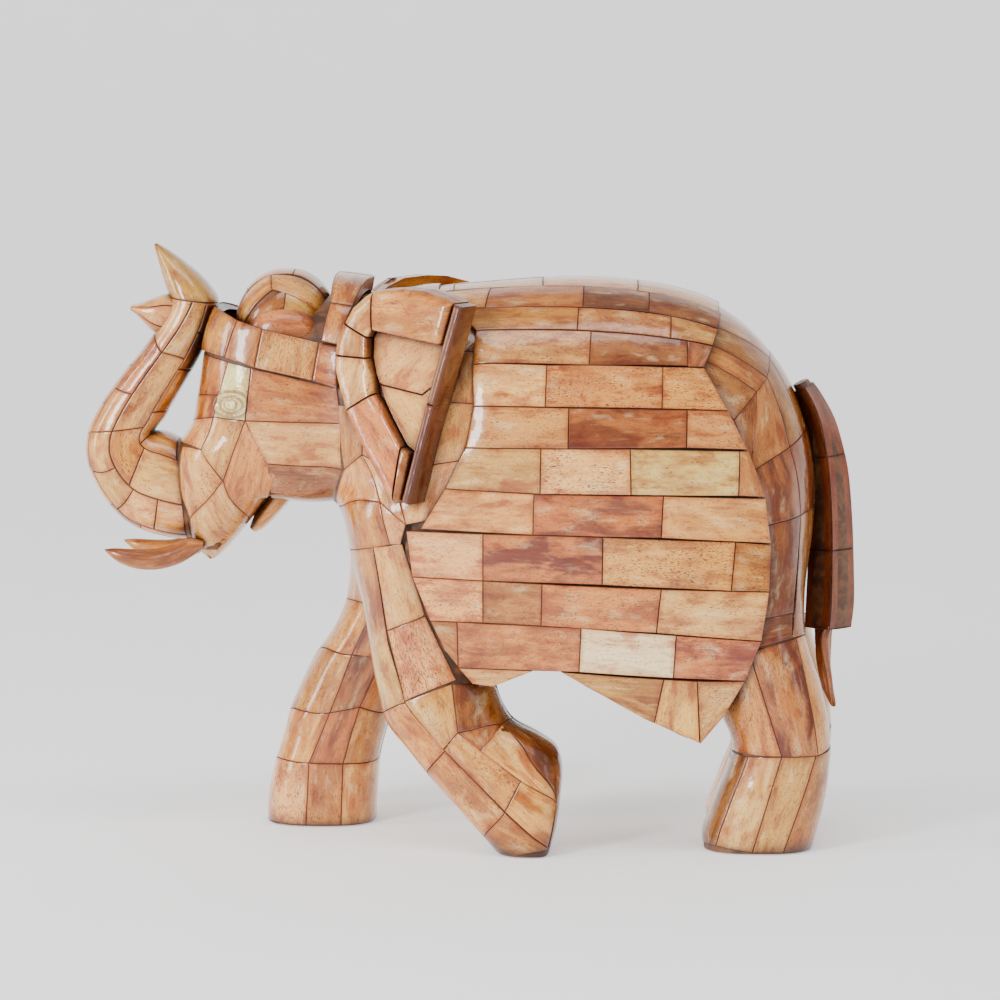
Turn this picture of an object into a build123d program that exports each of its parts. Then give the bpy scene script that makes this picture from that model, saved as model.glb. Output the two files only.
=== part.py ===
from build123d import *
import os
import numpy as np

os.makedirs("parts", exist_ok=True)

# Walking elephant figurine: a carved wooden body covered with glued tiles, with a
# saddle cloth, headband, neck ring and framed ears in relief.  Millimetres, +Z up.
# The animal faces -X; its left side is -Y.  z = 0 is the plane of the foot soles.

# driving dimensions ---------------------------------------------------------
TILE = 2.0            # thickness of the glued tiles
JOINT = 0.3           # width of the dark joint between tiles
GLUE = 0.05           # clearance between tile and core
BACKING = 2.0         # thickness of the saddle cloth's wooden backing
BAND_TILE = 3.1       # the headband's tiles stand proud of the head
RING_TILE = 6.0       # neck ring blocks, cut to the neck underneath
TAIL_TILE = 1.4
LIP_TILE = 1.4
SOLE_CLEAR = 0.2      # tiles stop this far above the soles
EAR_ANGLE = 28.0      # each ear stands off the side by this angle
EAR_DEPTH = 10.0      # full thickness of the ear
EAR_FRAME = 5.0       # thickness of the raised frame on its back plate
EAR_PANEL = 1.5       # thickness of the recessed panel tiles
EAR_BAR = 2.8             # width of the bar on the rear edge
EAR_TILT = 0.17           # the ear leans outwards towards its lower tip
EAR_O = (-38.8, 29.5, 146.2)  # front edge of the ear: x, distance from the mid-plane, z
RIGHT_REAR_SHIFT = 1.5        # the right rear leg stands slightly behind the left one

def hermite(tab, x):
    """Smooth interpolation of a table: first column is the station."""
    tab = np.asarray(tab, float)
    xs, ys = tab[:, 0], tab[:, 1:]
    dx = np.diff(xs)
    d = np.diff(ys, axis=0) / dx[:, None]
    m = np.vstack([d[:1], (d[:-1] * dx[1:, None] + d[1:] * dx[:-1, None]) / (dx[:-1] + dx[1:])[:, None], d[-1:]])
    x = np.clip(x, xs[0], xs[-1])
    i = np.clip(np.searchsorted(xs, x, side="right") - 1, 0, len(xs) - 2)
    h = dx[i]
    s = (x - xs[i]) / h
    s2, s3 = s * s, s * s * s
    out = ((2 * s3 - 3 * s2 + 1)[..., None] * ys[i] + ((s3 - 2 * s2 + s) * h)[..., None] * m[i]
           + (3 * s2 - 2 * s3)[..., None] * ys[i + 1] + ((s3 - s2) * h)[..., None] * m[i + 1])
    return [out[..., k] for k in range(ys.shape[1])]


def radial(dx, dy, a, b, n):
    """Distance to a superellipse, measured along the ray from its centre."""
    q = np.hypot(dx, dy) + 1e-9
    rho = ((np.abs(dx) / a) ** n + (np.abs(dy) / b) ** n) ** (1.0 / n) + 1e-12
    return np.maximum(q * (1.0 - 1.0 / rho), -np.minimum(a, b))


def radial3(p, c, a, n=2.0, m=2.0):
    """Distance to a superellipsoid, measured along the ray from its centre."""
    d = np.abs(p - np.asarray(c, float)) / np.asarray(a, float)
    q = np.linalg.norm(p - np.asarray(c, float), axis=-1) + 1e-9
    yz = (d[..., 1] ** n + d[..., 2] ** n) ** (m / n)
    rho = (d[..., 0] ** m + yz) ** (1.0 / m) + 1e-12
    return np.maximum(q * (1.0 - 1.0 / rho), -min(a))


def smin(a, b, k):
    h = np.clip(k - np.abs(a - b), 0.0, None) / k
    return np.minimum(a, b) - h * h * k * 0.25


def smax(a, b, k):
    return -smin(-a, -b, k)


# centre, semi-axes, exponent across, exponent along
TORSO = [((27.0, 0, 109.5), (62.0, 40.0, 54.5), 2.6, 3.0),
         ((54.5, 0, 102.5), (49.4, 38.0, 60.8), 2.4, 2.05),
         ((-4.0, 0, 110.0), (31.0, 38.5, 53.0), 2.6, 2.4)]
# height, front x, rear x, centre y, half width, exponent
REAR_LEG = [(0.0, 70.2, 102.8, 22, 15.8, 2.6), (3.9, 70.1, 103.9, 22, 15.8, 2.6), (12.3, 72.8, 106.0, 22, 15.6, 2.6),
            (18.3, 75.1, 107.1, 22, 15.4, 2.6), (24.3, 77.5, 107.8, 21.6, 15.4, 2.6), (29.4, 78.9, 108.2, 21.4, 15.6, 2.5),
            (33.3, 78.3, 107.9, 21.2, 15.8, 2.5), (37.8, 76.2, 107.6, 21, 16, 2.5), (43.8, 73.2, 106.3, 20.7, 16.2, 2.5),
            (49.7, 70.5, 104.8, 20.3, 16.5, 2.5), (58.7, 67.0, 101.8, 20, 17, 2.5), (64.0, 65.2, 100.6, 19.7, 17, 2.4),
            (73.6, 62.2, 99.8, 19.5, 17, 2.4), (85.5, 59.8, 99.0, 19, 17, 2.4), (97.3, 58.5, 98.0, 18, 17, 2.3),
            (109.2, 58.5, 96.0, 17, 17, 2.3)]
FRONT_LEG_R = [(0.0, -62.8, -29.4, 23, 16.3, 2.6), (5.4, -62.5, -29.3, 23, 16.3, 2.6), (14.7, -61.2, -28.6, 23, 16, 2.6), (22.5, -59.0, -27.7, 23, 16, 2.6), (27.1, -57.5, -26.4, 23, 16, 2.5), (33.3, -55.9, -24.9, 22.5, 16.2, 2.5), (42.6, -51.9, -21.5, 22, 16.5, 2.5), (51.9, -47.2, -17.5, 21.5, 17, 2.5), (59.6, -42.0, -13.5, 21, 17, 2.5), (67.3, -38.6, -9.8, 20.5, 17, 2.5), (76.6, -37.0, -6.2, 20, 17, 2.5), (85.8, -36.1, -3.1, 19.5, 17, 2.4), (98.1, -35.4, -0.6, 19, 17, 2.4)]
FRONT_LEG_L = [(30.0, -20.0, 15.0, 24, 15, 2.6), (40.0, -24.2, 10.2, 24, 15, 2.6), (46.6, -26.0, 8.7, 23.5, 15.5, 2.6),
               (55.5, -27.8, 7.5, 22.8, 16.2, 2.6), (67.4, -29.5, 5.4, 22, 16.8, 2.6), (79.4, -31.3, 3.7, 21, 17, 2.6),
               (89.8, -33.0, 1.9, 20, 17.5, 2.5), (103.1, -34.7, -1.0, 20, 17.5, 2.5)]
# lower part of the raised left front leg: along its axis, front, rear, y, half width, exponent
SHIN_O, SHIN_D = (-8.1, 43.3), (0.5546, -0.8321)
SHIN = [(-8.0, -14.6, 14.0, -24, 15, 2.6), (0.0, -15.6, 14.6, -24.8, 15, 2.6), (8.0, -15.0, 14.6, -25.8, 15, 2.7),
        (16.0, -14.2, 15.6, -27, 14.8, 2.8), (24.0, -12.9, 20.0, -28.4, 14.5, 2.9), (30.0, -11.9, 22.3, -29.5, 14.2, 3.0),
        (36.0, -10.9, 20.4, -30.7, 14, 3.0), (42.0, -9.9, 15.8, -31.8, 13.6, 3.0), (48.0, -9.0, 10.8, -32.6, 13.2, 3.0),
        (53.0, -8.2, 5.5, -33, 12.8, 3.0), (58.0, -7.4, -1.0, -33, 12.4, 3.0)]
HEAD = [(88.0, -88.0, -50.0, 0, 21.0, 2.8), (103.6, -87.1, -41.6, 0, 22, 2.8), (111.1, -87.1, -35.6, 0, 24, 2.8), (118.6, -85.9, -35.6, 0, 25.5, 2.8), (124.6, -82.6, -35.6, 0, 26, 2.8), (130.6, -81.4, -35.6, 0, 26, 2.8), (139.6, -79.9, -35.6, 0, 25.5, 2.8), (147.2, -78.7, -35.7, 0, 24.5, 2.8), (154.7, -76.9, -36.3, 0, 23, 2.8), (159.2, -74.9, -37.2, 0, 21, 2.8), (163.2, -71.0, -39.3, 0, 18, 2.6), (165.6, -66.8, -42.3, 0, 14, 2.4)]
JAW = [(82.8, -78.5, -76.0, 0, 6, 2.0), (85.5, -80.9, -73.1, 0, 10.5, 2.2), (89.1, -83.3, -69.8, 0, 13.5, 2.4), (94.2, -85.1, -65.6, 0, 16.5, 2.5), (97.5, -86.0, -62.9, 0, 18.5, 2.6), (101.5, -86.9, -59.6, 0, 20.5, 2.8), (106.6, -87.2, -56.0, 0, 22.5, 2.8), (111.1, -87.1, -54.2, 0, 24, 2.8), (121.6, -85.3, -50.6, 0, 25, 2.8)]
# along the neck: x, underside z, top z, half width, exponent
NECK = [(-62.0, 103.5, 150.0, 0, 23.0, 2.5), (-50.0, 101.0, 160.0, 0, 25.0, 2.5), (-38.0, 100.0, 163.0, 0, 27.5, 2.5), (-26.0, 92.0, 163.0, 0, 31.0, 2.5), (-10.0, 80.0, 164.0, 0, 34.0, 2.5)]


def leg(p, tab, side):
    xf, xb, yc, w, n = hermite(tab, p[..., 2])
    return radial(p[..., 0] - (xf + xb) / 2, p[..., 1] - side * yc, (xb - xf) / 2, w, n)


def f_rear_leg(p, side):
    z = p[..., 2]
    return smax(leg(p, REAR_LEG, side), z - 112.0, 8.0)


def f_front_right(p):
    return smax(leg(p, FRONT_LEG_R, 1), p[..., 2] - 100.0, 8.0)


def shin_uv(p):
    dx, dz = SHIN_D
    u = (p[..., 0] - SHIN_O[0]) * dx + (p[..., 2] - SHIN_O[1]) * dz
    v = (p[..., 0] - SHIN_O[0]) * (-dz) + (p[..., 2] - SHIN_O[1]) * dx
    return u, v


def f_shin(p):
    u, v = shin_uv(p)
    va, vb, yc, w, n = hermite(SHIN, u)
    f = radial(v - (va + vb) / 2, p[..., 1] - yc, (vb - va) / 2, w, n)
    f = smax(f, u - 57.0, 1.5)
    f = smax(f, -6.0 - u, 6.0)
    return f


def f_front_left(p):
    z = p[..., 2]
    up = smax(leg(p, FRONT_LEG_L, -1), z - 104.0, 8.0)
    up = smax(up, 36.0 - z, 8.0)
    return smin(up, f_shin(p), 5.0)


def f_neck(p):
    zb, zt, yc, w, n = hermite(NECK, p[..., 0])
    f = radial(p[..., 2] - (zb + zt) / 2, p[..., 1], (zt - zb) / 2, w, n)
    return smax(smax(f, -60.0 - p[..., 0], 6.0), p[..., 0] + 8.0, 6.0)


def f_torso(p):
    f = None
    for c, a, n, m in TORSO:
        g = radial3(p, c, a, n, m)
        f = g if f is None else smin(f, g, 7.0)
    return f


def f_body(p):
    f = smin(f_torso(p), f_neck(p), 8.0)
    for s in (-1, 1):
        f = smin(f, f_rear_leg(p, s), 9.0)
    f = smin(f, f_front_right(p), 8.0)
    f = smin(f, f_front_left(p), 8.0)
    return smax(f, -p[..., 2], 1.2)


def f_head(p):
    h = smax(smax(leg(p, HEAD, 1), p[..., 2] - 166.5, 7.0), 90.0 - p[..., 2], 6.0)
    j = smax(smax(leg(p, JAW, 1), 82.8 - p[..., 2], 1.5), p[..., 2] - 120.0, 6.0)
    # the cranium's rear ends inside the neck; its underside is lifted to meet it
    under = 103.0 - p[..., 2] - 0.0 * p[..., 0]
    h = smax(h, under, 4.0)
    return smin(smin(h, j, 3.0), f_neck(p), 6.0)


# saddle cloth --------------------------------------------------------------
CLOTH_ZC = 105.0
CLOTH_N = 2.7
# x, half width above, top z, half width of the hanging part
CLOTH = [(-30.0, 37.5, 161.6, 39.5), (-20.7, 40.0, 163.4, 41.0), (-8.7, 41.6, 164.8, 42.0),
         (0.3, 42.4, 165.8, 42.6), (9.3, 42.9, 166.6, 43.0), (21.3, 43.2, 167.5, 43.2),
         (34.2, 43.0, 167.8, 43.0), (51.3, 42.0, 166.6, 42.4), (63.3, 40.3, 164.3, 41.4),
         (69.3, 39.2, 162.4, 40.8), (75.9, 37.6, 159.5, 40.0), (84.0, 35.2, 155.1, 38.8),
         (95.0, 31.0, 147.1, 36.0)]


def f_cloth(p):
    w, zt, wl = hermite(CLOTH, p[..., 0])
    dz = p[..., 2] - CLOTH_ZC
    y = np.abs(p[..., 1])
    up = radial(np.maximum(dz, 0.0), y, zt - CLOTH_ZC, w, CLOTH_N)
    k = np.clip(-dz / 35.0, 0.0, 1.0)
    k = k * k * (3 - 2 * k)
    low = y - (w + (wl - w) * k - 2.0 * (np.minimum(dz, 0.0) / 78.0) ** 2)
    return np.where(dz > 0, up, low)


# forehead dome and its side bosses; neck ring; headband stands proud --------
def f_dome(p):
    return radial3(p, (-54.6, 0, 148.0), (15.8, 19.5, 22.0), 2.6, 2.3)


def f_boss(p, side):
    return radial3(p, (-54.3, side * 17.0, 151.5), (10.6, 5.0, 7.6), 2.2, 2.2)


RING = [(-50.0, 100.0, 167.5, 0, 27.0, 2.8), (-42.0, 100.0, 169.0, 0, 28.0, 2.8), (-30.0, 99.0, 168.0, 0, 30.0, 2.8), (-20.0, 97.0, 166.0, 0, 31.0, 2.8)]


def f_ring(p):
    zb, zt, yc, w, n = hermite(RING, p[..., 0])
    return radial(p[..., 2] - (zb + zt) / 2, p[..., 1], (zt - zb) / 2, w, n)


def f_band(p):
    return f_head(p) - 1.2


# trunk: station, front x z, rear x z, half width, exponent -------------------
TRUNK = [
    (0.0, -81.0, 89.4, -83.8, 119.3, 12.5, 2.8), (1.0, -84.6, 88.8, -86.5, 119.0, 12.5, 2.8),
    (2.0, -90.1, 89.3, -88.9, 120.2, 12.2, 2.8), (3.0, -96.1, 90.8, -91.4, 121.1, 11.8, 2.8),
    (4.0, -101.8, 93.2, -93.2, 121.4, 11.4, 2.8), (5.0, -107.5, 98.4, -94.1, 121.4, 11.0, 2.8),
    (6.0, -111.7, 104.7, -94.4, 121.4, 10.8, 2.8), (7.0, -114.6, 111.6, -94.1, 121.7, 10.6, 2.8),
    (8.0, -114.9, 118.3, -93.1, 122.9, 10.5, 2.8), (9.0, -113.6, 123.1, -91.3, 125.0, 10.4, 2.8),
    (10.0, -110.9, 128.5, -89.5, 128.3, 10.3, 2.8), (11.0, -107.5, 133.7, -87.4, 131.9, 10.2, 2.8),
    (12.0, -103.3, 139.4, -84.6, 136.7, 10.2, 2.8), (13.0, -99.0, 144.5, -81.6, 141.9, 10.2, 2.8),
    (14.0, -95.4, 149.3, -79.2, 146.7, 10.3, 2.8), (15.0, -92.3, 153.8, -77.3, 151.2, 10.5, 2.8),
    (16.0, -89.9, 158.4, -75.8, 155.7, 10.5, 2.7), (17.0, -89.3, 161.4, -74.9, 159.6, 10.3, 2.6),
    (18.0, -90.4, 164.0, -75.8, 162.6, 9.6, 2.5), (19.0, -91.6, 167.6, -79.6, 167.4, 8.0, 2.4),
    (20.0, -92.8, 171.8, -84.7, 171.8, 5.6, 2.3), (21.0, -93.8, 175.4, -89.8, 175.4, 3.0, 2.2),
    (22.0, -94.3, 177.5, -92.8, 177.2, 1.2, 2.0)]
LIP = [
    (0.0, -87.8, 149.1, -86.3, 162.3, 8.6, 2.6), (1.0, -91.5, 149.6, -89.6, 162.6, 8.4, 2.6),
    (2.0, -93.5, 150.5, -91.7, 162.1, 8.2, 2.6), (3.0, -95.6, 152.0, -94.1, 161.3, 7.9, 2.5),
    (4.0, -97.7, 154.4, -96.5, 160.4, 7.4, 2.5), (5.0, -99.8, 156.5, -98.9, 159.5, 6.6, 2.5),
    (6.0, -101.5, 158.2, -101.0, 158.8, 5.4, 2.4)]


def tube(tab, t, a):
    """Point on a tube given by chords: a = 0 front edge, pi/2 left side."""
    ax, az, bx, bz, w, n = hermite(tab, t)
    c, s = np.cos(a), np.sin(a)
    v = 0.5 - 0.5 * np.sign(c) * np.abs(c) ** (2.0 / n)
    y = -np.sign(s) * np.abs(s) ** (2.0 / n) * w
    return np.stack([ax + (bx - ax) * v, y, az + (bz - az) * v], -1)


def tube_patch(tab, t, a):
    p = tube(tab, t, a)
    e = 0.02
    du = tube(tab, t + e, a) - tube(tab, t - e, a)
    dv = tube(tab, t, a + e) - tube(tab, t, a - e)
    n = np.cross(dv, du)
    n /= np.maximum(np.linalg.norm(n, axis=-1, keepdims=True), 1e-9)
    return p, n


def grad(F, p, h=0.05):
    g = np.empty_like(p)
    for k in range(3):
        e = np.zeros(3); e[k] = h
        g[..., k] = (F(p + e) - F(p - e)) / (2 * h)
    return g


def project(F, p, n=10, lim=3.0):
    """Moves points onto the surface F=0 along its gradient."""
    p = np.array(p, float)
    for _ in range(n):
        f = F(p)
        g = grad(F, p)
        s = f / np.maximum((g * g).sum(-1), 1e-6)
        step = g * s[..., None]
        L = np.linalg.norm(step, axis=-1, keepdims=True)
        step *= np.minimum(1.0, lim / np.maximum(L, 1e-9))
        p -= step
    g = grad(F, p)
    return p, g / np.maximum(np.linalg.norm(g, axis=-1, keepdims=True), 1e-9)


TAIL = [
    (0.0, 96.9, 136.1, 100.7, 137.6, 4.5, 1.5), (1.0, 99.3, 131.0, 104.3, 132.8, 5.5, 1.3),
    (2.0, 100.8, 125.0, 108.3, 125.6, 6.3, 1.25), (3.0, 101.7, 117.5, 110.7, 118.1, 6.5, 1.25),
    (4.0, 102.4, 108.5, 112.7, 108.8, 6.5, 1.25), (5.0, 102.8, 94.9, 113.9, 95.0, 6.5, 1.25),
    (6.0, 102.6, 82.9, 114.4, 82.9, 6.5, 1.25), (7.0, 102.1, 70.8, 114.6, 70.8, 6.4, 1.25),
    (8.0, 101.8, 62.6, 113.8, 62.8, 6.2, 1.25)]
TUFT = [
    (0.0, 103.9, 62.3, 109.0, 62.3, 3.4, 1.8), (1.0, 103.9, 58.7, 108.7, 58.7, 3.6, 1.8),
    (2.0, 104.6, 52.0, 108.6, 52.3, 3.2, 1.8), (3.0, 106.1, 45.1, 109.3, 45.4, 2.4, 1.8),
    (4.0, 108.1, 40.5, 110.0, 40.2, 1.3, 1.9), (5.0, 109.2, 38.7, 110.1, 38.6, 0.6, 2.0)]
TUSK = [
    (0.0, -78.9, 86.9, -78.6, 89.5, 2.3, 2.0), (1.0, -82.8, 84.2, -82.8, 90.4, 3.2, 2.0),
    (2.0, -86.4, 82.3, -86.4, 89.3, 3.4, 2.0), (3.0, -91.2, 80.9, -90.3, 87.8, 3.3, 2.0),
    (4.0, -96.3, 80.6, -94.8, 86.9, 3.0, 2.0), (5.0, -100.8, 81.4, -100.7, 86.9, 2.5, 2.0),
    (6.0, -104.7, 83.2, -105.2, 87.1, 1.8, 2.0), (7.0, -107.9, 85.9, -108.4, 86.8, 0.7, 2.0)]
JAW_LIP = [
    (0.0, -58.9, 106.4, -53.2, 100.7, 12.5, 2.6), (1.0, -60.4, 102.5, -56.0, 97.6, 11.5, 2.5),
    (2.0, -62.9, 98.8, -59.0, 94.3, 9.5, 2.4), (3.0, -64.7, 95.5, -61.7, 91.9, 7.0, 2.3),
    (4.0, -65.9, 92.5, -63.8, 90.8, 4.0, 2.2)]


# node, surface, mirrored to the other side, corners (x, y, z)
TILES = [
    # cloth_tiles
    ("cloth_tiles", "cloth", 1, ((-19.3, -0.2, 163.6), (-4.3, -0.2, 165.3), (-3.9, -12.7, 164.5), (-18.7, -13.5, 162.5))),
    ("cloth_tiles", "cloth", 1, ((-4.3, -0.2, 165.3), (22.2, -0.2, 167.5), (22.6, -16.2, 165.9), (-3.9, -12.7, 164.5))),
    ("cloth_tiles", "cloth", 1, ((22.2, -0.2, 167.5), (50.4, -0.2, 166.7), (50.6, -17.3, 164.6), (22.6, -16.2, 165.9))),
    ("cloth_tiles", "cloth", 1, ((50.4, -0.2, 166.7), (74.4, -0.2, 160.2), (74.5, -15.9, 158.2), (50.6, -17.3, 164.6))),
    ("cloth_tiles", "cloth", 1, ((-10.4, -13.3, 163.6), (7.1, -14.5, 165.2), (5.8, -25.7, 160), (-3.1, -24.8, 159.6))),
    ("cloth_tiles", "cloth", 1, ((7.1, -14.5, 165.2), (34.7, -16.6, 166), (34.6, -27, 160.4), (5.8, -25.7, 160))),
    ("cloth_tiles", "cloth", 1, ((34.7, -16.6, 166), (53.9, -16.8, 164.2), (53.9, -26.3, 159), (34.6, -27, 160.4))),
    ("cloth_tiles", "cloth", 1, ((53.9, -16.8, 164.2), (75.1, -15.5, 158), (74.2, -23.6, 154.1), (53.9, -26.3, 159))),
    ("cloth_tiles", "cloth", 1, ((-3.1, -24.8, 159.6), (33.4, -27.2, 160.3), (33, -32.9, 154.1), (3.4, -31.7, 153.9))),
    ("cloth_tiles", "cloth", 1, ((33.4, -27.2, 160.3), (60.4, -25.9, 157.8), (60.4, -31.4, 151.7), (33, -32.9, 154.1))),
    ("cloth_tiles", "cloth", 1, ((60.4, -25.9, 157.8), (74.3, -23.8, 153.8), (72.7, -28.9, 149.5), (60.4, -31.4, 151.7))),
    ("cloth_tiles", "cloth", 1, ((3.4, -31.7, 153.9), (37.1, -33, 153.8), (36.6, -38, 144.2), (2.4, -37, 144.7))),
    ("cloth_tiles", "cloth", 1, ((37.1, -33, 153.8), (65.1, -30.7, 150.8), (65.4, -34.5, 143.8), (36.6, -38, 144.2))),
    ("cloth_tiles", "cloth", 1, ((65.1, -30.7, 150.8), (72.7, -29.1, 149.2), (70.1, -33.4, 143.4), (65.4, -34.6, 143.5))),
    ("cloth_tiles", "cloth", 1, ((2.4, -37, 144.7), (24.3, -38.2, 144.2), (23.9, -41.5, 132.2), (2.9, -40.7, 132.4))),
    ("cloth_tiles", "cloth", 1, ((24.3, -38.2, 144.2), (58.1, -36.1, 143.6), (57.9, -39.5, 131.6), (23.9, -41.5, 132.2))),
    ("cloth_tiles", "cloth", 1, ((58.1, -36.1, 143.6), (70.1, -33.5, 143.1), (77.1, -35.3, 130.7), (57.9, -39.5, 131.6))),
    ("cloth_tiles", "cloth", 1, ((2.9, -40.7, 132.4), (30.8, -41.4, 131.9), (30.6, -42.8, 120.1), (0.6, -42, 120.2))),
    ("cloth_tiles", "cloth", 1, ((30.8, -41.4, 131.9), (65.2, -38.3, 131.2), (64.9, -39.6, 120.2), (30.6, -42.8, 120.1))),
    ("cloth_tiles", "cloth", 1, ((65.2, -38.3, 131.2), (77.1, -35.3, 130.7), (82.7, -35.2, 119.3), (64.9, -39.6, 120.2))),
    ("cloth_tiles", "cloth", 1, ((0.6, -42, 120.2), (22.7, -42.9, 120.1), (22.5, -43.2, 106.9), (-5.3, -41.9, 108.2))),
    ("cloth_tiles", "cloth", 1, ((22.7, -42.9, 120.1), (48.6, -41.9, 120.1), (48.9, -42.2, 106.6), (22.5, -43.2, 106.9))),
    ("cloth_tiles", "cloth", 1, ((48.6, -41.9, 120.1), (80.4, -35.9, 119), (80.1, -36.4, 105.9), (48.9, -42.2, 106.6))),
    ("cloth_tiles", "cloth", 1, ((80.4, -35.9, 119), (82.9, -35.2, 119), (88.1, -33.7, 105.3), (80.1, -36.4, 105.9))),
    ("cloth_tiles", "cloth", 1, ((-5.3, -41.9, 108.2), (20.7, -43.2, 106.9), (20.4, -43.2, 94.9), (-12.6, -41.2, 96.3))),
    ("cloth_tiles", "cloth", 1, ((20.7, -43.2, 106.9), (58.3, -41.1, 106.3), (57.7, -41.3, 94), (20.4, -43.2, 94.9))),
    ("cloth_tiles", "cloth", 1, ((58.3, -41.1, 106.3), (88.1, -33.7, 105), (89.7, -34.4, 91.6), (57.7, -41.3, 94))),
    ("cloth_tiles", "cloth", 1, ((-16.8, -40.8, 95.7), (5.8, -42.7, 95.1), (5.8, -42.7, 81.3), (-15, -41.2, 82.2))),
    ("cloth_tiles", "cloth", 1, ((5.8, -42.7, 95.1), (40.8, -42.7, 94.4), (40.6, -42.6, 80.3), (5.8, -42.7, 81.3))),
    ("cloth_tiles", "cloth", 1, ((40.8, -42.7, 94.4), (79.3, -37.4, 92.4), (78.2, -39.1, 78.2), (40.6, -42.6, 80.3))),
    ("cloth_tiles", "cloth", 1, ((79.3, -37.4, 92.4), (89.7, -34.5, 91.3), (89.3, -36.8, 77.7), (78.2, -39.1, 78.2))),
    ("cloth_tiles", "cloth", 1, ((-15, -41.2, 82.2), (5.8, -42.7, 81.3), (5.8, -42.4, 68.9), (-9.7, -41.5, 69.3))),
    ("cloth_tiles", "cloth", 1, ((5.8, -42.7, 81.3), (23.1, -43, 80.5), (22.8, -42.8, 68.1), (5.8, -42.4, 68.9))),
    ("cloth_tiles", "cloth", 1, ((23.1, -43, 80.5), (57.8, -41.6, 79), (56.4, -41.5, 66.1), (22.8, -42.8, 68.1))),
    ("cloth_tiles", "cloth", 1, ((57.8, -41.6, 79), (89.3, -36.8, 77.7), (87.1, -37.5, 63.3), (56.4, -41.5, 66.1))),
    ("cloth_tiles", "cloth", 1, ((-9.7, -41.5, 69.3), (-1.8, -42.1, 69.1), (-1.5, -41.7, 55.8), (-5.4, -41.6, 60.8))),
    ("cloth_tiles", "cloth", 1, ((-1.8, -42.1, 69.1), (34.5, -42.5, 67.6), (33.9, -42.2, 54.5), (-1.5, -41.7, 55.5))),
    ("cloth_tiles", "cloth", 1, ((34.5, -42.5, 67.6), (62.2, -41, 65.4), (61.4, -40.7, 52.7), (33.9, -42.2, 54.5))),
    ("cloth_tiles", "cloth", 1, ((62.2, -41, 65.4), (87.1, -37.5, 63.3), (82.4, -38.1, 51.6), (61.4, -40.7, 52.7))),
    ("cloth_tiles", "cloth", 1, ((-1.5, -41.7, 55.5), (20.4, -42.4, 54.8), (8.4, -42, 50), (2.8, -41.8, 50.8))),
    ("cloth_tiles", "cloth", 1, ((28.6, -42.3, 54.5), (58.7, -40.9, 52.4), (55.8, -40.7, 39.4), (53.2, -40.9, 40.6))),
    ("cloth_tiles", "cloth", 1, ((58.7, -40.9, 52.4), (68.4, -40, 51.8), (69.2, -39.1, 33.3), (55.8, -40.7, 39.4))),
    ("cloth_tiles", "cloth", 1, ((68.4, -40, 51.8), (82.4, -38.1, 51.6), (75.8, -38.7, 40.7), (69.3, -39.1, 33))),
    # rump_tiles
    ("rump_tiles", "body", 1, ((69.2, -0.2, 161.4), (89.7, -0.2, 145.9), (89.5, -10.5, 144.3), (72.5, -19.9, 154.4))),
    ("rump_tiles", "body", 1, ((72.5, -19.9, 154.4), (89.5, -10.5, 144.3), (88.7, -18.7, 139), (70.1, -25.9, 150.2))),
    ("rump_tiles", "body", 1, ((70.1, -25.9, 150.2), (88.7, -18.7, 139), (85.7, -24.4, 135.4), (68.9, -29.6, 145.7))),
    ("rump_tiles", "body", 1, ((68.9, -29.6, 145.7), (85.7, -24.4, 135.4), (78.9, -31.8, 127.7), (66, -34, 138.4))),
    ("rump_tiles", "body", 1, ((89.5, -10.5, 144.3), (89.7, -0.2, 145.9), (100.8, -5, 123.6), (99.6, -11.8, 121.9))),
    ("rump_tiles", "body", 1, ((88.7, -18.5, 139.3), (89.5, -10.5, 144.3), (99.6, -11.8, 121.9), (95.6, -20.3, 118.8))),
    ("rump_tiles", "body", 1, ((85.7, -24.4, 135.4), (88.7, -18.5, 139.3), (95.6, -20.3, 118.8), (84.2, -33.2, 112.6))),
    ("rump_tiles", "body", 1, ((66, -34, 138.4), (78.9, -31.8, 127.7), (84.2, -33.2, 112.6), (69, -36.4, 125.2))),
    ("rump_tiles", "body", 1, ((78.9, -31.8, 127.7), (85.7, -24.4, 135.4), (85, -28.8, 124), (84.3, -32.9, 113.2))),
    ("rump_tiles", "body", 1, ((84.2, -33.2, 112.6), (95.6, -20.3, 118.8), (98.9, -22.4, 98.8), (87.2, -34.5, 96.6))),
    ("rump_tiles", "body", 1, ((95.6, -20.3, 118.8), (100.8, -5, 123.6), (103.3, -6, 100.1), (98.9, -22.4, 98.8))),
    ("rump_tiles", "body", 1, ((87.2, -34.5, 96.6), (98.9, -22.4, 98.8), (96.5, -31, 70.8), (85.6, -36.4, 69.4))),
    ("rump_tiles", "body", 1, ((98.9, -22.4, 98.8), (103.3, -6, 100.1), (100.1, -13, 62.7), (96.6, -32.2, 63.5))),
    ("rump_tiles", "body", 1, ((85.6, -36.4, 69.4), (96.5, -31, 70.8), (96.6, -32.2, 63.5), (83.3, -36.9, 60.6))),
    # rump_tiles_c
    ("rump_tiles_c", "body", 0, ((100.8, -5, 123.6), (100.8, 5, 123.6), (103.3, 6, 100.1), (103.3, -6, 100.1))),
    ("rump_tiles_c", "body", 0, ((103.3, -6, 100.1), (103.3, 6, 100.1), (100.1, 13, 62.7), (100.1, -13, 62.7))),
    ("rump_tiles_c", "body", 0, ((89.4, -0.2, 145.9), (89.4, 0.2, 145.9), (100.8, 5, 123.6), (100.8, -5, 123.6))),
    # rear_leg_tiles
    ("rear_leg_tiles", "body", 1, ((75, -21.3, 40.3), (83.6, -36.9, 60), (93.4, -37, 28.9), (78.8, -21.3, 28.6))),
    ("rear_leg_tiles", "body", 1, ((83.6, -36.9, 60), (97.5, -31.2, 63.4), (104.1, -33.8, 28.8), (93.4, -37, 28.9))),
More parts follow.
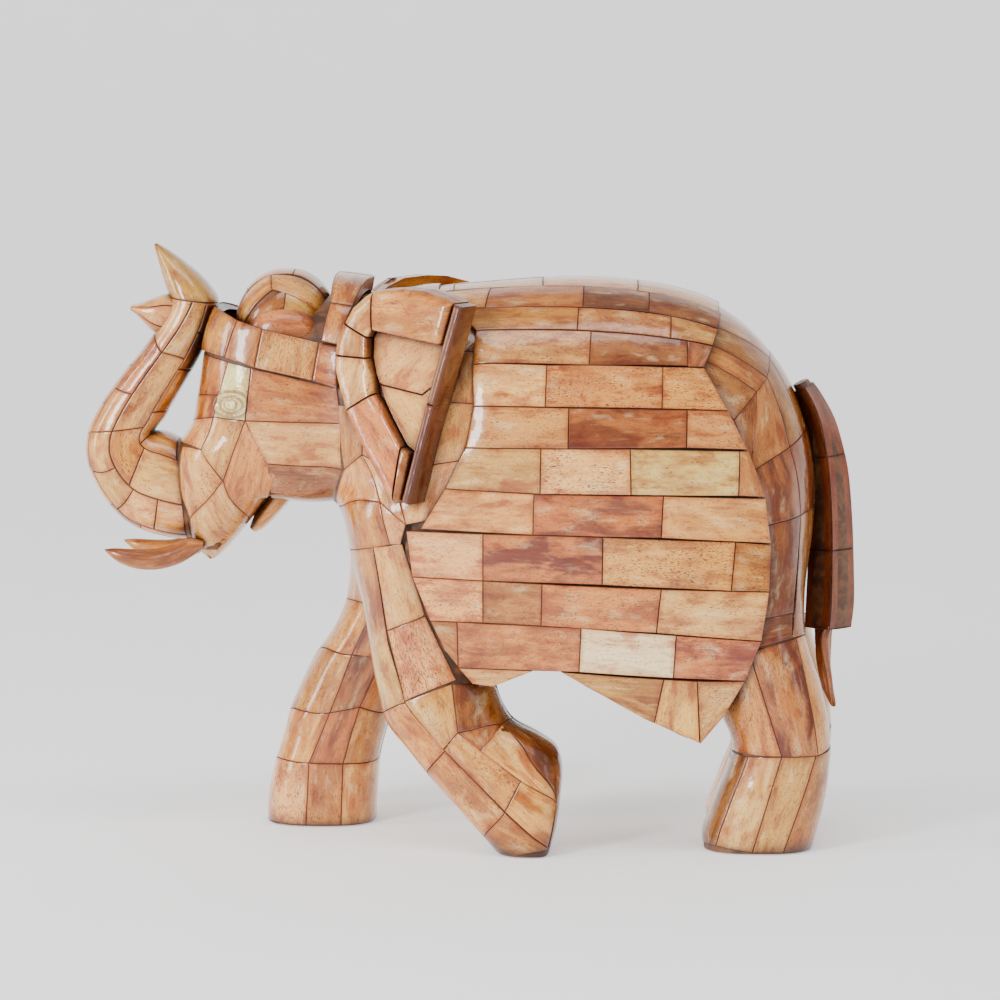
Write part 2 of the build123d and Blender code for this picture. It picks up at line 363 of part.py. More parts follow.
    ("rear_leg_tiles", "body", 1, ((97.5, -31.2, 63.4), (100.7, -19, 63.6), (108.1, -21.3, 31.3), (104.1, -33.8, 28.8))),
    ("rear_leg_tiles", "body", 1, ((78.8, -21.3, 28.6), (83.5, -34.3, 28.5), (74.2, -34.3, 1.9), (70.1, -21.3, 2))),
    ("rear_leg_tiles", "body", 1, ((83.5, -34.3, 28.5), (93.4, -37, 28.9), (84.8, -37.6, 0.4), (74.2, -34.3, 1.9))),
    ("rear_leg_tiles", "body", 1, ((93.4, -37, 28.9), (103.5, -34.3, 28.9), (93.9, -36.7, 0.3), (84.8, -37.6, 0.4))),
    ("rear_leg_tiles", "body", 1, ((103.5, -34.3, 28.9), (108.2, -21.3, 30.4), (103, -21.3, 0.8), (93.9, -36.7, 0.3))),
    ("rear_leg_tiles", "body", 1, ((69.9, -20, 47.1), (76.6, -36.1, 58.9), (83.6, -36.9, 60), (75, -21.3, 40.3))),
    # front_leg_left_tiles
    ("front_leg_left_tiles", "body", 0, ((-38.4, -14, 100.3), (-24.6, -36.1, 103.7), (-21.6, -37.8, 91.2), (-35, -16, 87.4))),
    ("front_leg_left_tiles", "body", 0, ((-24.6, -36.1, 103.7), (-16.8, -39.2, 97.3), (-18.6, -38.6, 91.3), (-21.6, -37.8, 91.2))),
    ("front_leg_left_tiles", "body", 0, ((-34.8, -18, 87.6), (-26.7, -35.5, 90.3), (-22, -36.8, 60), (-28.2, -22, 58))),
    ("front_leg_left_tiles", "body", 0, ((-26.7, -35.5, 90.3), (-18, -38.7, 91.6), (-11.1, -38.6, 70.4), (-22.6, -36.8, 65.7))),
    ("front_leg_left_tiles", "body", 0, ((-22.6, -36.8, 65.7), (-11.1, -38.6, 70.4), (-2, -39.1, 51.6), (-17.6, -38.5, 44.9))),
    ("front_leg_left_tiles", "body", 0, ((-28.2, -22, 58), (-22.6, -36.7, 63), (-17.3, -38.7, 44.6), (-24.4, -24, 39.7))),
    ("front_leg_left_tiles", "body", 0, ((-17.6, -38.5, 44.9), (-3.4, -39.6, 50.5), (-1.6, -41.2, 36.2), (-6, -40.9, 31.1))),
    ("front_leg_left_tiles", "body", 0, ((-3.4, -39.6, 50.5), (9.3, -24.5, 47.1), (11.2, -36.9, 38.3), (-1.6, -41.2, 36.2))),
    ("front_leg_left_tiles", "body", 0, ((-1.6, -41.2, 36.2), (11.2, -36.9, 38.3), (8.4, -40.9, 34.4), (4.9, -42, 30.7))),
    ("front_leg_left_tiles", "body", 0, ((-24.4, -24, 39.7), (-17.3, -38.7, 44.6), (-5.4, -41, 30.8), (-10.5, -27, 21.5))),
    ("front_leg_left_tiles", "body", 0, ((-10.5, -27, 21.5), (-5.4, -41, 30.8), (12.3, -44.7, 13.1), (6.8, -31, 3))),
    ("front_leg_left_tiles", "body", 0, ((-6, -40.9, 31.1), (-1.6, -41.2, 36.2), (17, -43.8, 22.5), (12.3, -44.6, 13.4))),
    ("front_leg_left_tiles", "body", 0, ((4.9, -42, 30.7), (11.2, -36.9, 38.3), (27.2, -40.8, 15.5), (17, -43.8, 22.5))),
    ("front_leg_left_tiles", "body", 0, ((12.3, -44.6, 13.4), (17, -43.8, 22.5), (27.2, -40.8, 15.5), (24.6, -43.7, 2.3))),
    ("front_leg_left_tiles", "body", 0, ((6.8, -31, 3), (12.3, -44.7, 13.1), (24.6, -43.7, 2.3), (14.4, -44.4, 0.3))),
    ("front_leg_left_tiles", "body", 0, ((11.2, -36.9, 38.3), (14, -27, 38.6), (28.1, -29, 28.7), (27.2, -40.8, 15.5))),
    ("front_leg_left_tiles", "body", 0, ((27.2, -40.8, 15.5), (28.1, -29, 28.7), (27.8, -31, 11.2), (25.2, -42.4, 2.4))),
    ("front_leg_left_tiles", "body", 0, ((9.3, -24.5, 47.1), (10.9, -25, 43.2), (14, -27, 38.6), (11.2, -36.9, 38.3))),
    # front_leg_right_tiles
    ("front_leg_right_tiles", "body", 0, ((-36.7, 19, 81.3), (-20.9, 2.6, 83.3), (-28.6, 3.9, 69.1), (-38.5, 20.5, 67.5))),
    ("front_leg_right_tiles", "body", 0, ((-38.5, 20.5, 67.5), (-28.6, 3.9, 69.1), (-35.6, 4.7, 52.8), (-47.1, 21.5, 52))),
    ("front_leg_right_tiles", "body", 0, ((-28.6, 3.9, 69.1), (-9.9, 20.5, 59.5), (-17.4, 21.5, 52.1), (-35.6, 4.7, 52.8))),
    ("front_leg_right_tiles", "body", 0, ((-47.1, 21.5, 52), (-35.6, 4.7, 52.8), (-42.5, 6.2, 34.9), (-55.9, 22.5, 33.3))),
    ("front_leg_right_tiles", "body", 0, ((-35.6, 4.7, 52.8), (-25.7, 5.2, 52.8), (-33.4, 6.6, 36.7), (-42.5, 6.2, 34.9))),
    ("front_leg_right_tiles", "body", 0, ((-25.7, 5.2, 52.8), (-17.4, 21.5, 52.1), (-24.9, 22.5, 33.5), (-33.4, 6.6, 36.7))),
    ("front_leg_right_tiles", "body", 0, ((-55.9, 22.5, 33.3), (-42.5, 6.2, 34.9), (-49, 7.3, 19.3), (-60.2, 23, 18.5))),
    ("front_leg_right_tiles", "body", 0, ((-42.5, 6.2, 34.9), (-33.4, 6.6, 36.7), (-38.6, 7.4, 19.1), (-49, 7.3, 19.3))),
    ("front_leg_right_tiles", "body", 0, ((-33.4, 6.6, 36.7), (-24.9, 22.5, 33.5), (-28.1, 23, 19.8), (-38.6, 7.4, 19.1))),
    ("front_leg_right_tiles", "body", 0, ((-60.2, 23, 18.5), (-49, 7.3, 19.3), (-49.9, 7.2, 0.2), (-62.5, 23, 0.3))),
    ("front_leg_right_tiles", "body", 0, ((-49, 7.3, 19.3), (-38.6, 7.4, 19.1), (-39.4, 7.7, 0.2), (-49.9, 7.2, 0.2))),
    ("front_leg_right_tiles", "body", 0, ((-38.6, 7.4, 19.1), (-28.1, 23, 19.8), (-29.7, 23, 0.3), (-39.4, 7.7, 0.2))),
    # shoulder_tiles
    ("shoulder_tiles", "body", 1, ((-37.4, -27.6, 131.4), (-29, -31.1, 131.8), (-30.2, -30.6, 117), (-35.9, -25.5, 112))),
    ("shoulder_tiles", "body", 1, ((-35.9, -25.5, 112), (-30.2, -30.6, 117), (-24.6, -36.1, 103.7), (-38.4, -14, 100.3))),
    ("shoulder_tiles", "body", 1, ((-30.2, -30.6, 117), (-20.8, -36, 113.1), (-16.8, -39.2, 97.3), (-24.6, -36.1, 103.7))),
    ("shoulder_tiles", "body", 1, ((-29, -31.1, 131.8), (-15.7, -36.4, 133.7), (-20.8, -36, 113.1), (-30.2, -30.6, 117))),
    ("shoulder_tiles", "body", 1, ((-15.7, -36.4, 133.7), (3.6, -38.5, 132.8), (0.2, -40.2, 116.5), (-20.8, -36, 113.1))),
    ("shoulder_tiles", "body", 1, ((-20.8, -36, 113.1), (0.2, -40.2, 116.5), (-9.2, -40, 98.9), (-16.8, -39.2, 97.3))),
    ("shoulder_tiles", "body", 1, ((-7.7, -19.1, 161.9), (4.8, -21.7, 159.7), (4, -33.3, 147.6), (-11.5, -32.5, 148.1))),
    ("shoulder_tiles", "body", 1, ((-11.5, -32.5, 148.1), (4, -33.3, 147.6), (3.6, -38.5, 132.8), (-15.7, -36.4, 133.7))),
    ("shoulder_tiles", "body", 1, ((-35.5, -0.2, 166), (-22, -0.2, 166), (-22, -12.5, 163), (-35.5, -12.5, 163))),
    ("shoulder_tiles", "body", 1, ((-35.5, -12.5, 163), (-22, -12.5, 163), (-22, -24, 157), (-35.5, -24, 157))),
    ("shoulder_tiles", "body", 1, ((-22, -0.2, 166), (-8.5, -0.2, 166), (-8.5, -12.5, 163), (-22, -12.5, 163))),
    ("shoulder_tiles", "body", 1, ((-22, -12.5, 163), (-8.5, -12.5, 163), (-8.5, -24, 157), (-22, -24, 157))),
    # head_tiles
    ("head_tiles", "head", 1, ((-79, 0, 145.6), (-70.2, -22.9, 143.7), (-72.9, -22.8, 133.9), (-81.3, 0, 131))),
    ("head_tiles", "head", 1, ((-81.3, 0, 131), (-72.9, -22.8, 133.9), (-74.8, -22.2, 127.3), (-83.6, 0, 122.6))),
    ("head_tiles", "head", 1, ((-83.6, 0, 122.6), (-74.8, -22.2, 127.3), (-78.4, -23, 117.6), (-86.7, 0, 117.9))),
    ("head_tiles", "head", 1, ((-70.2, -22.9, 143.7), (-63.2, -25, 142.1), (-65, -25.8, 126.5), (-74.8, -22.2, 127.3))),
    ("head_tiles", "head", 1, ((-63.2, -25, 142.1), (-37.7, -27.5, 136.4), (-36.5, -27.8, 125.8), (-65, -25.8, 126.5))),
    ("head_tiles", "head", 1, ((-65, -25.8, 126.5), (-36.5, -27.8, 125.8), (-36.5, -24.4, 111.9), (-59, -24.9, 113.7))),
    ("head_tiles", "head", 1, ((-74.8, -22.2, 127.3), (-65, -25.8, 126.5), (-71.8, -23.7, 108.4), (-78.4, -23, 117.6))),
    ("head_tiles", "head", 1, ((-65, -25.8, 126.5), (-56.1, -23.8, 110), (-65.5, -6, 94.7), (-71.8, -23.7, 108.4))),
    ("head_tiles", "head", 1, ((-84.4, -15.4, 118), (-78.4, -23, 117.6), (-71.8, -23.7, 108.4), (-82.6, -14.1, 96.1))),
    ("head_tiles", "head", 1, ((-82.6, -14.1, 96.1), (-71.8, -23.7, 108.4), (-65.5, -6, 94.7), (-77.7, 0, 82.9))),
    ("head_tiles", "head", 1, ((-59, -24.9, 113.7), (-36.5, -24.4, 111.9), (-37.3, -1, 99.7), (-55.9, -1, 101))),
    # headband_tiles
    ("headband_tiles", "band", 1, ((-80, 0, 146.8), (-76.2, 0, 159.1), (-67.5, -22.2, 156), (-71.3, -23.4, 144.9))),
    ("headband_tiles", "band", 1, ((-71.3, -23.4, 144.9), (-67.5, -22.2, 156), (-60, -24.5, 153.6), (-62.2, -26.3, 142.2))),
    ("headband_tiles", "band", 1, ((-62.2, -26.3, 142.2), (-60, -24.5, 153.6), (-43.1, -25.3, 149.8), (-45.1, -27.6, 138.5))),
    ("headband_tiles", "band", 1, ((-45.1, -27.6, 138.5), (-43.1, -25.3, 149.8), (-37.2, -26.2, 149), (-37.6, -28.7, 136.2))),
    # neck_ring_tiles
    ("neck_ring_tiles", "ring", 1, ((-39.1, -0.2, 169.1), (-28, -0.2, 167.7), (-33.2, -23.5, 160.3), (-40, -22.2, 161.4))),
    ("neck_ring_tiles", "ring", 1, ((-40, -22.2, 161.4), (-33.2, -23.5, 160.3), (-37.1, -27.8, 149.1), (-42.4, -26.8, 150.2))),
    # forehead_dome_tiles
    ("forehead_dome_tiles", "dome", 1, ((-70.2, -0.1, 152.8), (-66, -0.2, 164.6), (-65.5, -7.9, 164), (-69.6, -6.8, 152.6))),
    ("forehead_dome_tiles", "dome", 1, ((-66, -0.2, 164.6), (-51.8, -0.2, 169.8), (-52, -8.5, 168.8), (-65.5, -7.9, 164))),
    ("forehead_dome_tiles", "dome", 1, ((-51.8, -0.2, 169.8), (-39.9, -0.1, 157.8), (-40.5, -7.1, 157.5), (-52, -8.5, 168.8))),
    ("forehead_dome_tiles", "dome", 1, ((-69.7, -6.8, 152.1), (-58.5, -8.5, 168.6), (-57.7, -14.9, 164.6), (-67.3, -12.8, 151.8))),
    ("forehead_dome_tiles", "dome", 1, ((-58.5, -8.5, 168.6), (-40.5, -7.1, 157.5), (-42.8, -13.3, 156.3), (-57.7, -14.9, 164.6))),
    ("forehead_dome_tiles", "dome", 1, ((-67.3, -12.9, 152.2), (-53.6, -14.9, 164.9), (-54.2, -18.9, 156.1), (-60.5, -18.5, 151))),
    ("forehead_dome_tiles", "dome", 1, ((-53.6, -14.9, 164.9), (-43, -13.4, 156.7), (-49.4, -18.6, 153), (-54.2, -18.9, 156.1))),
    # belly_tiles
    ("belly_tiles", "torso", 1, ((12, -0.4, 55.2), (24, -0.5, 52.5), (24, -22.3, 59.2), (12, -22, 60))),
    ("belly_tiles", "torso", 1, ((24, -0.5, 52.5), (40, -0.5, 44.2), (40, -24.5, 54.8), (24, -22.3, 59.2))),
    ("belly_tiles", "torso", 1, ((40, -0.5, 44.2), (58, -0.6, 41.8), (58, -25.4, 52.9), (40, -24.5, 54.8))),
    ("belly_tiles", "torso", 1, ((12, -22, 60), (30, -23.1, 57.7), (30, -35.2, 75.4), (12, -35, 75.7))),
    ("belly_tiles", "torso", 1, ((30, -23.1, 57.7), (48, -25.3, 53.2), (48, -36.3, 74.6), (30, -35.2, 75.4))),
    ("belly_tiles", "torso", 1, ((48, -25.3, 53.2), (58, -25.4, 52.9), (58, -36, 74.8), (48, -36.3, 74.6))),
    # chest_tiles
    ("chest_tiles", "body", 1, ((-38.3, -0.2, 98), (-38.1, -5.5, 98), (-34.4, -5.5, 84), (-34.4, -0.2, 84))),
    ("chest_tiles", "body", 1, ((-34.4, -0.2, 84), (-34.4, -5.5, 84), (-28.9, -5.5, 70), (-29.2, -0.2, 70))),
    ("chest_tiles", "body", 1, ((-29.2, -0.2, 70), (-28.9, -5.5, 70), (-19.3, -5.5, 58), (-15.2, -0.2, 58))),
    # rear_leg_tiles_in
    ("rear_leg_tiles_in", "body", 1, ((75, -21.3, 40.3), (89.8, -0.5, 54.1), (93.4, -5.8, 28.9), (78.8, -21.3, 28.6))),
    ("rear_leg_tiles_in", "body", 1, ((89.8, -0.5, 54.1), (98, -8, 63.4), (104.1, -9.1, 28.8), (93.4, -5.8, 28.9))),
    ("rear_leg_tiles_in", "body", 1, ((98, -8, 63.4), (100.7, -19, 63.6), (108.1, -21.3, 31.3), (104.1, -9.1, 28.8))),
    ("rear_leg_tiles_in", "body", 1, ((78.8, -21.3, 28.6), (83.5, -8.6, 28.5), (74.2, -9.7, 1.9), (70.1, -21.3, 2))),
    ("rear_leg_tiles_in", "body", 1, ((83.5, -8.6, 28.5), (93.4, -5.8, 28.9), (84.8, -6.4, 0.4), (74.2, -9.7, 1.9))),
    ("rear_leg_tiles_in", "body", 1, ((93.4, -5.8, 28.9), (103.5, -8.5, 28.9), (93.9, -7.3, 0.3), (84.8, -6.4, 0.4))),
    ("rear_leg_tiles_in", "body", 1, ((103.5, -8.5, 28.9), (108.2, -21.3, 30.4), (103, -21.3, 0.8), (93.9, -7.3, 0.3))),
    # front_leg_left_tiles_in
    ("front_leg_left_tiles_in", "body", 0, ((-28.2, -22, 58), (-24.1, -6.9, 61.8), (-17.2, -8.9, 44.6), (-24.4, -24, 39.7))),
    ("front_leg_left_tiles_in", "body", 0, ((-17.5, -9, 44.9), (-3.5, -7.2, 50.6), (-1.6, -10.1, 36.1), (-6, -11.6, 31.1))),
    ("front_leg_left_tiles_in", "body", 0, ((-3.5, -7.2, 50.6), (9.2, -22.4, 47.1), (10.8, -15.3, 38.1), (-1.6, -10.1, 36.1))),
    ("front_leg_left_tiles_in", "body", 0, ((-1.6, -10.1, 36.1), (10.8, -15.3, 38.1), (8.5, -12.9, 34.4), (4.9, -12.6, 30.7))),
    ("front_leg_left_tiles_in", "body", 0, ((-24.4, -24, 39.7), (-17.2, -8.9, 44.6), (-5.4, -11.7, 30.8), (-10.5, -27, 21.5))),
    ("front_leg_left_tiles_in", "body", 0, ((-10.5, -27, 21.5), (-5.4, -11.7, 30.8), (12.3, -16.9, 13.1), (6.8, -32.5, 3))),
    ("front_leg_left_tiles_in", "body", 0, ((-6, -11.6, 31.1), (-1.6, -10.1, 36.1), (17, -15.7, 22.5), (12.3, -16.8, 13.4))),
    ("front_leg_left_tiles_in", "body", 0, ((4.9, -12.6, 30.7), (10.8, -15.3, 38.1), (27.2, -23, 15.5), (17, -15.7, 22.5))),
    ("front_leg_left_tiles_in", "body", 0, ((12.3, -16.8, 13.4), (17, -15.7, 22.5), (27.2, -23, 15.5), (24.6, -22.2, 2.3))),
    ("front_leg_left_tiles_in", "body", 0, ((6.8, -32.5, 3), (12.3, -16.9, 13.1), (24.6, -22.2, 2.3), (14.4, -20.9, 0.3))),
    ("front_leg_left_tiles_in", "body", 0, ((10.8, -15.3, 38.1), (14, -24.9, 38.6), (28.1, -30.9, 28.7), (27.2, -23, 15.5))),
    ("front_leg_left_tiles_in", "body", 0, ((27.2, -23, 15.5), (28.1, -30.9, 28.7), (27.8, -33.9, 11.2), (25.2, -23.6, 2.4))),
    ("front_leg_left_tiles_in", "body", 0, ((9.2, -22.4, 47.1), (10.9, -23.4, 43.2), (14, -24.9, 38.6), (10.8, -15.3, 38.1))),
    # front_leg_right_tiles_in
    ("front_leg_right_tiles_in", "body", 0, ((-36.7, 19, 81.3), (-21, 37.2, 83.3), (-28.6, 36.9, 69.1), (-38.5, 20.5, 67.5))),
    ("front_leg_right_tiles_in", "body", 0, ((-21, 37.2, 83.3), (-10.7, 22.5, 60.2), (-9.9, 20.5, 59.5), (-28.6, 36.9, 69.1))),
    ("front_leg_right_tiles_in", "body", 0, ((-38.5, 20.5, 67.5), (-28.6, 36.9, 69.1), (-35.6, 38.2, 52.8), (-47.1, 21.5, 52))),
    ("front_leg_right_tiles_in", "body", 0, ((-28.6, 36.9, 69.1), (-9.9, 20.5, 59.5), (-17.4, 21.5, 52.1), (-35.6, 38.2, 52.8))),
    ("front_leg_right_tiles_in", "body", 0, ((-47.1, 21.5, 52), (-35.6, 38.2, 52.8), (-42.5, 38.6, 34.9), (-55.9, 22.5, 33.3))),
    ("front_leg_right_tiles_in", "body", 0, ((-35.6, 38.2, 52.8), (-25.7, 37.7, 52.8), (-33.4, 38, 36.7), (-42.5, 38.6, 34.9))),
    ("front_leg_right_tiles_in", "body", 0, ((-25.7, 37.7, 52.8), (-17.4, 21.5, 52.1), (-24.9, 22.5, 33.5), (-33.4, 38, 36.7))),
    ("front_leg_right_tiles_in", "body", 0, ((-55.9, 22.5, 33.3), (-42.5, 38.6, 34.9), (-49, 38.7, 19.3), (-60.2, 23, 18.5))),
    ("front_leg_right_tiles_in", "body", 0, ((-42.5, 38.6, 34.9), (-33.4, 38, 36.7), (-38.6, 38.6, 19.1), (-49, 38.7, 19.3))),
    ("front_leg_right_tiles_in", "body", 0, ((-33.4, 38, 36.7), (-24.9, 22.5, 33.5), (-28.1, 23, 19.8), (-38.6, 38.6, 19.1))),
    ("front_leg_right_tiles_in", "body", 0, ((-60.2, 23, 18.5), (-49, 38.7, 19.3), (-49.9, 38.8, 0.2), (-62.5, 23, 0.3))),
    ("front_leg_right_tiles_in", "body", 0, ((-49, 38.7, 19.3), (-38.6, 38.6, 19.1), (-39.4, 38.3, 0.2), (-49.9, 38.8, 0.2))),
    ("front_leg_right_tiles_in", "body", 0, ((-38.6, 38.6, 19.1), (-28.1, 23, 19.8), (-29.7, 23, 0.3), (-39.4, 38.3, 0.2))),
    ("front_leg_right_tiles_in", "body", 0, ((-38.4, 14, 100.3), (-24.6, 36.1, 103.7), (-21, 37.2, 83.3), (-36.7, 19, 81.3))),
    ("front_leg_right_tiles_in", "body", 0, ((-24.6, 36.1, 103.7), (-16.8, 39.2, 97.3), (-17, 38.6, 84), (-21, 37.2, 83.3))),
]

# node, tube, mirrored, corners (station, angle)
TUBE_TILES = [
    ("trunk_front_tiles", "TRUNK", 0, ((14.30, -0.600), (17.05, -0.600), (17.05, 0.600), (14.30, 0.600))),
    ("trunk_front_tiles", "TRUNK", 0, ((12.40, -0.600), (14.30, -0.600), (14.30, 0.600), (12.40, 0.600))),
    ("trunk_front_tiles", "TRUNK", 0, ((10.30, -0.600), (12.40, -0.600), (12.40, 0.600), (10.30, 0.600))),
    ("trunk_front_tiles", "TRUNK", 0, ((8.50, -0.600), (10.30, -0.600), (10.30, 0.600), (8.50, 0.600))),
    ("trunk_front_tiles", "TRUNK", 0, ((6.80, -0.600), (8.50, -0.600), (8.50, 0.600), (6.80, 0.600))),
    ("trunk_front_tiles", "TRUNK", 0, ((5.00, -0.600), (6.80, -0.600), (6.80, 0.600), (5.00, 0.600))),
    ("trunk_front_tiles", "TRUNK", 0, ((3.40, -0.600), (5.00, -0.600), (5.00, 0.600), (3.40, 0.600))),
    ("trunk_front_tiles", "TRUNK", 0, ((0.90, -0.600), (3.40, -0.600), (3.40, 0.600), (0.90, 0.600))),
    ("trunk_rear_tiles", "TRUNK", 0, ((14.90, 2.100), (17.05, 2.100), (17.05, 4.183), (14.90, 4.183))),
    ("trunk_rear_tiles", "TRUNK", 0, ((12.60, 2.100), (14.90, 2.100), (14.90, 4.183), (12.60, 4.183))),
    ("trunk_rear_tiles", "TRUNK", 0, ((9.80, 2.100), (12.60, 2.100), (12.60, 4.183), (9.80, 4.183))),
    ("trunk_rear_tiles", "TRUNK", 0, ((6.00, 2.100), (9.80, 2.100), (9.80, 4.183), (6.00, 4.183))),
    ("trunk_rear_tiles", "TRUNK", 0, ((1.10, 2.100), (6.00, 2.100), (6.00, 4.183), (1.10, 4.183))),
    ("trunk_side_tiles", "TRUNK", 1, ((11.20, 0.600), (14.30, 0.600), (13.40, 1.430), (11.00, 1.430))),
    ("trunk_side_tiles", "TRUNK", 1, ((8.60, 0.600), (11.20, 0.600), (11.00, 1.430), (8.50, 1.430))),
    ("trunk_side_tiles", "TRUNK", 1, ((13.40, 1.430), (17.05, 1.580), (17.05, 2.100), (13.20, 2.100))),
    ("trunk_side_tiles", "TRUNK", 1, ((8.50, 1.430), (13.40, 1.430), (13.20, 2.100), (8.40, 2.100))),
    ("trunk_side_tiles", "TRUNK", 1, ((6.60, 0.600), (8.60, 0.600), (8.50, 1.430), (6.00, 1.430))),
    ("trunk_side_tiles", "TRUNK", 1, ((4.70, 0.600), (6.60, 0.600), (6.00, 1.430), (4.30, 1.430))),
    ("trunk_side_tiles", "TRUNK", 1, ((2.70, 0.600), (4.70, 0.600), (4.30, 1.430), (2.60, 1.430))),
    ("trunk_side_tiles", "TRUNK", 1, ((0.90, 0.600), (2.70, 0.600), (2.60, 1.430), (0.90, 1.430))),
    ("trunk_side_tiles", "TRUNK", 1, ((4.60, 1.430), (8.50, 1.430), (8.40, 2.100), (4.90, 2.100))),
    ("trunk_side_tiles", "TRUNK", 1, ((0.90, 1.430), (4.60, 1.430), (4.90, 2.100), (1.00, 2.100))),
    ("trunk_side_tiles", "TRUNK", 1, ((14.30, 0.600), (17.05, 0.600), (17.05, 1.580), (13.40, 1.430))),
    ("trunk_upper_lip", "TRUNK", 0, ((17.10, 0.500), (21.90, 0.500), (21.90, 5.783), (17.10, 5.783))),
    ("trunk_upper_lip", "TRUNK", 0, ((17.10, -0.500), (21.90, -0.500), (21.90, 0.500), (17.10, 0.500))),
    ("trunk_lower_lip", "LIP", 0, ((0.20, 2.000), (5.90, 2.000), (5.90, 4.283), (0.20, 4.283))),
    ("trunk_lower_lip", "LIP", 0, ((0.20, -1.150), (5.90, -1.150), (5.90, 1.150), (0.20, 1.150))),
    ("trunk_lower_lip", "LIP", 1, ((0.20, 1.150), (5.90, 1.150), (5.90, 2.000), (0.20, 2.000))),
    ("tail_tiles", "TAIL", 1, ((0.40, 0.020), (3.40, 0.020), (3.40, 1.551), (0.40, 1.551))),
    ("tail_tiles", "TAIL", 1, ((0.40, 1.591), (3.40, 1.591), (3.40, 3.122), (0.40, 3.122))),
    ("tail_tiles", "TAIL", 1, ((3.40, 0.020), (5.70, 0.020), (5.70, 1.551), (3.40, 1.551))),
    ("tail_tiles", "TAIL", 1, ((3.40, 1.591), (5.70, 1.591), (5.70, 3.122), (3.40, 3.122))),
    ("tail_tiles", "TAIL", 1, ((5.70, 0.020), (8.00, 0.020), (8.00, 1.551), (5.70, 1.551))),
    ("tail_tiles", "TAIL", 1, ((5.70, 1.591), (8.00, 1.591), (8.00, 3.122), (5.70, 3.122))),
]


# ear: outline and pieces in the ear's own plane (along the ear, height above its origin)
EAR_OUTLINE = [(0.0, 0.0), (0.4, 4.5), (2.5, 9.0), (5.9, 14.1), (10.1, 17.4), (15.5, 19.6), (23.0, 20.2), (29.8, 19.8),
               (36.6, 18.0), (40.3, 16.4), (38.6, 11.7), (36.5, 4.3), (33.2, -6.0), (29.8, -14.9), (27.0, -23.8),
               (24.6, -32.7), (22.9, -41.6), (20.5, -42.3), (17.8, -38.9), (12.6, -30.9), (8.5, -24.6), (4.1, -16.0),
               (1.7, -10.2), (0.0, -4.4)]
EAR_FRAME_TILES = [
    [(13.3, 19.3), (23.0, 20.2), (29.8, 19.8), (36.6, 18.0), (40.3, 16.4), (36.6, 4.2), (26.4, 5.7), (17.9, 6.9), (13.3, 7.6)],
    [(13.0, 19.0), (13.0, 7.7), (11.7, 5.6), (3.2, 9.8), (5.9, 14.1), (10.1, 17.4)],
    [(3.0, 9.6), (11.6, 5.3), (11.4, -0.3), (0.0, 0.2), (0.4, 4.5), (2.5, 9.0)],
    [(0.0, -0.1), (11.4, -0.6), (12.7, -5.3), (13.6, -10.5), (3.8, -16.1), (1.7, -10.2), (0.0, -4.4)],
    [(3.9, -16.4), (13.7, -10.8), (16.1, -14.0), (19.5, -19.7), (23.2, -25.5), (20.3, -41.9), (17.8, -38.9), (12.6, -30.9), (8.5, -24.6)],
    [(23.5, -25.8), (26.2, -27.4), (22.9, -41.6), (20.6, -42.2)]]
EAR_PANEL_TILES = [
    [(12.0, 5.6), (13.2, 7.2), (17.9, 6.6), (26.4, 5.4), (36.0, 4.0), (32.6, -7.6), (28.4, -10.4), (14.2, -8.0), (12.9, -5.3), (11.8, -0.3)],
    [(14.3, -8.3), (28.6, -10.7), (32.4, -8.0), (26.2, -27.0), (23.6, -25.2), (19.8, -19.4), (16.4, -13.7)]]
EAR_BAR_LINE = [(40.5, 16.2), (31.4, -12.6), (23.1, -41.4)]


# helpers ----------------------------------------------------------------------
def mirrored(p):
    p = np.array(p, float)
    p[..., 1] *= -1
    return p


def f_spine(p):
    """Torso and neck together, without the legs."""
    return smin(f_torso(p), f_neck(p), 8.0)


def f_legs(p):
    """Body and legs without the cut at the soles."""
    f = f_spine(p)
    for s in (-1, 1):
        f = smin(f, f_rear_leg(p, s), 9.0)
    f = smin(f, f_front_right(p), 8.0)
    return smin(f, f_front_left(p), 8.0)


SURFACES = {"body": f_legs, "head": f_head, "cloth": f_cloth, "band": f_band, "dome": f_dome, "ring": f_ring,
            "torso": f_spine}
TABLES = {"TRUNK": TRUNK, "LIP": LIP, "TAIL": TAIL}


def tile_solid(top, bottom, tol=0.01):
    """A curved tile: outer and inner spline faces joined by ruled sides."""
    def face(g):
        return Face.make_surface_from_array_of_points([[Vector(*map(float, p)) for p in r] for r in g],
                                                      tol=tol, min_deg=3, max_deg=5)
    a, b = face(top), face(bottom)
    eb = list(b.edges())
    sides = []
    for e in a.edges():
        c = e.position_at(0.5)
        k = min(eb, key=lambda x: (x.position_at(0.5) - c).length)
        eb.remove(k)
        sides.append(Face.make_surface_from_curves(e, k))
    s = Solid(Shell([a, b] + sides))
    if s.volume < 0:
        s = Solid(Shell([-f for f in [a, b] + sides]))
    return s


def quad_grid(q, nu, nv, gap):
    q = np.asarray(q, float)
    lu = (np.linalg.norm(q[1] - q[0]) + np.linalg.norm(q[2] - q[3])) / 2
    lv = (np.linalg.norm(q[3] - q[0]) + np.linalg.norm(q[2] - q[1])) / 2
    du, dv = min(0.2, gap / 2 / lu), min(0.2, gap / 2 / lv)
    s = np.linspace(du, 1 - du, nu)[:, None, None]
    t = np.linspace(dv, 1 - dv, nv)[None, :, None]
    return (1 - s) * (1 - t) * q[0] + s * (1 - t) * q[1] + s * t * q[2] + (1 - s) * t * q[3]


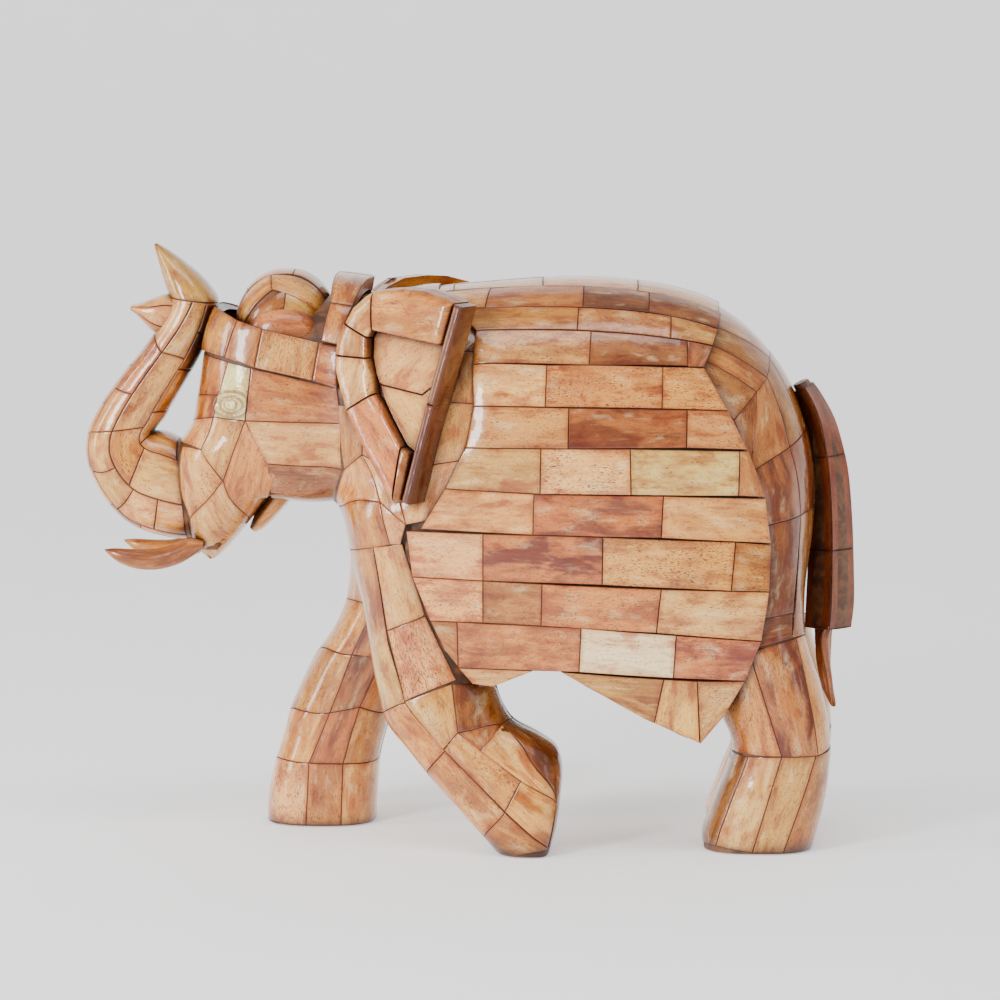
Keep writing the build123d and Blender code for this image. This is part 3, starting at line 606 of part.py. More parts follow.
def surface_tile(surf, q, thick):
    q = np.array(q, float)
    if surf == "body":
        q[:, 2] = np.maximum(q[:, 2], SOLE_CLEAR)
    p, n = project(SURFACES[surf], quad_grid(q, 5, 5, JOINT), 12)
    p[..., 2] = np.maximum(p[..., 2], SOLE_CLEAR) if surf == "body" else p[..., 2]
    b = p - n * thick
    if surf == "body":
        b[..., 2] = np.maximum(b[..., 2], SOLE_CLEAR)
    return tile_solid(p, b)


def tube_tile(tab, q, thick):
    q = np.asarray(q, float)
    t0, t1 = q[:, 0].min(), q[:, 0].max()
    lt = np.linalg.norm(tube(tab, np.array([t1]), np.array([q[:, 1].mean()])) - tube(tab, np.array([t0]), np.array([q[:, 1].mean()])))
    am = q[:, 1].mean()
    la = np.linalg.norm(tube(tab, np.array([t0]), np.array([q[:, 1].max()])) - tube(tab, np.array([t0]), np.array([q[:, 1].min()])))
    du, dv = min(0.1, JOINT / 2 / max(lt, 1)), min(0.1, JOINT / 2 / max(la, 3))
    nu, nv = 6, 5 if q[:, 1].max() - q[:, 1].min() < 1.6 else 9
    s = np.linspace(du, 1 - du, nu)[:, None, None]
    t = np.linspace(dv, 1 - dv, nv)[None, :, None]
    g = (1 - s) * (1 - t) * q[0] + s * (1 - t) * q[1] + s * t * q[2] + (1 - s) * t * q[3]
    p, n = tube_patch(tab, g[..., 0], g[..., 1])
    return tile_solid(p, p - n * thick)


def ray_out(F, o, d, rmax=90.0, step=0.5):
    """Distance from o along d to the surface F = 0, starting inside."""
    r = np.arange(0.0, rmax, step)
    P = o[None] + d[None] * r[:, None]
    f = F(P)
    i = np.where(f > 0)[0]
    if len(i) == 0:
        return rmax
    if i[0] == 0:
        return 0.05
    a, b = r[i[0] - 1], r[i[0]]
    for _ in range(16):
        m = (a + b) / 2
        if F((o + d * m)[None])[0] > 0:
            b = m
        else:
            a = m
    return a


def loop(F, o, e1, e2, n=24):
    o = np.asarray(o, float)
    pts = []
    for k in range(n):
        a = 2 * np.pi * k / n
        d = np.cos(a) * e1 + np.sin(a) * e2
        pts.append(o + d * ray_out(F, o, d))
    return np.array(pts)


def wire(pts):
    return Wire([Edge.make_spline([Vector(*map(float, p)) for p in pts], periodic=True)])


def loft_loops(loops):
    return Solid.make_loft([wire(l) for l in loops], ruled=False)


X1, Y1, Z1 = np.eye(3)


def flat_core(F, zs, start, n=24):
    """Loft of horizontal sections, each about its own centre."""
    c = np.array(start, float)
    loops = []
    for z in zs:
        c[2] = z
        for _ in range(3):
            l = loop(F, c, X1, Y1, n)
            c = l.mean(axis=0)
            c[2] = z
        loops.append(loop(F, c, X1, Y1, n))
    return loft_loops(loops)


def tube_core(tab, stations, inset, n=20):
    loops = []
    for t in stations:
        ax, az, bx, bz, w, e = [float(v[0]) for v in hermite(tab, np.array([t]))]
        L = np.hypot(bx - ax, bz - az)
        ux, uz = (bx - ax) / L, (bz - az) / L
        h, w2 = L / 2 - inset, w - inset
        cx, cz = (ax + bx) / 2, (az + bz) / 2
        pts = []
        for k in range(n):
            a = 2 * np.pi * k / n
            c, s = np.cos(a), np.sin(a)
            v = h * np.sign(c) * abs(c) ** (2 / e)
            y = w2 * np.sign(s) * abs(s) ** (2 / e)
            pts.append((cx + ux * v, y, cz + uz * v))
        loops.append(np.array(pts))
    return loft_loops(loops)


def one(s):
    """The largest solid of a shape."""
    sol = s.solids() if hasattr(s, "solids") else s
    return max(sol, key=lambda x: x.volume)


def ear_point(u, v, off, side):
    a = np.radians(EAR_ANGLE)
    p = np.array([EAR_O[0] + u * np.cos(a) - off * np.sin(a), -(EAR_O[1] + u * np.sin(a) + off * np.cos(a) - EAR_TILT * v), EAR_O[2] + v])
    if side > 0:
        p[1] *= -1
    return p


def ear_prism(poly, lo, hi, side, shrink=0.15):
    P = np.array(poly, float)
    c = P.mean(axis=0)
    if shrink:
        d = P - c
        P = c + d * (1 - shrink / np.maximum(np.linalg.norm(d, axis=1, keepdims=True), 1.0))
    base = [Vector(*ear_point(u, v, lo, side)) for u, v in P]
    up = ear_point(0, 0, hi, side) - ear_point(0, 0, lo, side)
    return Solid.extrude(Face(Wire.make_polygon(base)), Vector(*up))


NODES = {}


def put(name, *shapes):
    NODES.setdefault(name, []).extend(shapes)


# cores -------------------------------------------------------------------------
IN_ = TILE + GLUE


def spine_core():
    xs = [-52, -48, -44, -40, -34, -27, -20, -8, 8, 26, 44, 60, 72, 82, 90, 96, 99.5, 101.3]
    zc = [129, 129, 129, 127, 122, 116, 112, 110, 109, 109, 108, 106, 104, 103, 102.5, 102.5, 102.5, 102.5]
    F = lambda p: f_spine(p) + IN_
    return loft_loops([loop(F, (x, 0, z), Y1, Z1, 28) for x, z in zip(xs, zc)])


torso_core = spine_core()
head_core = flat_core(lambda p: smin(smax(smax(leg(p, HEAD, 1), p[..., 2] - 166.5, 7.0), 103.0 - p[..., 2], 4.0),
                                     smax(smax(leg(p, JAW, 1), p[..., 2] - 118.0, 6.0), 84.5 - p[..., 2], 1.5), 3.0) + IN_,
                      [87.5, 91, 95, 99.5, 103.5, 108, 113, 120, 128, 136, 144, 151, 157, 161.5], (-77.0, 0, 87.0))
head_core = one(head_core - torso_core)
# flat slope under the forehead dome, from the front of the headband down to its rear
slope = Box(120, 100, 40, align=(Align.CENTER, Align.CENTER, Align.MIN)).rotate(Axis.Y, 19.3).moved(Location((-60.0, 0, 149.3)))
head_core = one(head_core - slope)
put("torso_core", torso_core)
put("head_core", head_core)

rear_zs = [0, 4, 12, 20, 27, 33, 40, 48, 56, 64, 72]
rear_core = flat_core(lambda p: leg(p, REAR_LEG, -1) + IN_, rear_zs, (86.0, -22.0, 0.0))
put("leg_core_rear_left", one(rear_core - torso_core))
put("leg_core_rear_right", one(rear_core.mirror(Plane.XZ).moved(Location((RIGHT_REAR_SHIFT, 0, 0))) - torso_core))
front_r = flat_core(lambda p: leg(p, FRONT_LEG_R, 1) + IN_, [0, 5, 12, 20, 27, 34, 43, 52, 60, 68, 78, 88, 96], (-46.0, 22.0, 0.0))
put("leg_core_front_right", one(front_r - torso_core))
front_l = flat_core(lambda p: f_front_left(p) + IN_, [0, 2.5, 6, 11, 17, 23, 30, 38, 46, 55, 66, 78, 90, 98], (16.0, -33.0, 0.0))
put("leg_core_front_left", one(front_l - torso_core))

trunk_core = tube_core(TRUNK, [1, 3, 5, 7, 9, 11, 13, 15, 16.9], IN_)
put("trunk_core", one(trunk_core - head_core))
dome_core = flat_core(lambda p: f_dome(p) + IN_, [139, 143, 147, 151.5, 155, 159, 162.5, 165, 166.8], (-54.6, 0, 139))
put("forehead_dome_core", one(one(dome_core - head_core) - torso_core))

# saddle cloth backing: a curved board under the cloth's tiles ----------------------
# edges of the cloth seen from the side, top to bottom (x, z), and its lower edge
CLOTH_FRONT = [
    (-17.2, 164.1), (-9.0, 163.3), (-2.4, 160.1), (3.7, 154.6), (2.6, 148.2), (2.6, 144.4), (2.9, 132.7),
    (2.0, 126.9), (0.5, 120.1), (-0.4, 116.3), (-5.3, 108.1), (-12.9, 96.3), (-16.7, 95.7), (-18.5, 91.6),
    (-15.0, 82.8), (-12.4, 75.4), (-9.8, 68.9), (-5.4, 60.7), (-1.0, 54.8), (4.6, 48.9)]
CLOTH_REAR = [
    (75.2, 160.6), (74.0, 156.2), (72.9, 151.3), (71.2, 148.9), (70.0, 146.0), (70.6, 143.1), (72.4, 138.7),
    (76.2, 133.8), (79.7, 127.1), (82.9, 119.8), (85.6, 114.0), (87.9, 106.7), (89.1, 100.8), (89.8, 92.0),
    (89.5, 81.7), (89.0, 72.9), (87.6, 65.6), (85.3, 58.2), (82.4, 52.3), (79.5, 46.3), (75.7, 41.0),
    (71.1, 35.1), (69.3, 33.3)]
CLOTH_LOWER = [
    (4.6, 48.9), (8.4, 50.1), (16.6, 53.1), (23.9, 55.8), (28.3, 53.8), (40.0, 47.0), (51.7, 41.2), (63.5, 34.7),
    (67.0, 33.3), (69.3, 33.3)]


def cloth_point(x, v):
    """v from 0 (ridge) to 90 (widest height), then on down the hanging part."""
    if v <= 90:
        a = np.radians(v)
        o, d = np.array([x, 0, CLOTH_ZC]), np.array([0, -np.sin(a), np.cos(a)])
    else:
        o, d = np.array([x, 0, CLOTH_ZC - (v - 90)]), np.array([0, -1.0, 0])
    return o + d * ray_out(f_cloth, o, d, 90.0, 1.0)


def cloth_v(x, z):
    if z <= CLOTH_ZC:
        return 90.0 + CLOTH_ZC - z
    y = ray_out(f_cloth, np.array([x, 0, z]), np.array([0, -1.0, 0]), 90.0, 0.5)
    return float(np.degrees(np.arctan2(y, z - CLOTH_ZC)))


def along(pts, k):
    """k evenly spaced points on a polyline in (x, v)."""
    pts = np.array(pts, float)
    L = np.r_[0, np.cumsum(np.hypot(*np.diff(pts, axis=0).T))]
    t = np.linspace(0, L[-1], k)
    return np.c_[np.interp(t, L, pts[:, 0]), np.interp(t, L, pts[:, 1])]


def cloth_backing(nu=16, nv=22):
    F = along([(CLOTH_FRONT[0][0], 0.4)] + [(x, cloth_v(x, z)) for x, z in CLOTH_FRONT], nv)
    R = along([(CLOTH_REAR[0][0], 0.4)] + [(x, cloth_v(x, z)) for x, z in CLOTH_REAR], nv)
    Bt = along([(x, cloth_v(x, z)) for x, z in CLOTH_LOWER], nu)
    F[:, 0] += 0.6
    R[:, 0] -= 0.6
    Bt[:, 1] -= 0.6
    F[-1], R[-1] = Bt[0], Bt[-1]
    Tp = np.c_[np.linspace(F[0, 0], R[0, 0], nu), np.full(nu, 0.4)]
    s, t = np.linspace(0, 1, nu)[:, None, None], np.linspace(0, 1, nv)[None, :, None]
    G = ((1 - s) * F[None] + s * R[None] + (1 - t) * Tp[:, None] + t * Bt[:, None]
         - (1 - s) * (1 - t) * F[0] - s * (1 - t) * R[0] - (1 - s) * t * F[-1] - s * t * R[-1])
    P = np.array([[cloth_point(x, v) for x, v in row] for row in G])
    g = grad(f_cloth, P)
    n = g / np.linalg.norm(g, axis=-1, keepdims=True)
    top, bot = P - n * IN_, P - n * (IN_ + BACKING)
    top[:, 0, 1], bot[:, 0, 1] = -0.3, -0.3
    return tile_solid(top, bot, 0.15)


backing = cloth_backing()
put("saddle_cloth_backing_left", backing)
put("saddle_cloth_backing_right", backing.mirror(Plane.XZ))

# tile skins ---------------------------------------------------------------------
SPLIT = {"cloth_tiles": "saddle_cloth_tiles", "rump_tiles": "rump_tiles", "rear_leg_tiles": "rear_leg_tiles",
         "rear_leg_tiles_in": "rear_leg_tiles", "shoulder_tiles": "shoulder_tiles", "head_tiles": "head_tiles",
         "trunk_side_tiles": "trunk_side_tiles"}
WHOLE = {"rump_tiles_c": "rump_centre_tiles", "front_leg_left_tiles": "front_leg_tiles_left",
         "front_leg_left_tiles_in": "front_leg_tiles_left", "front_leg_right_tiles": "front_leg_tiles_right",
         "front_leg_right_tiles_in": "front_leg_tiles_right", "headband_tiles": "headband_tiles",
         "neck_ring_tiles": "neck_ring_tiles", "forehead_dome_tiles": "forehead_dome_tiles", "belly_tiles": "belly_tiles",
         "chest_tiles": "chest_tiles", "trunk_front_tiles": "trunk_front_tiles", "trunk_rear_tiles": "trunk_rear_tiles",
         "trunk_lower_lip": "trunk_lower_lip_tiles", "tail_tiles": "tail_tiles"}


def place(node, s, mir):
    pair = [(s, "left")]
    if mir:
        r = s.mirror(Plane.XZ)
        if node.startswith("rear_leg"):
            r = r.moved(Location((RIGHT_REAR_SHIFT, 0, 0)))
        pair.append((r, "right"))
    for sh, side in pair:
        put(SPLIT[node] + "_" + side if node in SPLIT else WHOLE[node], sh)


for node, surf, mir, q in TILES:
    thick = {"band": BAND_TILE, "ring": RING_TILE}.get(surf, TILE)
    s = surface_tile(surf, q, thick)
    if surf == "ring":
        s = one(one(s - torso_core) - head_core)
    place(node, s, mir)
for node, tab, mir, q in TUBE_TILES:
    if node == "trunk_upper_lip":
        continue
    place(node, tube_tile(TABLES[tab], q, {"LIP": LIP_TILE, "TAIL": TAIL_TILE}.get(tab, TILE)), mir)

put("trunk_upper_lip", tube_core(TRUNK, [17.05, 17.6, 18.3, 19, 20, 21, 21.9], 0.0))
put("trunk_lower_lip_core", one(tube_core(LIP, [0.3, 1, 2, 3, 4, 5, 5.7], LIP_TILE + GLUE) - trunk_core))
put("lower_jaw", one(tube_core(JAW_LIP, [0, 0.5, 1, 2, 3, 4], 0.0) - head_core))

# tail, tuft, tusks ----------------------------------------------------------------
put("tail_core", one(tube_core(TAIL, [0.3, 1, 2, 3, 4, 5, 6, 7, 8], TAIL_TILE + GLUE, 16) - torso_core))
put("tail_tuft", tube_core(TUFT, [0.05, 1, 2, 3, 4, 5], 0.0))
tusk = tube_core(TUSK, [0, 1, 2, 3, 4, 5, 6, 7], 0.0).moved(Location((0, -13.0, 0)))
put("tusk_left", one(tusk - head_core))
put("tusk_right", one(tusk.mirror(Plane.XZ).moved(Location((3.0, 0, 0))) - head_core))

# side bosses of the forehead dome ----------------------------------------------------
boss = scale(Sphere(1.0), by=(10.6, 5.0, 7.6)).moved(Location((-54.3, -17.0, 151.5)))
boss = one(one(boss - dome_core) - head_core)
for s in NODES["forehead_dome_tiles"]:
    if (s.center() - boss.center()).length < 20 and s.center().Y < 0:
        boss = one(boss - s)
put("dome_boss_left", boss)
put("dome_boss_right", boss.mirror(Plane.XZ))

# ears -----------------------------------------------------------------------------
for side, nm in ((-1, "left"), (1, "right")):
    plate = ear_prism(EAR_OUTLINE, -EAR_DEPTH, -EAR_FRAME - GLUE, side, 0.3)
    put("ear_core_" + nm, one(one(plate - torso_core) - head_core))
    put("ear_frame_" + nm, *[one(ear_prism(p, -EAR_FRAME, 0.0, side) - torso_core) for p in EAR_FRAME_TILES])
    put("ear_panel_" + nm, *[one(ear_prism(p, -EAR_FRAME, -EAR_FRAME + EAR_PANEL, side) - torso_core) for p in EAR_PANEL_TILES])
    bar = []
    for (u0, v0), (u1, v1) in zip(EAR_BAR_LINE[:-1], EAR_BAR_LINE[1:]):
        du, dv = u1 - u0, v1 - v0
        L = (du * du + dv * dv) ** 0.5
        nu, nv = -dv / L, du / L
        g = 0.15
        a, b = (u0 + du / L * g, v0 + dv / L * g), (u1 - du / L * g, v1 - dv / L * g)
        bar.append(ear_prism([(a[0] + nu * 0.2, a[1] + nv * 0.2), (a[0] + nu * EAR_BAR, a[1] + nv * EAR_BAR),
                              (b[0] + nu * EAR_BAR, b[1] + nv * EAR_BAR), (b[0] + nu * 0.2, b[1] + nv * 0.2)],
                             -EAR_DEPTH, -0.6, side, 0))
    put("ear_edge_bar_" + nm, *[one(b - torso_core) for b in bar])

for name, shapes in NODES.items():
    export_step(shapes[0] if len(shapes) == 1 else Compound(children=shapes), "parts/%s.step" % name)
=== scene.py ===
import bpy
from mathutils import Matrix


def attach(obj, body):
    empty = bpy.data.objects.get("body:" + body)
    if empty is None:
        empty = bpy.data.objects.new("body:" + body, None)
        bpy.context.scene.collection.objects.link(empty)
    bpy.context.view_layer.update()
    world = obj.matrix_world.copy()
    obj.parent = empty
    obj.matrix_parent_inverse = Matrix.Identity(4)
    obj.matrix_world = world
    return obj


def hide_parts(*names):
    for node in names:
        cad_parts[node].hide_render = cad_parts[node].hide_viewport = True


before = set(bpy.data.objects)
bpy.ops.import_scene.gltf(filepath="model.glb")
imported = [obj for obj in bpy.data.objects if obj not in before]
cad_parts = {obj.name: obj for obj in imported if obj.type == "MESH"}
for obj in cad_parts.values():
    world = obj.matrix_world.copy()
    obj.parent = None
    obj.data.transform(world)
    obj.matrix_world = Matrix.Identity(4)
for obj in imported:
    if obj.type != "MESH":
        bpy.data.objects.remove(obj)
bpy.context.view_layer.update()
import math
import bpy
import numpy as np
from mathutils import Vector
from mathutils.geometry import delaunay_2d_cdt

MM = 0.001
# millimetres, as in the CAD part
JOINT = 0.14
SOLE_CLEAR = 0.2
EAR_ANGLE, EAR_DEPTH, EAR_FRAME, EAR_PANEL, EAR_BAR = 28.0, 10.0, 5.0, 1.5, 2.8
EAR_TILT = 0.17
EAR_O = (-38.8, 29.5, 146.2)
RIGHT_REAR_SHIFT = 1.5
EYE = (-69.08, -24.86, 131.10)
X1, Y1, Z1 = np.eye(3)
WORLD = 0.57
FLOOR_GLOW = 0.55
# name, place, target, size, power
LIGHTS = [
    ("key", (-.80, -1.15, .55), (0, 0, .09), (.28, .55), 18.0),
    ("top", (.1, -.55, 1.3), (0, 0, .1), (.9, .4), 6.0),
    ("side", (1.3, -.9, .5), (0, 0, .09), (.35, .8), 1.6),
    ("front", (-1.3, -.40, .45), (0, 0, .09), (.22, .8), 9.0),
]



def hermite(tab, x):
    """Smooth interpolation of a table: first column is the station."""
    tab = np.asarray(tab, float)
    xs, ys = tab[:, 0], tab[:, 1:]
    dx = np.diff(xs)
    d = np.diff(ys, axis=0) / dx[:, None]
    m = np.vstack([d[:1], (d[:-1] * dx[1:, None] + d[1:] * dx[:-1, None]) / (dx[:-1] + dx[1:])[:, None], d[-1:]])
    x = np.clip(x, xs[0], xs[-1])
    i = np.clip(np.searchsorted(xs, x, side="right") - 1, 0, len(xs) - 2)
    h = dx[i]
    s = (x - xs[i]) / h
    s2, s3 = s * s, s * s * s
    out = ((2 * s3 - 3 * s2 + 1)[..., None] * ys[i] + ((s3 - 2 * s2 + s) * h)[..., None] * m[i]
           + (3 * s2 - 2 * s3)[..., None] * ys[i + 1] + ((s3 - s2) * h)[..., None] * m[i + 1])
    return [out[..., k] for k in range(ys.shape[1])]


def radial(dx, dy, a, b, n):
    """Distance to a superellipse, measured along the ray from its centre."""
    q = np.hypot(dx, dy) + 1e-9
    rho = ((np.abs(dx) / a) ** n + (np.abs(dy) / b) ** n) ** (1.0 / n) + 1e-12
    return np.maximum(q * (1.0 - 1.0 / rho), -np.minimum(a, b))


def radial3(p, c, a, n=2.0, m=2.0):
    """Distance to a superellipsoid, measured along the ray from its centre."""
    d = np.abs(p - np.asarray(c, float)) / np.asarray(a, float)
    q = np.linalg.norm(p - np.asarray(c, float), axis=-1) + 1e-9
    yz = (d[..., 1] ** n + d[..., 2] ** n) ** (m / n)
    rho = (d[..., 0] ** m + yz) ** (1.0 / m) + 1e-12
    return np.maximum(q * (1.0 - 1.0 / rho), -min(a))


def smin(a, b, k):
    h = np.clip(k - np.abs(a - b), 0.0, None) / k
    return np.minimum(a, b) - h * h * k * 0.25


def smax(a, b, k):
    return -smin(-a, -b, k)


# centre, semi-axes, exponent across, exponent along
TORSO = [((27.0, 0, 109.5), (62.0, 40.0, 54.5), 2.6, 3.0),
         ((54.5, 0, 102.5), (49.4, 38.0, 60.8), 2.4, 2.05),
         ((-4.0, 0, 110.0), (31.0, 38.5, 53.0), 2.6, 2.4)]
# height, front x, rear x, centre y, half width, exponent
REAR_LEG = [(0.0, 70.2, 102.8, 22, 15.8, 2.6), (3.9, 70.1, 103.9, 22, 15.8, 2.6), (12.3, 72.8, 106.0, 22, 15.6, 2.6),
            (18.3, 75.1, 107.1, 22, 15.4, 2.6), (24.3, 77.5, 107.8, 21.6, 15.4, 2.6), (29.4, 78.9, 108.2, 21.4, 15.6, 2.5),
            (33.3, 78.3, 107.9, 21.2, 15.8, 2.5), (37.8, 76.2, 107.6, 21, 16, 2.5), (43.8, 73.2, 106.3, 20.7, 16.2, 2.5),
            (49.7, 70.5, 104.8, 20.3, 16.5, 2.5), (58.7, 67.0, 101.8, 20, 17, 2.5), (64.0, 65.2, 100.6, 19.7, 17, 2.4),
            (73.6, 62.2, 99.8, 19.5, 17, 2.4), (85.5, 59.8, 99.0, 19, 17, 2.4), (97.3, 58.5, 98.0, 18, 17, 2.3),
            (109.2, 58.5, 96.0, 17, 17, 2.3)]
FRONT_LEG_R = [(0.0, -62.8, -29.4, 23, 16.3, 2.6), (5.4, -62.5, -29.3, 23, 16.3, 2.6), (14.7, -61.2, -28.6, 23, 16, 2.6), (22.5, -59.0, -27.7, 23, 16, 2.6), (27.1, -57.5, -26.4, 23, 16, 2.5), (33.3, -55.9, -24.9, 22.5, 16.2, 2.5), (42.6, -51.9, -21.5, 22, 16.5, 2.5), (51.9, -47.2, -17.5, 21.5, 17, 2.5), (59.6, -42.0, -13.5, 21, 17, 2.5), (67.3, -38.6, -9.8, 20.5, 17, 2.5), (76.6, -37.0, -6.2, 20, 17, 2.5), (85.8, -36.1, -3.1, 19.5, 17, 2.4), (98.1, -35.4, -0.6, 19, 17, 2.4)]
FRONT_LEG_L = [(30.0, -20.0, 15.0, 24, 15, 2.6), (40.0, -24.2, 10.2, 24, 15, 2.6), (46.6, -26.0, 8.7, 23.5, 15.5, 2.6),
               (55.5, -27.8, 7.5, 22.8, 16.2, 2.6), (67.4, -29.5, 5.4, 22, 16.8, 2.6), (79.4, -31.3, 3.7, 21, 17, 2.6),
               (89.8, -33.0, 1.9, 20, 17.5, 2.5), (103.1, -34.7, -1.0, 20, 17.5, 2.5)]
# lower part of the raised left front leg: along its axis, front, rear, y, half width, exponent
SHIN_O, SHIN_D = (-8.1, 43.3), (0.5546, -0.8321)
SHIN = [(-8.0, -14.6, 14.0, -24, 15, 2.6), (0.0, -15.6, 14.6, -24.8, 15, 2.6), (8.0, -15.0, 14.6, -25.8, 15, 2.7),
        (16.0, -14.2, 15.6, -27, 14.8, 2.8), (24.0, -12.9, 20.0, -28.4, 14.5, 2.9), (30.0, -11.9, 22.3, -29.5, 14.2, 3.0),
        (36.0, -10.9, 20.4, -30.7, 14, 3.0), (42.0, -9.9, 15.8, -31.8, 13.6, 3.0), (48.0, -9.0, 10.8, -32.6, 13.2, 3.0),
        (53.0, -8.2, 5.5, -33, 12.8, 3.0), (58.0, -7.4, -1.0, -33, 12.4, 3.0)]
HEAD = [(88.0, -88.0, -50.0, 0, 21.0, 2.8), (103.6, -87.1, -41.6, 0, 22, 2.8), (111.1, -87.1, -35.6, 0, 24, 2.8), (118.6, -85.9, -35.6, 0, 25.5, 2.8), (124.6, -82.6, -35.6, 0, 26, 2.8), (130.6, -81.4, -35.6, 0, 26, 2.8), (139.6, -79.9, -35.6, 0, 25.5, 2.8), (147.2, -78.7, -35.7, 0, 24.5, 2.8), (154.7, -76.9, -36.3, 0, 23, 2.8), (159.2, -74.9, -37.2, 0, 21, 2.8), (163.2, -71.0, -39.3, 0, 18, 2.6), (165.6, -66.8, -42.3, 0, 14, 2.4)]
JAW = [(82.8, -78.5, -76.0, 0, 6, 2.0), (85.5, -80.9, -73.1, 0, 10.5, 2.2), (89.1, -83.3, -69.8, 0, 13.5, 2.4), (94.2, -85.1, -65.6, 0, 16.5, 2.5), (97.5, -86.0, -62.9, 0, 18.5, 2.6), (101.5, -86.9, -59.6, 0, 20.5, 2.8), (106.6, -87.2, -56.0, 0, 22.5, 2.8), (111.1, -87.1, -54.2, 0, 24, 2.8), (121.6, -85.3, -50.6, 0, 25, 2.8)]
# along the neck: x, underside z, top z, half width, exponent
NECK = [(-62.0, 103.5, 150.0, 0, 23.0, 2.5), (-50.0, 101.0, 160.0, 0, 25.0, 2.5), (-38.0, 100.0, 163.0, 0, 27.5, 2.5), (-26.0, 92.0, 163.0, 0, 31.0, 2.5), (-10.0, 80.0, 164.0, 0, 34.0, 2.5)]


def leg(p, tab, side):
    xf, xb, yc, w, n = hermite(tab, p[..., 2])
    return radial(p[..., 0] - (xf + xb) / 2, p[..., 1] - side * yc, (xb - xf) / 2, w, n)


def f_rear_leg(p, side):
    z = p[..., 2]
    return smax(leg(p, REAR_LEG, side), z - 112.0, 8.0)


def f_front_right(p):
    return smax(leg(p, FRONT_LEG_R, 1), p[..., 2] - 100.0, 8.0)


def shin_uv(p):
    dx, dz = SHIN_D
    u = (p[..., 0] - SHIN_O[0]) * dx + (p[..., 2] - SHIN_O[1]) * dz
    v = (p[..., 0] - SHIN_O[0]) * (-dz) + (p[..., 2] - SHIN_O[1]) * dx
    return u, v


def f_shin(p):
    u, v = shin_uv(p)
    va, vb, yc, w, n = hermite(SHIN, u)
    f = radial(v - (va + vb) / 2, p[..., 1] - yc, (vb - va) / 2, w, n)
    f = smax(f, u - 57.0, 1.5)
    f = smax(f, -6.0 - u, 6.0)
    return f


def f_front_left(p):
    z = p[..., 2]
    up = smax(leg(p, FRONT_LEG_L, -1), z - 104.0, 8.0)
    up = smax(up, 36.0 - z, 8.0)
    return smin(up, f_shin(p), 5.0)


def f_neck(p):
    zb, zt, yc, w, n = hermite(NECK, p[..., 0])
    f = radial(p[..., 2] - (zb + zt) / 2, p[..., 1], (zt - zb) / 2, w, n)
    return smax(smax(f, -60.0 - p[..., 0], 6.0), p[..., 0] + 8.0, 6.0)


def f_torso(p):
    f = None
    for c, a, n, m in TORSO:
        g = radial3(p, c, a, n, m)
        f = g if f is None else smin(f, g, 7.0)
    return f


def f_body(p):
    f = smin(f_torso(p), f_neck(p), 8.0)
    for s in (-1, 1):
        f = smin(f, f_rear_leg(p, s), 9.0)
    f = smin(f, f_front_right(p), 8.0)
    f = smin(f, f_front_left(p), 8.0)
    return smax(f, -p[..., 2], 1.2)


def f_head(p):
    h = smax(smax(leg(p, HEAD, 1), p[..., 2] - 166.5, 7.0), 90.0 - p[..., 2], 6.0)
    j = smax(smax(leg(p, JAW, 1), 82.8 - p[..., 2], 1.5), p[..., 2] - 120.0, 6.0)
    # the cranium's rear ends inside the neck; its underside is lifted to meet it
    under = 103.0 - p[..., 2] - 0.0 * p[..., 0]
    h = smax(h, under, 4.0)
    return smin(smin(h, j, 3.0), f_neck(p), 6.0)


# saddle cloth --------------------------------------------------------------
CLOTH_ZC = 105.0
CLOTH_N = 2.7
# x, half width above, top z, half width of the hanging part
CLOTH = [(-30.0, 37.5, 161.6, 39.5), (-20.7, 40.0, 163.4, 41.0), (-8.7, 41.6, 164.8, 42.0),
         (0.3, 42.4, 165.8, 42.6), (9.3, 42.9, 166.6, 43.0), (21.3, 43.2, 167.5, 43.2),
         (34.2, 43.0, 167.8, 43.0), (51.3, 42.0, 166.6, 42.4), (63.3, 40.3, 164.3, 41.4),
         (69.3, 39.2, 162.4, 40.8), (75.9, 37.6, 159.5, 40.0), (84.0, 35.2, 155.1, 38.8),
         (95.0, 31.0, 147.1, 36.0)]


def f_cloth(p):
    w, zt, wl = hermite(CLOTH, p[..., 0])
    dz = p[..., 2] - CLOTH_ZC
    y = np.abs(p[..., 1])
    up = radial(np.maximum(dz, 0.0), y, zt - CLOTH_ZC, w, CLOTH_N)
    k = np.clip(-dz / 35.0, 0.0, 1.0)
    k = k * k * (3 - 2 * k)
    low = y - (w + (wl - w) * k - 2.0 * (np.minimum(dz, 0.0) / 78.0) ** 2)
    return np.where(dz > 0, up, low)


# forehead dome and its side bosses; neck ring; headband stands proud --------
def f_dome(p):
    return radial3(p, (-54.6, 0, 148.0), (15.8, 19.5, 22.0), 2.6, 2.3)


def f_boss(p, side):
    return radial3(p, (-54.3, side * 17.0, 151.5), (10.6, 5.0, 7.6), 2.2, 2.2)


RING = [(-50.0, 100.0, 167.5, 0, 27.0, 2.8), (-42.0, 100.0, 169.0, 0, 28.0, 2.8), (-30.0, 99.0, 168.0, 0, 30.0, 2.8), (-20.0, 97.0, 166.0, 0, 31.0, 2.8)]


def f_ring(p):
    zb, zt, yc, w, n = hermite(RING, p[..., 0])
    return radial(p[..., 2] - (zb + zt) / 2, p[..., 1], (zt - zb) / 2, w, n)


def f_band(p):
    return f_head(p) - 1.2


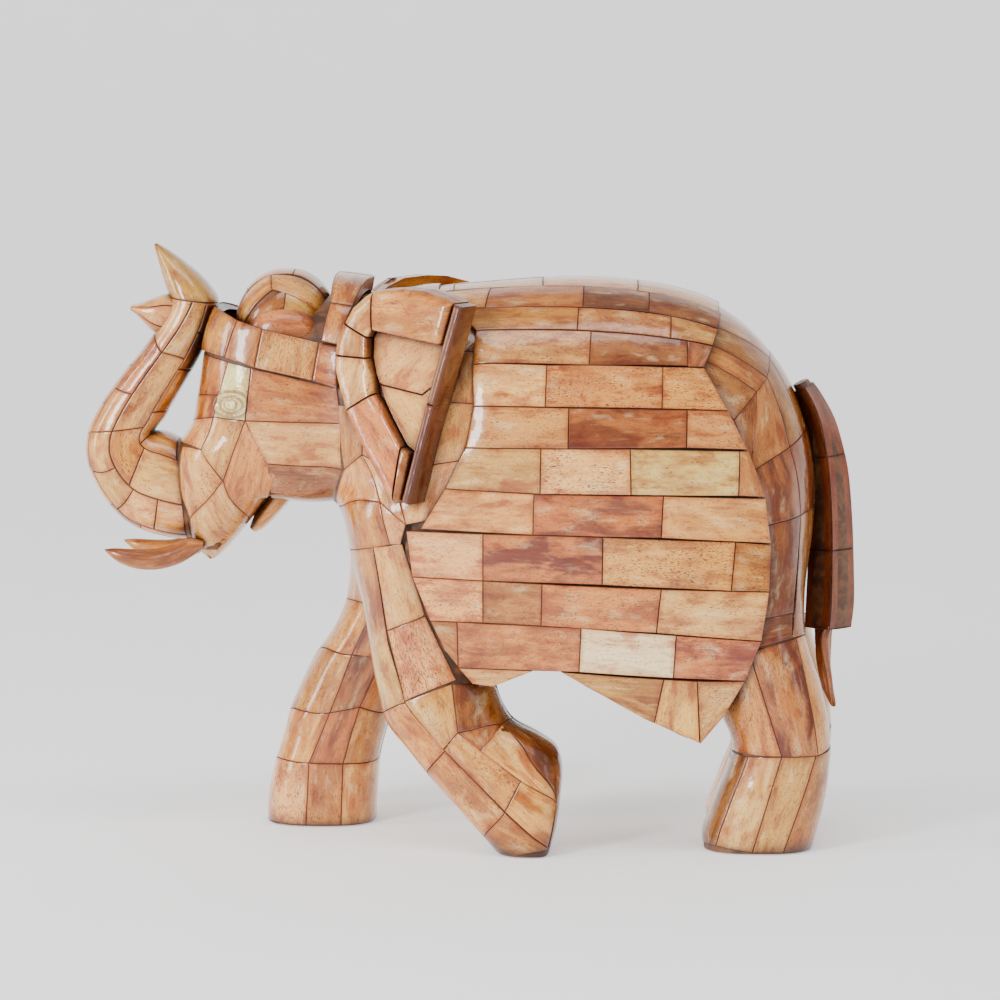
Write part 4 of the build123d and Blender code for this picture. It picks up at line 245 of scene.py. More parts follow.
# trunk: station, front x z, rear x z, half width, exponent -------------------
TRUNK = [
    (0.0, -81.0, 89.4, -83.8, 119.3, 12.5, 2.8), (1.0, -84.6, 88.8, -86.5, 119.0, 12.5, 2.8),
    (2.0, -90.1, 89.3, -88.9, 120.2, 12.2, 2.8), (3.0, -96.1, 90.8, -91.4, 121.1, 11.8, 2.8),
    (4.0, -101.8, 93.2, -93.2, 121.4, 11.4, 2.8), (5.0, -107.5, 98.4, -94.1, 121.4, 11.0, 2.8),
    (6.0, -111.7, 104.7, -94.4, 121.4, 10.8, 2.8), (7.0, -114.6, 111.6, -94.1, 121.7, 10.6, 2.8),
    (8.0, -114.9, 118.3, -93.1, 122.9, 10.5, 2.8), (9.0, -113.6, 123.1, -91.3, 125.0, 10.4, 2.8),
    (10.0, -110.9, 128.5, -89.5, 128.3, 10.3, 2.8), (11.0, -107.5, 133.7, -87.4, 131.9, 10.2, 2.8),
    (12.0, -103.3, 139.4, -84.6, 136.7, 10.2, 2.8), (13.0, -99.0, 144.5, -81.6, 141.9, 10.2, 2.8),
    (14.0, -95.4, 149.3, -79.2, 146.7, 10.3, 2.8), (15.0, -92.3, 153.8, -77.3, 151.2, 10.5, 2.8),
    (16.0, -89.9, 158.4, -75.8, 155.7, 10.5, 2.7), (17.0, -89.3, 161.4, -74.9, 159.6, 10.3, 2.6),
    (18.0, -90.4, 164.0, -75.8, 162.6, 9.6, 2.5), (19.0, -91.6, 167.6, -79.6, 167.4, 8.0, 2.4),
    (20.0, -92.8, 171.8, -84.7, 171.8, 5.6, 2.3), (21.0, -93.8, 175.4, -89.8, 175.4, 3.0, 2.2),
    (22.0, -94.3, 177.5, -92.8, 177.2, 1.2, 2.0)]
LIP = [
    (0.0, -87.8, 149.1, -86.3, 162.3, 8.6, 2.6), (1.0, -91.5, 149.6, -89.6, 162.6, 8.4, 2.6),
    (2.0, -93.5, 150.5, -91.7, 162.1, 8.2, 2.6), (3.0, -95.6, 152.0, -94.1, 161.3, 7.9, 2.5),
    (4.0, -97.7, 154.4, -96.5, 160.4, 7.4, 2.5), (5.0, -99.8, 156.5, -98.9, 159.5, 6.6, 2.5),
    (6.0, -101.5, 158.2, -101.0, 158.8, 5.4, 2.4)]


def tube(tab, t, a):
    """Point on a tube given by chords: a = 0 front edge, pi/2 left side."""
    ax, az, bx, bz, w, n = hermite(tab, t)
    c, s = np.cos(a), np.sin(a)
    v = 0.5 - 0.5 * np.sign(c) * np.abs(c) ** (2.0 / n)
    y = -np.sign(s) * np.abs(s) ** (2.0 / n) * w
    return np.stack([ax + (bx - ax) * v, y, az + (bz - az) * v], -1)


def tube_patch(tab, t, a):
    p = tube(tab, t, a)
    e = 0.02
    du = tube(tab, t + e, a) - tube(tab, t - e, a)
    dv = tube(tab, t, a + e) - tube(tab, t, a - e)
    n = np.cross(dv, du)
    n /= np.maximum(np.linalg.norm(n, axis=-1, keepdims=True), 1e-9)
    return p, n


def grad(F, p, h=0.05):
    g = np.empty_like(p)
    for k in range(3):
        e = np.zeros(3); e[k] = h
        g[..., k] = (F(p + e) - F(p - e)) / (2 * h)
    return g


def project(F, p, n=10, lim=3.0):
    """Moves points onto the surface F=0 along its gradient."""
    p = np.array(p, float)
    for _ in range(n):
        f = F(p)
        g = grad(F, p)
        s = f / np.maximum((g * g).sum(-1), 1e-6)
        step = g * s[..., None]
        L = np.linalg.norm(step, axis=-1, keepdims=True)
        step *= np.minimum(1.0, lim / np.maximum(L, 1e-9))
        p -= step
    g = grad(F, p)
    return p, g / np.maximum(np.linalg.norm(g, axis=-1, keepdims=True), 1e-9)


TAIL = [
    (0.0, 96.9, 136.1, 100.7, 137.6, 4.5, 1.5), (1.0, 99.3, 131.0, 104.3, 132.8, 5.5, 1.3),
    (2.0, 100.8, 125.0, 108.3, 125.6, 6.3, 1.25), (3.0, 101.7, 117.5, 110.7, 118.1, 6.5, 1.25),
    (4.0, 102.4, 108.5, 112.7, 108.8, 6.5, 1.25), (5.0, 102.8, 94.9, 113.9, 95.0, 6.5, 1.25),
    (6.0, 102.6, 82.9, 114.4, 82.9, 6.5, 1.25), (7.0, 102.1, 70.8, 114.6, 70.8, 6.4, 1.25),
    (8.0, 101.8, 62.6, 113.8, 62.8, 6.2, 1.25)]
TUFT = [
    (0.0, 103.9, 62.3, 109.0, 62.3, 3.4, 1.8), (1.0, 103.9, 58.7, 108.7, 58.7, 3.6, 1.8),
    (2.0, 104.6, 52.0, 108.6, 52.3, 3.2, 1.8), (3.0, 106.1, 45.1, 109.3, 45.4, 2.4, 1.8),
    (4.0, 108.1, 40.5, 110.0, 40.2, 1.3, 1.9), (5.0, 109.2, 38.7, 110.1, 38.6, 0.6, 2.0)]
TUSK = [
    (0.0, -78.9, 86.9, -78.6, 89.5, 2.3, 2.0), (1.0, -82.8, 84.2, -82.8, 90.4, 3.2, 2.0),
    (2.0, -86.4, 82.3, -86.4, 89.3, 3.4, 2.0), (3.0, -91.2, 80.9, -90.3, 87.8, 3.3, 2.0),
    (4.0, -96.3, 80.6, -94.8, 86.9, 3.0, 2.0), (5.0, -100.8, 81.4, -100.7, 86.9, 2.5, 2.0),
    (6.0, -104.7, 83.2, -105.2, 87.1, 1.8, 2.0), (7.0, -107.9, 85.9, -108.4, 86.8, 0.7, 2.0)]
JAW_LIP = [
    (0.0, -58.9, 106.4, -53.2, 100.7, 12.5, 2.6), (1.0, -60.4, 102.5, -56.0, 97.6, 11.5, 2.5),
    (2.0, -62.9, 98.8, -59.0, 94.3, 9.5, 2.4), (3.0, -64.7, 95.5, -61.7, 91.9, 7.0, 2.3),
    (4.0, -65.9, 92.5, -63.8, 90.8, 4.0, 2.2)]


EAR_OUTLINE = [(0.0, 0.0), (0.4, 4.5), (2.5, 9.0), (5.9, 14.1), (10.1, 17.4), (15.5, 19.6), (23.0, 20.2), (29.8, 19.8),
               (36.6, 18.0), (40.3, 16.4), (38.6, 11.7), (36.5, 4.3), (33.2, -6.0), (29.8, -14.9), (27.0, -23.8),
               (24.6, -32.7), (22.9, -41.6), (20.5, -42.3), (17.8, -38.9), (12.6, -30.9), (8.5, -24.6), (4.1, -16.0),
               (1.7, -10.2), (0.0, -4.4)]
EAR_FRAME_TILES = [
    [(13.3, 19.3), (23.0, 20.2), (29.8, 19.8), (36.6, 18.0), (40.3, 16.4), (36.6, 4.2), (26.4, 5.7), (17.9, 6.9), (13.3, 7.6)],
    [(13.0, 19.0), (13.0, 7.7), (11.7, 5.6), (3.2, 9.8), (5.9, 14.1), (10.1, 17.4)],
    [(3.0, 9.6), (11.6, 5.3), (11.4, -0.3), (0.0, 0.2), (0.4, 4.5), (2.5, 9.0)],
    [(0.0, -0.1), (11.4, -0.6), (12.7, -5.3), (13.6, -10.5), (3.8, -16.1), (1.7, -10.2), (0.0, -4.4)],
    [(3.9, -16.4), (13.7, -10.8), (16.1, -14.0), (19.5, -19.7), (23.2, -25.5), (20.3, -41.9), (17.8, -38.9), (12.6, -30.9), (8.5, -24.6)],
    [(23.5, -25.8), (26.2, -27.4), (22.9, -41.6), (20.6, -42.2)]]
EAR_PANEL_TILES = [
    [(12.0, 5.6), (13.2, 7.2), (17.9, 6.6), (26.4, 5.4), (36.0, 4.0), (32.6, -7.6), (28.4, -10.4), (14.2, -8.0), (12.9, -5.3), (11.8, -0.3)],
    [(14.3, -8.3), (28.6, -10.7), (32.4, -8.0), (26.2, -27.0), (23.6, -25.2), (19.8, -19.4), (16.4, -13.7)]]
EAR_BAR_LINE = [(40.5, 16.2), (31.4, -12.6), (23.1, -41.4)]

SPLIT = {"cloth_tiles": "saddle_cloth_tiles", "rump_tiles": "rump_tiles", "rear_leg_tiles": "rear_leg_tiles",
         "rear_leg_tiles_in": "rear_leg_tiles", "shoulder_tiles": "shoulder_tiles", "head_tiles": "head_tiles",
         "trunk_side_tiles": "trunk_side_tiles"}
WHOLE = {"rump_tiles_c": "rump_centre_tiles", "front_leg_left_tiles": "front_leg_tiles_left",
         "front_leg_left_tiles_in": "front_leg_tiles_left", "front_leg_right_tiles": "front_leg_tiles_right",
         "front_leg_right_tiles_in": "front_leg_tiles_right", "headband_tiles": "headband_tiles",
         "neck_ring_tiles": "neck_ring_tiles", "forehead_dome_tiles": "forehead_dome_tiles", "belly_tiles": "belly_tiles",
         "chest_tiles": "chest_tiles", "trunk_front_tiles": "trunk_front_tiles", "trunk_rear_tiles": "trunk_rear_tiles",
         "trunk_lower_lip": "trunk_lower_lip_tiles", "tail_tiles": "tail_tiles"}
# node, surface, mirrored, corners (x, y, z) in mm, colour, grain axis
TILES = [
    # cloth_tiles
    ("cloth_tiles", "cloth", 1, ((-19.3, -0.2, 163.6), (-4.3, -0.2, 165.3), (-3.9, -12.7, 164.5), (-18.7, -13.5, 162.5)), "C", 0),
    ("cloth_tiles", "cloth", 1, ((-4.3, -0.2, 165.3), (22.2, -0.2, 167.5), (22.6, -16.2, 165.9), (-3.9, -12.7, 164.5)), "C", 0),
    ("cloth_tiles", "cloth", 1, ((22.2, -0.2, 167.5), (50.4, -0.2, 166.7), (50.6, -17.3, 164.6), (22.6, -16.2, 165.9)), "C", 0),
    ("cloth_tiles", "cloth", 1, ((50.4, -0.2, 166.7), (74.4, -0.2, 160.2), (74.5, -15.9, 158.2), (50.6, -17.3, 164.6)), "T", 0),
    ("cloth_tiles", "cloth", 1, ((-10.4, -13.3, 163.6), (7.1, -14.5, 165.2), (5.8, -25.7, 160), (-3.1, -24.8, 159.6)), "T", 0),
    ("cloth_tiles", "cloth", 1, ((7.1, -14.5, 165.2), (34.7, -16.6, 166), (34.6, -27, 160.4), (5.8, -25.7, 160)), "A", 0),
    ("cloth_tiles", "cloth", 1, ((34.7, -16.6, 166), (53.9, -16.8, 164.2), (53.9, -26.3, 159), (34.6, -27, 160.4)), "B", 0),
    ("cloth_tiles", "cloth", 1, ((53.9, -16.8, 164.2), (75.1, -15.5, 158), (74.2, -23.6, 154.1), (53.9, -26.3, 159)), "R", 0),
    ("cloth_tiles", "cloth", 1, ((-3.1, -24.8, 159.6), (33.4, -27.2, 160.3), (33, -32.9, 154.1), (3.4, -31.7, 153.9)), "A", 0),
    ("cloth_tiles", "cloth", 1, ((33.4, -27.2, 160.3), (60.4, -25.9, 157.8), (60.4, -31.4, 151.7), (33, -32.9, 154.1)), "A2", 0),
    ("cloth_tiles", "cloth", 1, ((60.4, -25.9, 157.8), (74.3, -23.8, 153.8), (72.7, -28.9, 149.5), (60.4, -31.4, 151.7)), "T", 0),
    ("cloth_tiles", "cloth", 1, ((3.4, -31.7, 153.9), (37.1, -33, 153.8), (36.6, -38, 144.2), (2.4, -37, 144.7)), "T", 0),
    ("cloth_tiles", "cloth", 1, ((37.1, -33, 153.8), (65.1, -30.7, 150.8), (65.4, -34.5, 143.8), (36.6, -38, 144.2)), "R2", 0),
    ("cloth_tiles", "cloth", 1, ((65.1, -30.7, 150.8), (72.7, -29.1, 149.2), (70.1, -33.4, 143.4), (65.4, -34.6, 143.5)), "B2", 1),
    ("cloth_tiles", "cloth", 1, ((2.4, -37, 144.7), (24.3, -38.2, 144.2), (23.9, -41.5, 132.2), (2.9, -40.7, 132.4)), "P1", 0),
    ("cloth_tiles", "cloth", 1, ((24.3, -38.2, 144.2), (58.1, -36.1, 143.6), (57.9, -39.5, 131.6), (23.9, -41.5, 132.2)), "TP", 0),
    ("cloth_tiles", "cloth", 1, ((58.1, -36.1, 143.6), (70.1, -33.5, 143.1), (77.1, -35.3, 130.7), (57.9, -39.5, 131.6)), "TK", 0),
    ("cloth_tiles", "cloth", 1, ((2.9, -40.7, 132.4), (30.8, -41.4, 131.9), (30.6, -42.8, 120.1), (0.6, -42, 120.2)), "T", 0),
    ("cloth_tiles", "cloth", 1, ((30.8, -41.4, 131.9), (65.2, -38.3, 131.2), (64.9, -39.6, 120.2), (30.6, -42.8, 120.1)), "R2", 0),
    ("cloth_tiles", "cloth", 1, ((65.2, -38.3, 131.2), (77.1, -35.3, 130.7), (82.7, -35.2, 119.3), (64.9, -39.6, 120.2)), "T", 0),
    ("cloth_tiles", "cloth", 1, ((0.6, -42, 120.2), (22.7, -42.9, 120.1), (22.5, -43.2, 106.9), (-5.3, -41.9, 108.2)), "C", 0),
    ("cloth_tiles", "cloth", 1, ((22.7, -42.9, 120.1), (48.6, -41.9, 120.1), (48.9, -42.2, 106.6), (22.5, -43.2, 106.9)), "P1", 0),
    ("cloth_tiles", "cloth", 1, ((48.6, -41.9, 120.1), (80.4, -35.9, 119), (80.1, -36.4, 105.9), (48.9, -42.2, 106.6)), "CO", 0),
    ("cloth_tiles", "cloth", 1, ((80.4, -35.9, 119), (82.9, -35.2, 119), (88.1, -33.7, 105.3), (80.1, -36.4, 105.9)), "A", 1),
    ("cloth_tiles", "cloth", 1, ((-5.3, -41.9, 108.2), (20.7, -43.2, 106.9), (20.4, -43.2, 94.9), (-12.6, -41.2, 96.3)), "CA", 0),
    ("cloth_tiles", "cloth", 1, ((20.7, -43.2, 106.9), (58.3, -41.1, 106.3), (57.7, -41.3, 94), (20.4, -43.2, 94.9)), "RB", 0),
    ("cloth_tiles", "cloth", 1, ((58.3, -41.1, 106.3), (88.1, -33.7, 105), (89.7, -34.4, 91.6), (57.7, -41.3, 94)), "C", 0),
    ("cloth_tiles", "cloth", 1, ((-16.8, -40.8, 95.7), (5.8, -42.7, 95.1), (5.8, -42.7, 81.3), (-15, -41.2, 82.2)), "P1", 0),
    ("cloth_tiles", "cloth", 1, ((5.8, -42.7, 95.1), (40.8, -42.7, 94.4), (40.6, -42.6, 80.3), (5.8, -42.7, 81.3)), "RS", 0),
    ("cloth_tiles", "cloth", 1, ((40.8, -42.7, 94.4), (79.3, -37.4, 92.4), (78.2, -39.1, 78.2), (40.6, -42.6, 80.3)), "TK", 0),
    ("cloth_tiles", "cloth", 1, ((79.3, -37.4, 92.4), (89.7, -34.5, 91.3), (89.3, -36.8, 77.7), (78.2, -39.1, 78.2)), "A2", 0),
    ("cloth_tiles", "cloth", 1, ((-15, -41.2, 82.2), (5.8, -42.7, 81.3), (5.8, -42.4, 68.9), (-9.7, -41.5, 69.3)), "PK", 0),
    ("cloth_tiles", "cloth", 1, ((5.8, -42.7, 81.3), (23.1, -43, 80.5), (22.8, -42.8, 68.1), (5.8, -42.4, 68.9)), "TA", 0),
    ("cloth_tiles", "cloth", 1, ((23.1, -43, 80.5), (57.8, -41.6, 79), (56.4, -41.5, 66.1), (22.8, -42.8, 68.1)), "S", 0),
    ("cloth_tiles", "cloth", 1, ((57.8, -41.6, 79), (89.3, -36.8, 77.7), (87.1, -37.5, 63.3), (56.4, -41.5, 66.1)), "PC", 0),
    ("cloth_tiles", "cloth", 1, ((-9.7, -41.5, 69.3), (-1.8, -42.1, 69.1), (-1.5, -41.7, 55.8), (-5.4, -41.6, 60.8)), "A", 0),
    ("cloth_tiles", "cloth", 1, ((-1.8, -42.1, 69.1), (34.5, -42.5, 67.6), (33.9, -42.2, 54.5), (-1.5, -41.7, 55.5)), "A2", 0),
    ("cloth_tiles", "cloth", 1, ((34.5, -42.5, 67.6), (62.2, -41, 65.4), (61.4, -40.7, 52.7), (33.9, -42.2, 54.5)), "I", 0),
    ("cloth_tiles", "cloth", 1, ((62.2, -41, 65.4), (87.1, -37.5, 63.3), (82.4, -38.1, 51.6), (61.4, -40.7, 52.7)), "S2", 0),
    ("cloth_tiles", "cloth", 1, ((-1.5, -41.7, 55.5), (20.4, -42.4, 54.8), (8.4, -42, 50), (2.8, -41.8, 50.8)), "C", 0),
    ("cloth_tiles", "cloth", 1, ((28.6, -42.3, 54.5), (58.7, -40.9, 52.4), (55.8, -40.7, 39.4), (53.2, -40.9, 40.6)), "TO", 0),
    ("cloth_tiles", "cloth", 1, ((58.7, -40.9, 52.4), (68.4, -40, 51.8), (69.2, -39.1, 33.3), (55.8, -40.7, 39.4)), "PT", 1),
    ("cloth_tiles", "cloth", 1, ((68.4, -40, 51.8), (82.4, -38.1, 51.6), (75.8, -38.7, 40.7), (69.3, -39.1, 33)), "T", 0),
    # rump_tiles
    ("rump_tiles", "body", 1, ((69.2, -0.2, 161.4), (89.7, -0.2, 145.9), (89.5, -10.5, 144.3), (72.5, -19.9, 154.4)), "C", 0),
    ("rump_tiles", "body", 1, ((72.5, -19.9, 154.4), (89.5, -10.5, 144.3), (88.7, -18.7, 139), (70.1, -25.9, 150.2)), "T", 0),
    ("rump_tiles", "body", 1, ((70.1, -25.9, 150.2), (88.7, -18.7, 139), (85.7, -24.4, 135.4), (68.9, -29.6, 145.7)), "CA", 0),
    ("rump_tiles", "body", 1, ((68.9, -29.6, 145.7), (85.7, -24.4, 135.4), (78.9, -31.8, 127.7), (66, -34, 138.4)), "T", 0),
    ("rump_tiles", "body", 1, ((89.5, -10.5, 144.3), (89.7, -0.2, 145.9), (100.8, -5, 123.6), (99.6, -11.8, 121.9)), "A", 1),
    ("rump_tiles", "body", 1, ((88.7, -18.5, 139.3), (89.5, -10.5, 144.3), (99.6, -11.8, 121.9), (95.6, -20.3, 118.8)), "T", 1),
    ("rump_tiles", "body", 1, ((85.7, -24.4, 135.4), (88.7, -18.5, 139.3), (95.6, -20.3, 118.8), (84.2, -33.2, 112.6)), "C", 1),
    ("rump_tiles", "body", 1, ((66, -34, 138.4), (78.9, -31.8, 127.7), (84.2, -33.2, 112.6), (69, -36.4, 125.2)), "T", 1),
    ("rump_tiles", "body", 1, ((78.9, -31.8, 127.7), (85.7, -24.4, 135.4), (85, -28.8, 124), (84.3, -32.9, 113.2)), "TA", 1),
    ("rump_tiles", "body", 1, ((84.2, -33.2, 112.6), (95.6, -20.3, 118.8), (98.9, -22.4, 98.8), (87.2, -34.5, 96.6)), "RS", 1),
    ("rump_tiles", "body", 1, ((95.6, -20.3, 118.8), (100.8, -5, 123.6), (103.3, -6, 100.1), (98.9, -22.4, 98.8)), "A", 1),
    ("rump_tiles", "body", 1, ((87.2, -34.5, 96.6), (98.9, -22.4, 98.8), (96.5, -31, 70.8), (85.6, -36.4, 69.4)), "R2", 1),
    ("rump_tiles", "body", 1, ((98.9, -22.4, 98.8), (103.3, -6, 100.1), (100.1, -13, 62.7), (96.6, -32.2, 63.5)), "T", 1),
    ("rump_tiles", "body", 1, ((85.6, -36.4, 69.4), (96.5, -31, 70.8), (96.6, -32.2, 63.5), (83.3, -36.9, 60.6)), "B2", 0),
    # rump_tiles_c
    ("rump_tiles_c", "body", 0, ((100.8, -5, 123.6), (100.8, 5, 123.6), (103.3, 6, 100.1), (103.3, -6, 100.1)), "T", 1),
    ("rump_tiles_c", "body", 0, ((103.3, -6, 100.1), (103.3, 6, 100.1), (100.1, 13, 62.7), (100.1, -13, 62.7)), "B2", 1),
    ("rump_tiles_c", "body", 0, ((89.4, -0.2, 145.9), (89.4, 0.2, 145.9), (100.8, 5, 123.6), (100.8, -5, 123.6)), "A", 1),
    # rear_leg_tiles
    ("rear_leg_tiles", "body", 1, ((75, -21.3, 40.3), (83.6, -36.9, 60), (93.4, -37, 28.9), (78.8, -21.3, 28.6)), "A2", 1),
    ("rear_leg_tiles", "body", 1, ((83.6, -36.9, 60), (97.5, -31.2, 63.4), (104.1, -33.8, 28.8), (93.4, -37, 28.9)), "RS", 1),
    ("rear_leg_tiles", "body", 1, ((97.5, -31.2, 63.4), (100.7, -19, 63.6), (108.1, -21.3, 31.3), (104.1, -33.8, 28.8)), "C", 1),
    ("rear_leg_tiles", "body", 1, ((78.8, -21.3, 28.6), (83.5, -34.3, 28.5), (74.2, -34.3, 1.9), (70.1, -21.3, 2)), "B", 1),
    ("rear_leg_tiles", "body", 1, ((83.5, -34.3, 28.5), (93.4, -37, 28.9), (84.8, -37.6, 0.4), (74.2, -34.3, 1.9)), "CO", 1),
    ("rear_leg_tiles", "body", 1, ((93.4, -37, 28.9), (103.5, -34.3, 28.9), (93.9, -36.7, 0.3), (84.8, -37.6, 0.4)), "T", 1),
    ("rear_leg_tiles", "body", 1, ((103.5, -34.3, 28.9), (108.2, -21.3, 30.4), (103, -21.3, 0.8), (93.9, -36.7, 0.3)), "A", 1),
    ("rear_leg_tiles", "body", 1, ((69.9, -20, 47.1), (76.6, -36.1, 58.9), (83.6, -36.9, 60), (75, -21.3, 40.3)), "A", 1),
    # front_leg_left_tiles
    ("front_leg_left_tiles", "body", 0, ((-38.4, -14, 100.3), (-24.6, -36.1, 103.7), (-21.6, -37.8, 91.2), (-35, -16, 87.4)), "A", 1),
    ("front_leg_left_tiles", "body", 0, ((-24.6, -36.1, 103.7), (-16.8, -39.2, 97.3), (-18.6, -38.6, 91.3), (-21.6, -37.8, 91.2)), "P1", 1),
    ("front_leg_left_tiles", "body", 0, ((-34.8, -18, 87.6), (-26.7, -35.5, 90.3), (-22, -36.8, 60), (-28.2, -22, 58)), "AO", 1),
    ("front_leg_left_tiles", "body", 0, ((-26.7, -35.5, 90.3), (-18, -38.7, 91.6), (-11.1, -38.6, 70.4), (-22.6, -36.8, 65.7)), "C", 1),
    ("front_leg_left_tiles", "body", 0, ((-22.6, -36.8, 65.7), (-11.1, -38.6, 70.4), (-2, -39.1, 51.6), (-17.6, -38.5, 44.9)), "PK", 1),
    ("front_leg_left_tiles", "body", 0, ((-28.2, -22, 58), (-22.6, -36.7, 63), (-17.3, -38.7, 44.6), (-24.4, -24, 39.7)), "T", 1),
    ("front_leg_left_tiles", "body", 0, ((-17.6, -38.5, 44.9), (-3.4, -39.6, 50.5), (-1.6, -41.2, 36.2), (-6, -40.9, 31.1)), "T", 1),
    ("front_leg_left_tiles", "body", 0, ((-3.4, -39.6, 50.5), (9.3, -24.5, 47.1), (11.2, -36.9, 38.3), (-1.6, -41.2, 36.2)), "B", 1),
    ("front_leg_left_tiles", "body", 0, ((-1.6, -41.2, 36.2), (11.2, -36.9, 38.3), (8.4, -40.9, 34.4), (4.9, -42, 30.7)), "B2", 1),
    ("front_leg_left_tiles", "body", 0, ((-24.4, -24, 39.7), (-17.3, -38.7, 44.6), (-5.4, -41, 30.8), (-10.5, -27, 21.5)), "TO", 1),
    ("front_leg_left_tiles", "body", 0, ((-10.5, -27, 21.5), (-5.4, -41, 30.8), (12.3, -44.7, 13.1), (6.8, -31, 3)), "A2", 1),
    ("front_leg_left_tiles", "body", 0, ((-6, -40.9, 31.1), (-1.6, -41.2, 36.2), (17, -43.8, 22.5), (12.3, -44.6, 13.4)), "T", 1),
    ("front_leg_left_tiles", "body", 0, ((4.9, -42, 30.7), (11.2, -36.9, 38.3), (27.2, -40.8, 15.5), (17, -43.8, 22.5)), "C", 1),
    ("front_leg_left_tiles", "body", 0, ((12.3, -44.6, 13.4), (17, -43.8, 22.5), (27.2, -40.8, 15.5), (24.6, -43.7, 2.3)), "CA", 1),
    ("front_leg_left_tiles", "body", 0, ((6.8, -31, 3), (12.3, -44.7, 13.1), (24.6, -43.7, 2.3), (14.4, -44.4, 0.3)), "AO", 1),
    ("front_leg_left_tiles", "body", 0, ((11.2, -36.9, 38.3), (14, -27, 38.6), (28.1, -29, 28.7), (27.2, -40.8, 15.5)), "DR", 1),
    ("front_leg_left_tiles", "body", 0, ((27.2, -40.8, 15.5), (28.1, -29, 28.7), (27.8, -31, 11.2), (25.2, -42.4, 2.4)), "DR", 1),
    ("front_leg_left_tiles", "body", 0, ((9.3, -24.5, 47.1), (10.9, -25, 43.2), (14, -27, 38.6), (11.2, -36.9, 38.3)), "B", 1),
    # front_leg_right_tiles
    ("front_leg_right_tiles", "body", 0, ((-36.7, 19, 81.3), (-20.9, 2.6, 83.3), (-28.6, 3.9, 69.1), (-38.5, 20.5, 67.5)), "T", 1),
    ("front_leg_right_tiles", "body", 0, ((-38.5, 20.5, 67.5), (-28.6, 3.9, 69.1), (-35.6, 4.7, 52.8), (-47.1, 21.5, 52)), "TO", 1),
    ("front_leg_right_tiles", "body", 0, ((-28.6, 3.9, 69.1), (-9.9, 20.5, 59.5), (-17.4, 21.5, 52.1), (-35.6, 4.7, 52.8)), "RS", 1),
    ("front_leg_right_tiles", "body", 0, ((-47.1, 21.5, 52), (-35.6, 4.7, 52.8), (-42.5, 6.2, 34.9), (-55.9, 22.5, 33.3)), "A2", 1),
    ("front_leg_right_tiles", "body", 0, ((-35.6, 4.7, 52.8), (-25.7, 5.2, 52.8), (-33.4, 6.6, 36.7), (-42.5, 6.2, 34.9)), "R2", 1),
    ("front_leg_right_tiles", "body", 0, ((-25.7, 5.2, 52.8), (-17.4, 21.5, 52.1), (-24.9, 22.5, 33.5), (-33.4, 6.6, 36.7)), "A", 1),
    ("front_leg_right_tiles", "body", 0, ((-55.9, 22.5, 33.3), (-42.5, 6.2, 34.9), (-49, 7.3, 19.3), (-60.2, 23, 18.5)), "CA", 1),
    ("front_leg_right_tiles", "body", 0, ((-42.5, 6.2, 34.9), (-33.4, 6.6, 36.7), (-38.6, 7.4, 19.1), (-49, 7.3, 19.3)), "RB", 1),
    ("front_leg_right_tiles", "body", 0, ((-33.4, 6.6, 36.7), (-24.9, 22.5, 33.5), (-28.1, 23, 19.8), (-38.6, 7.4, 19.1)), "T", 1),
    ("front_leg_right_tiles", "body", 0, ((-60.2, 23, 18.5), (-49, 7.3, 19.3), (-49.9, 7.2, 0.2), (-62.5, 23, 0.3)), "P1", 1),
    ("front_leg_right_tiles", "body", 0, ((-49, 7.3, 19.3), (-38.6, 7.4, 19.1), (-39.4, 7.7, 0.2), (-49.9, 7.2, 0.2)), "A2", 1),
    ("front_leg_right_tiles", "body", 0, ((-38.6, 7.4, 19.1), (-28.1, 23, 19.8), (-29.7, 23, 0.3), (-39.4, 7.7, 0.2)), "CO", 1),
    # shoulder_tiles
    ("shoulder_tiles", "body", 1, ((-37.4, -27.6, 131.4), (-29, -31.1, 131.8), (-30.2, -30.6, 117), (-35.9, -25.5, 112)), "A", 1),
    ("shoulder_tiles", "body", 1, ((-35.9, -25.5, 112), (-30.2, -30.6, 117), (-24.6, -36.1, 103.7), (-38.4, -14, 100.3)), "C", 1),
    ("shoulder_tiles", "body", 1, ((-30.2, -30.6, 117), (-20.8, -36, 113.1), (-16.8, -39.2, 97.3), (-24.6, -36.1, 103.7)), "P1", 1),
    ("shoulder_tiles", "body", 1, ((-29, -31.1, 131.8), (-15.7, -36.4, 133.7), (-20.8, -36, 113.1), (-30.2, -30.6, 117)), "T", 1),
    ("shoulder_tiles", "body", 1, ((-15.7, -36.4, 133.7), (3.6, -38.5, 132.8), (0.2, -40.2, 116.5), (-20.8, -36, 113.1)), "T", 1),
    ("shoulder_tiles", "body", 1, ((-20.8, -36, 113.1), (0.2, -40.2, 116.5), (-9.2, -40, 98.9), (-16.8, -39.2, 97.3)), "P1", 1),
    ("shoulder_tiles", "body", 1, ((-7.7, -19.1, 161.9), (4.8, -21.7, 159.7), (4, -33.3, 147.6), (-11.5, -32.5, 148.1)), "AO", 1),
    ("shoulder_tiles", "body", 1, ((-11.5, -32.5, 148.1), (4, -33.3, 147.6), (3.6, -38.5, 132.8), (-15.7, -36.4, 133.7)), "T", 1),
    # head_tiles
    ("head_tiles", "head", 1, ((-79, 0, 145.6), (-70.2, -22.9, 143.7), (-72.9, -22.8, 133.9), (-81.3, 0, 131)), "A", 1),
    ("head_tiles", "head", 1, ((-81.3, 0, 131), (-72.9, -22.8, 133.9), (-74.8, -22.2, 127.3), (-83.6, 0, 122.6)), "AO", 1),
    ("head_tiles", "head", 1, ((-83.6, 0, 122.6), (-74.8, -22.2, 127.3), (-78.4, -23, 117.6), (-86.7, 0, 117.9)), "P1", 1),
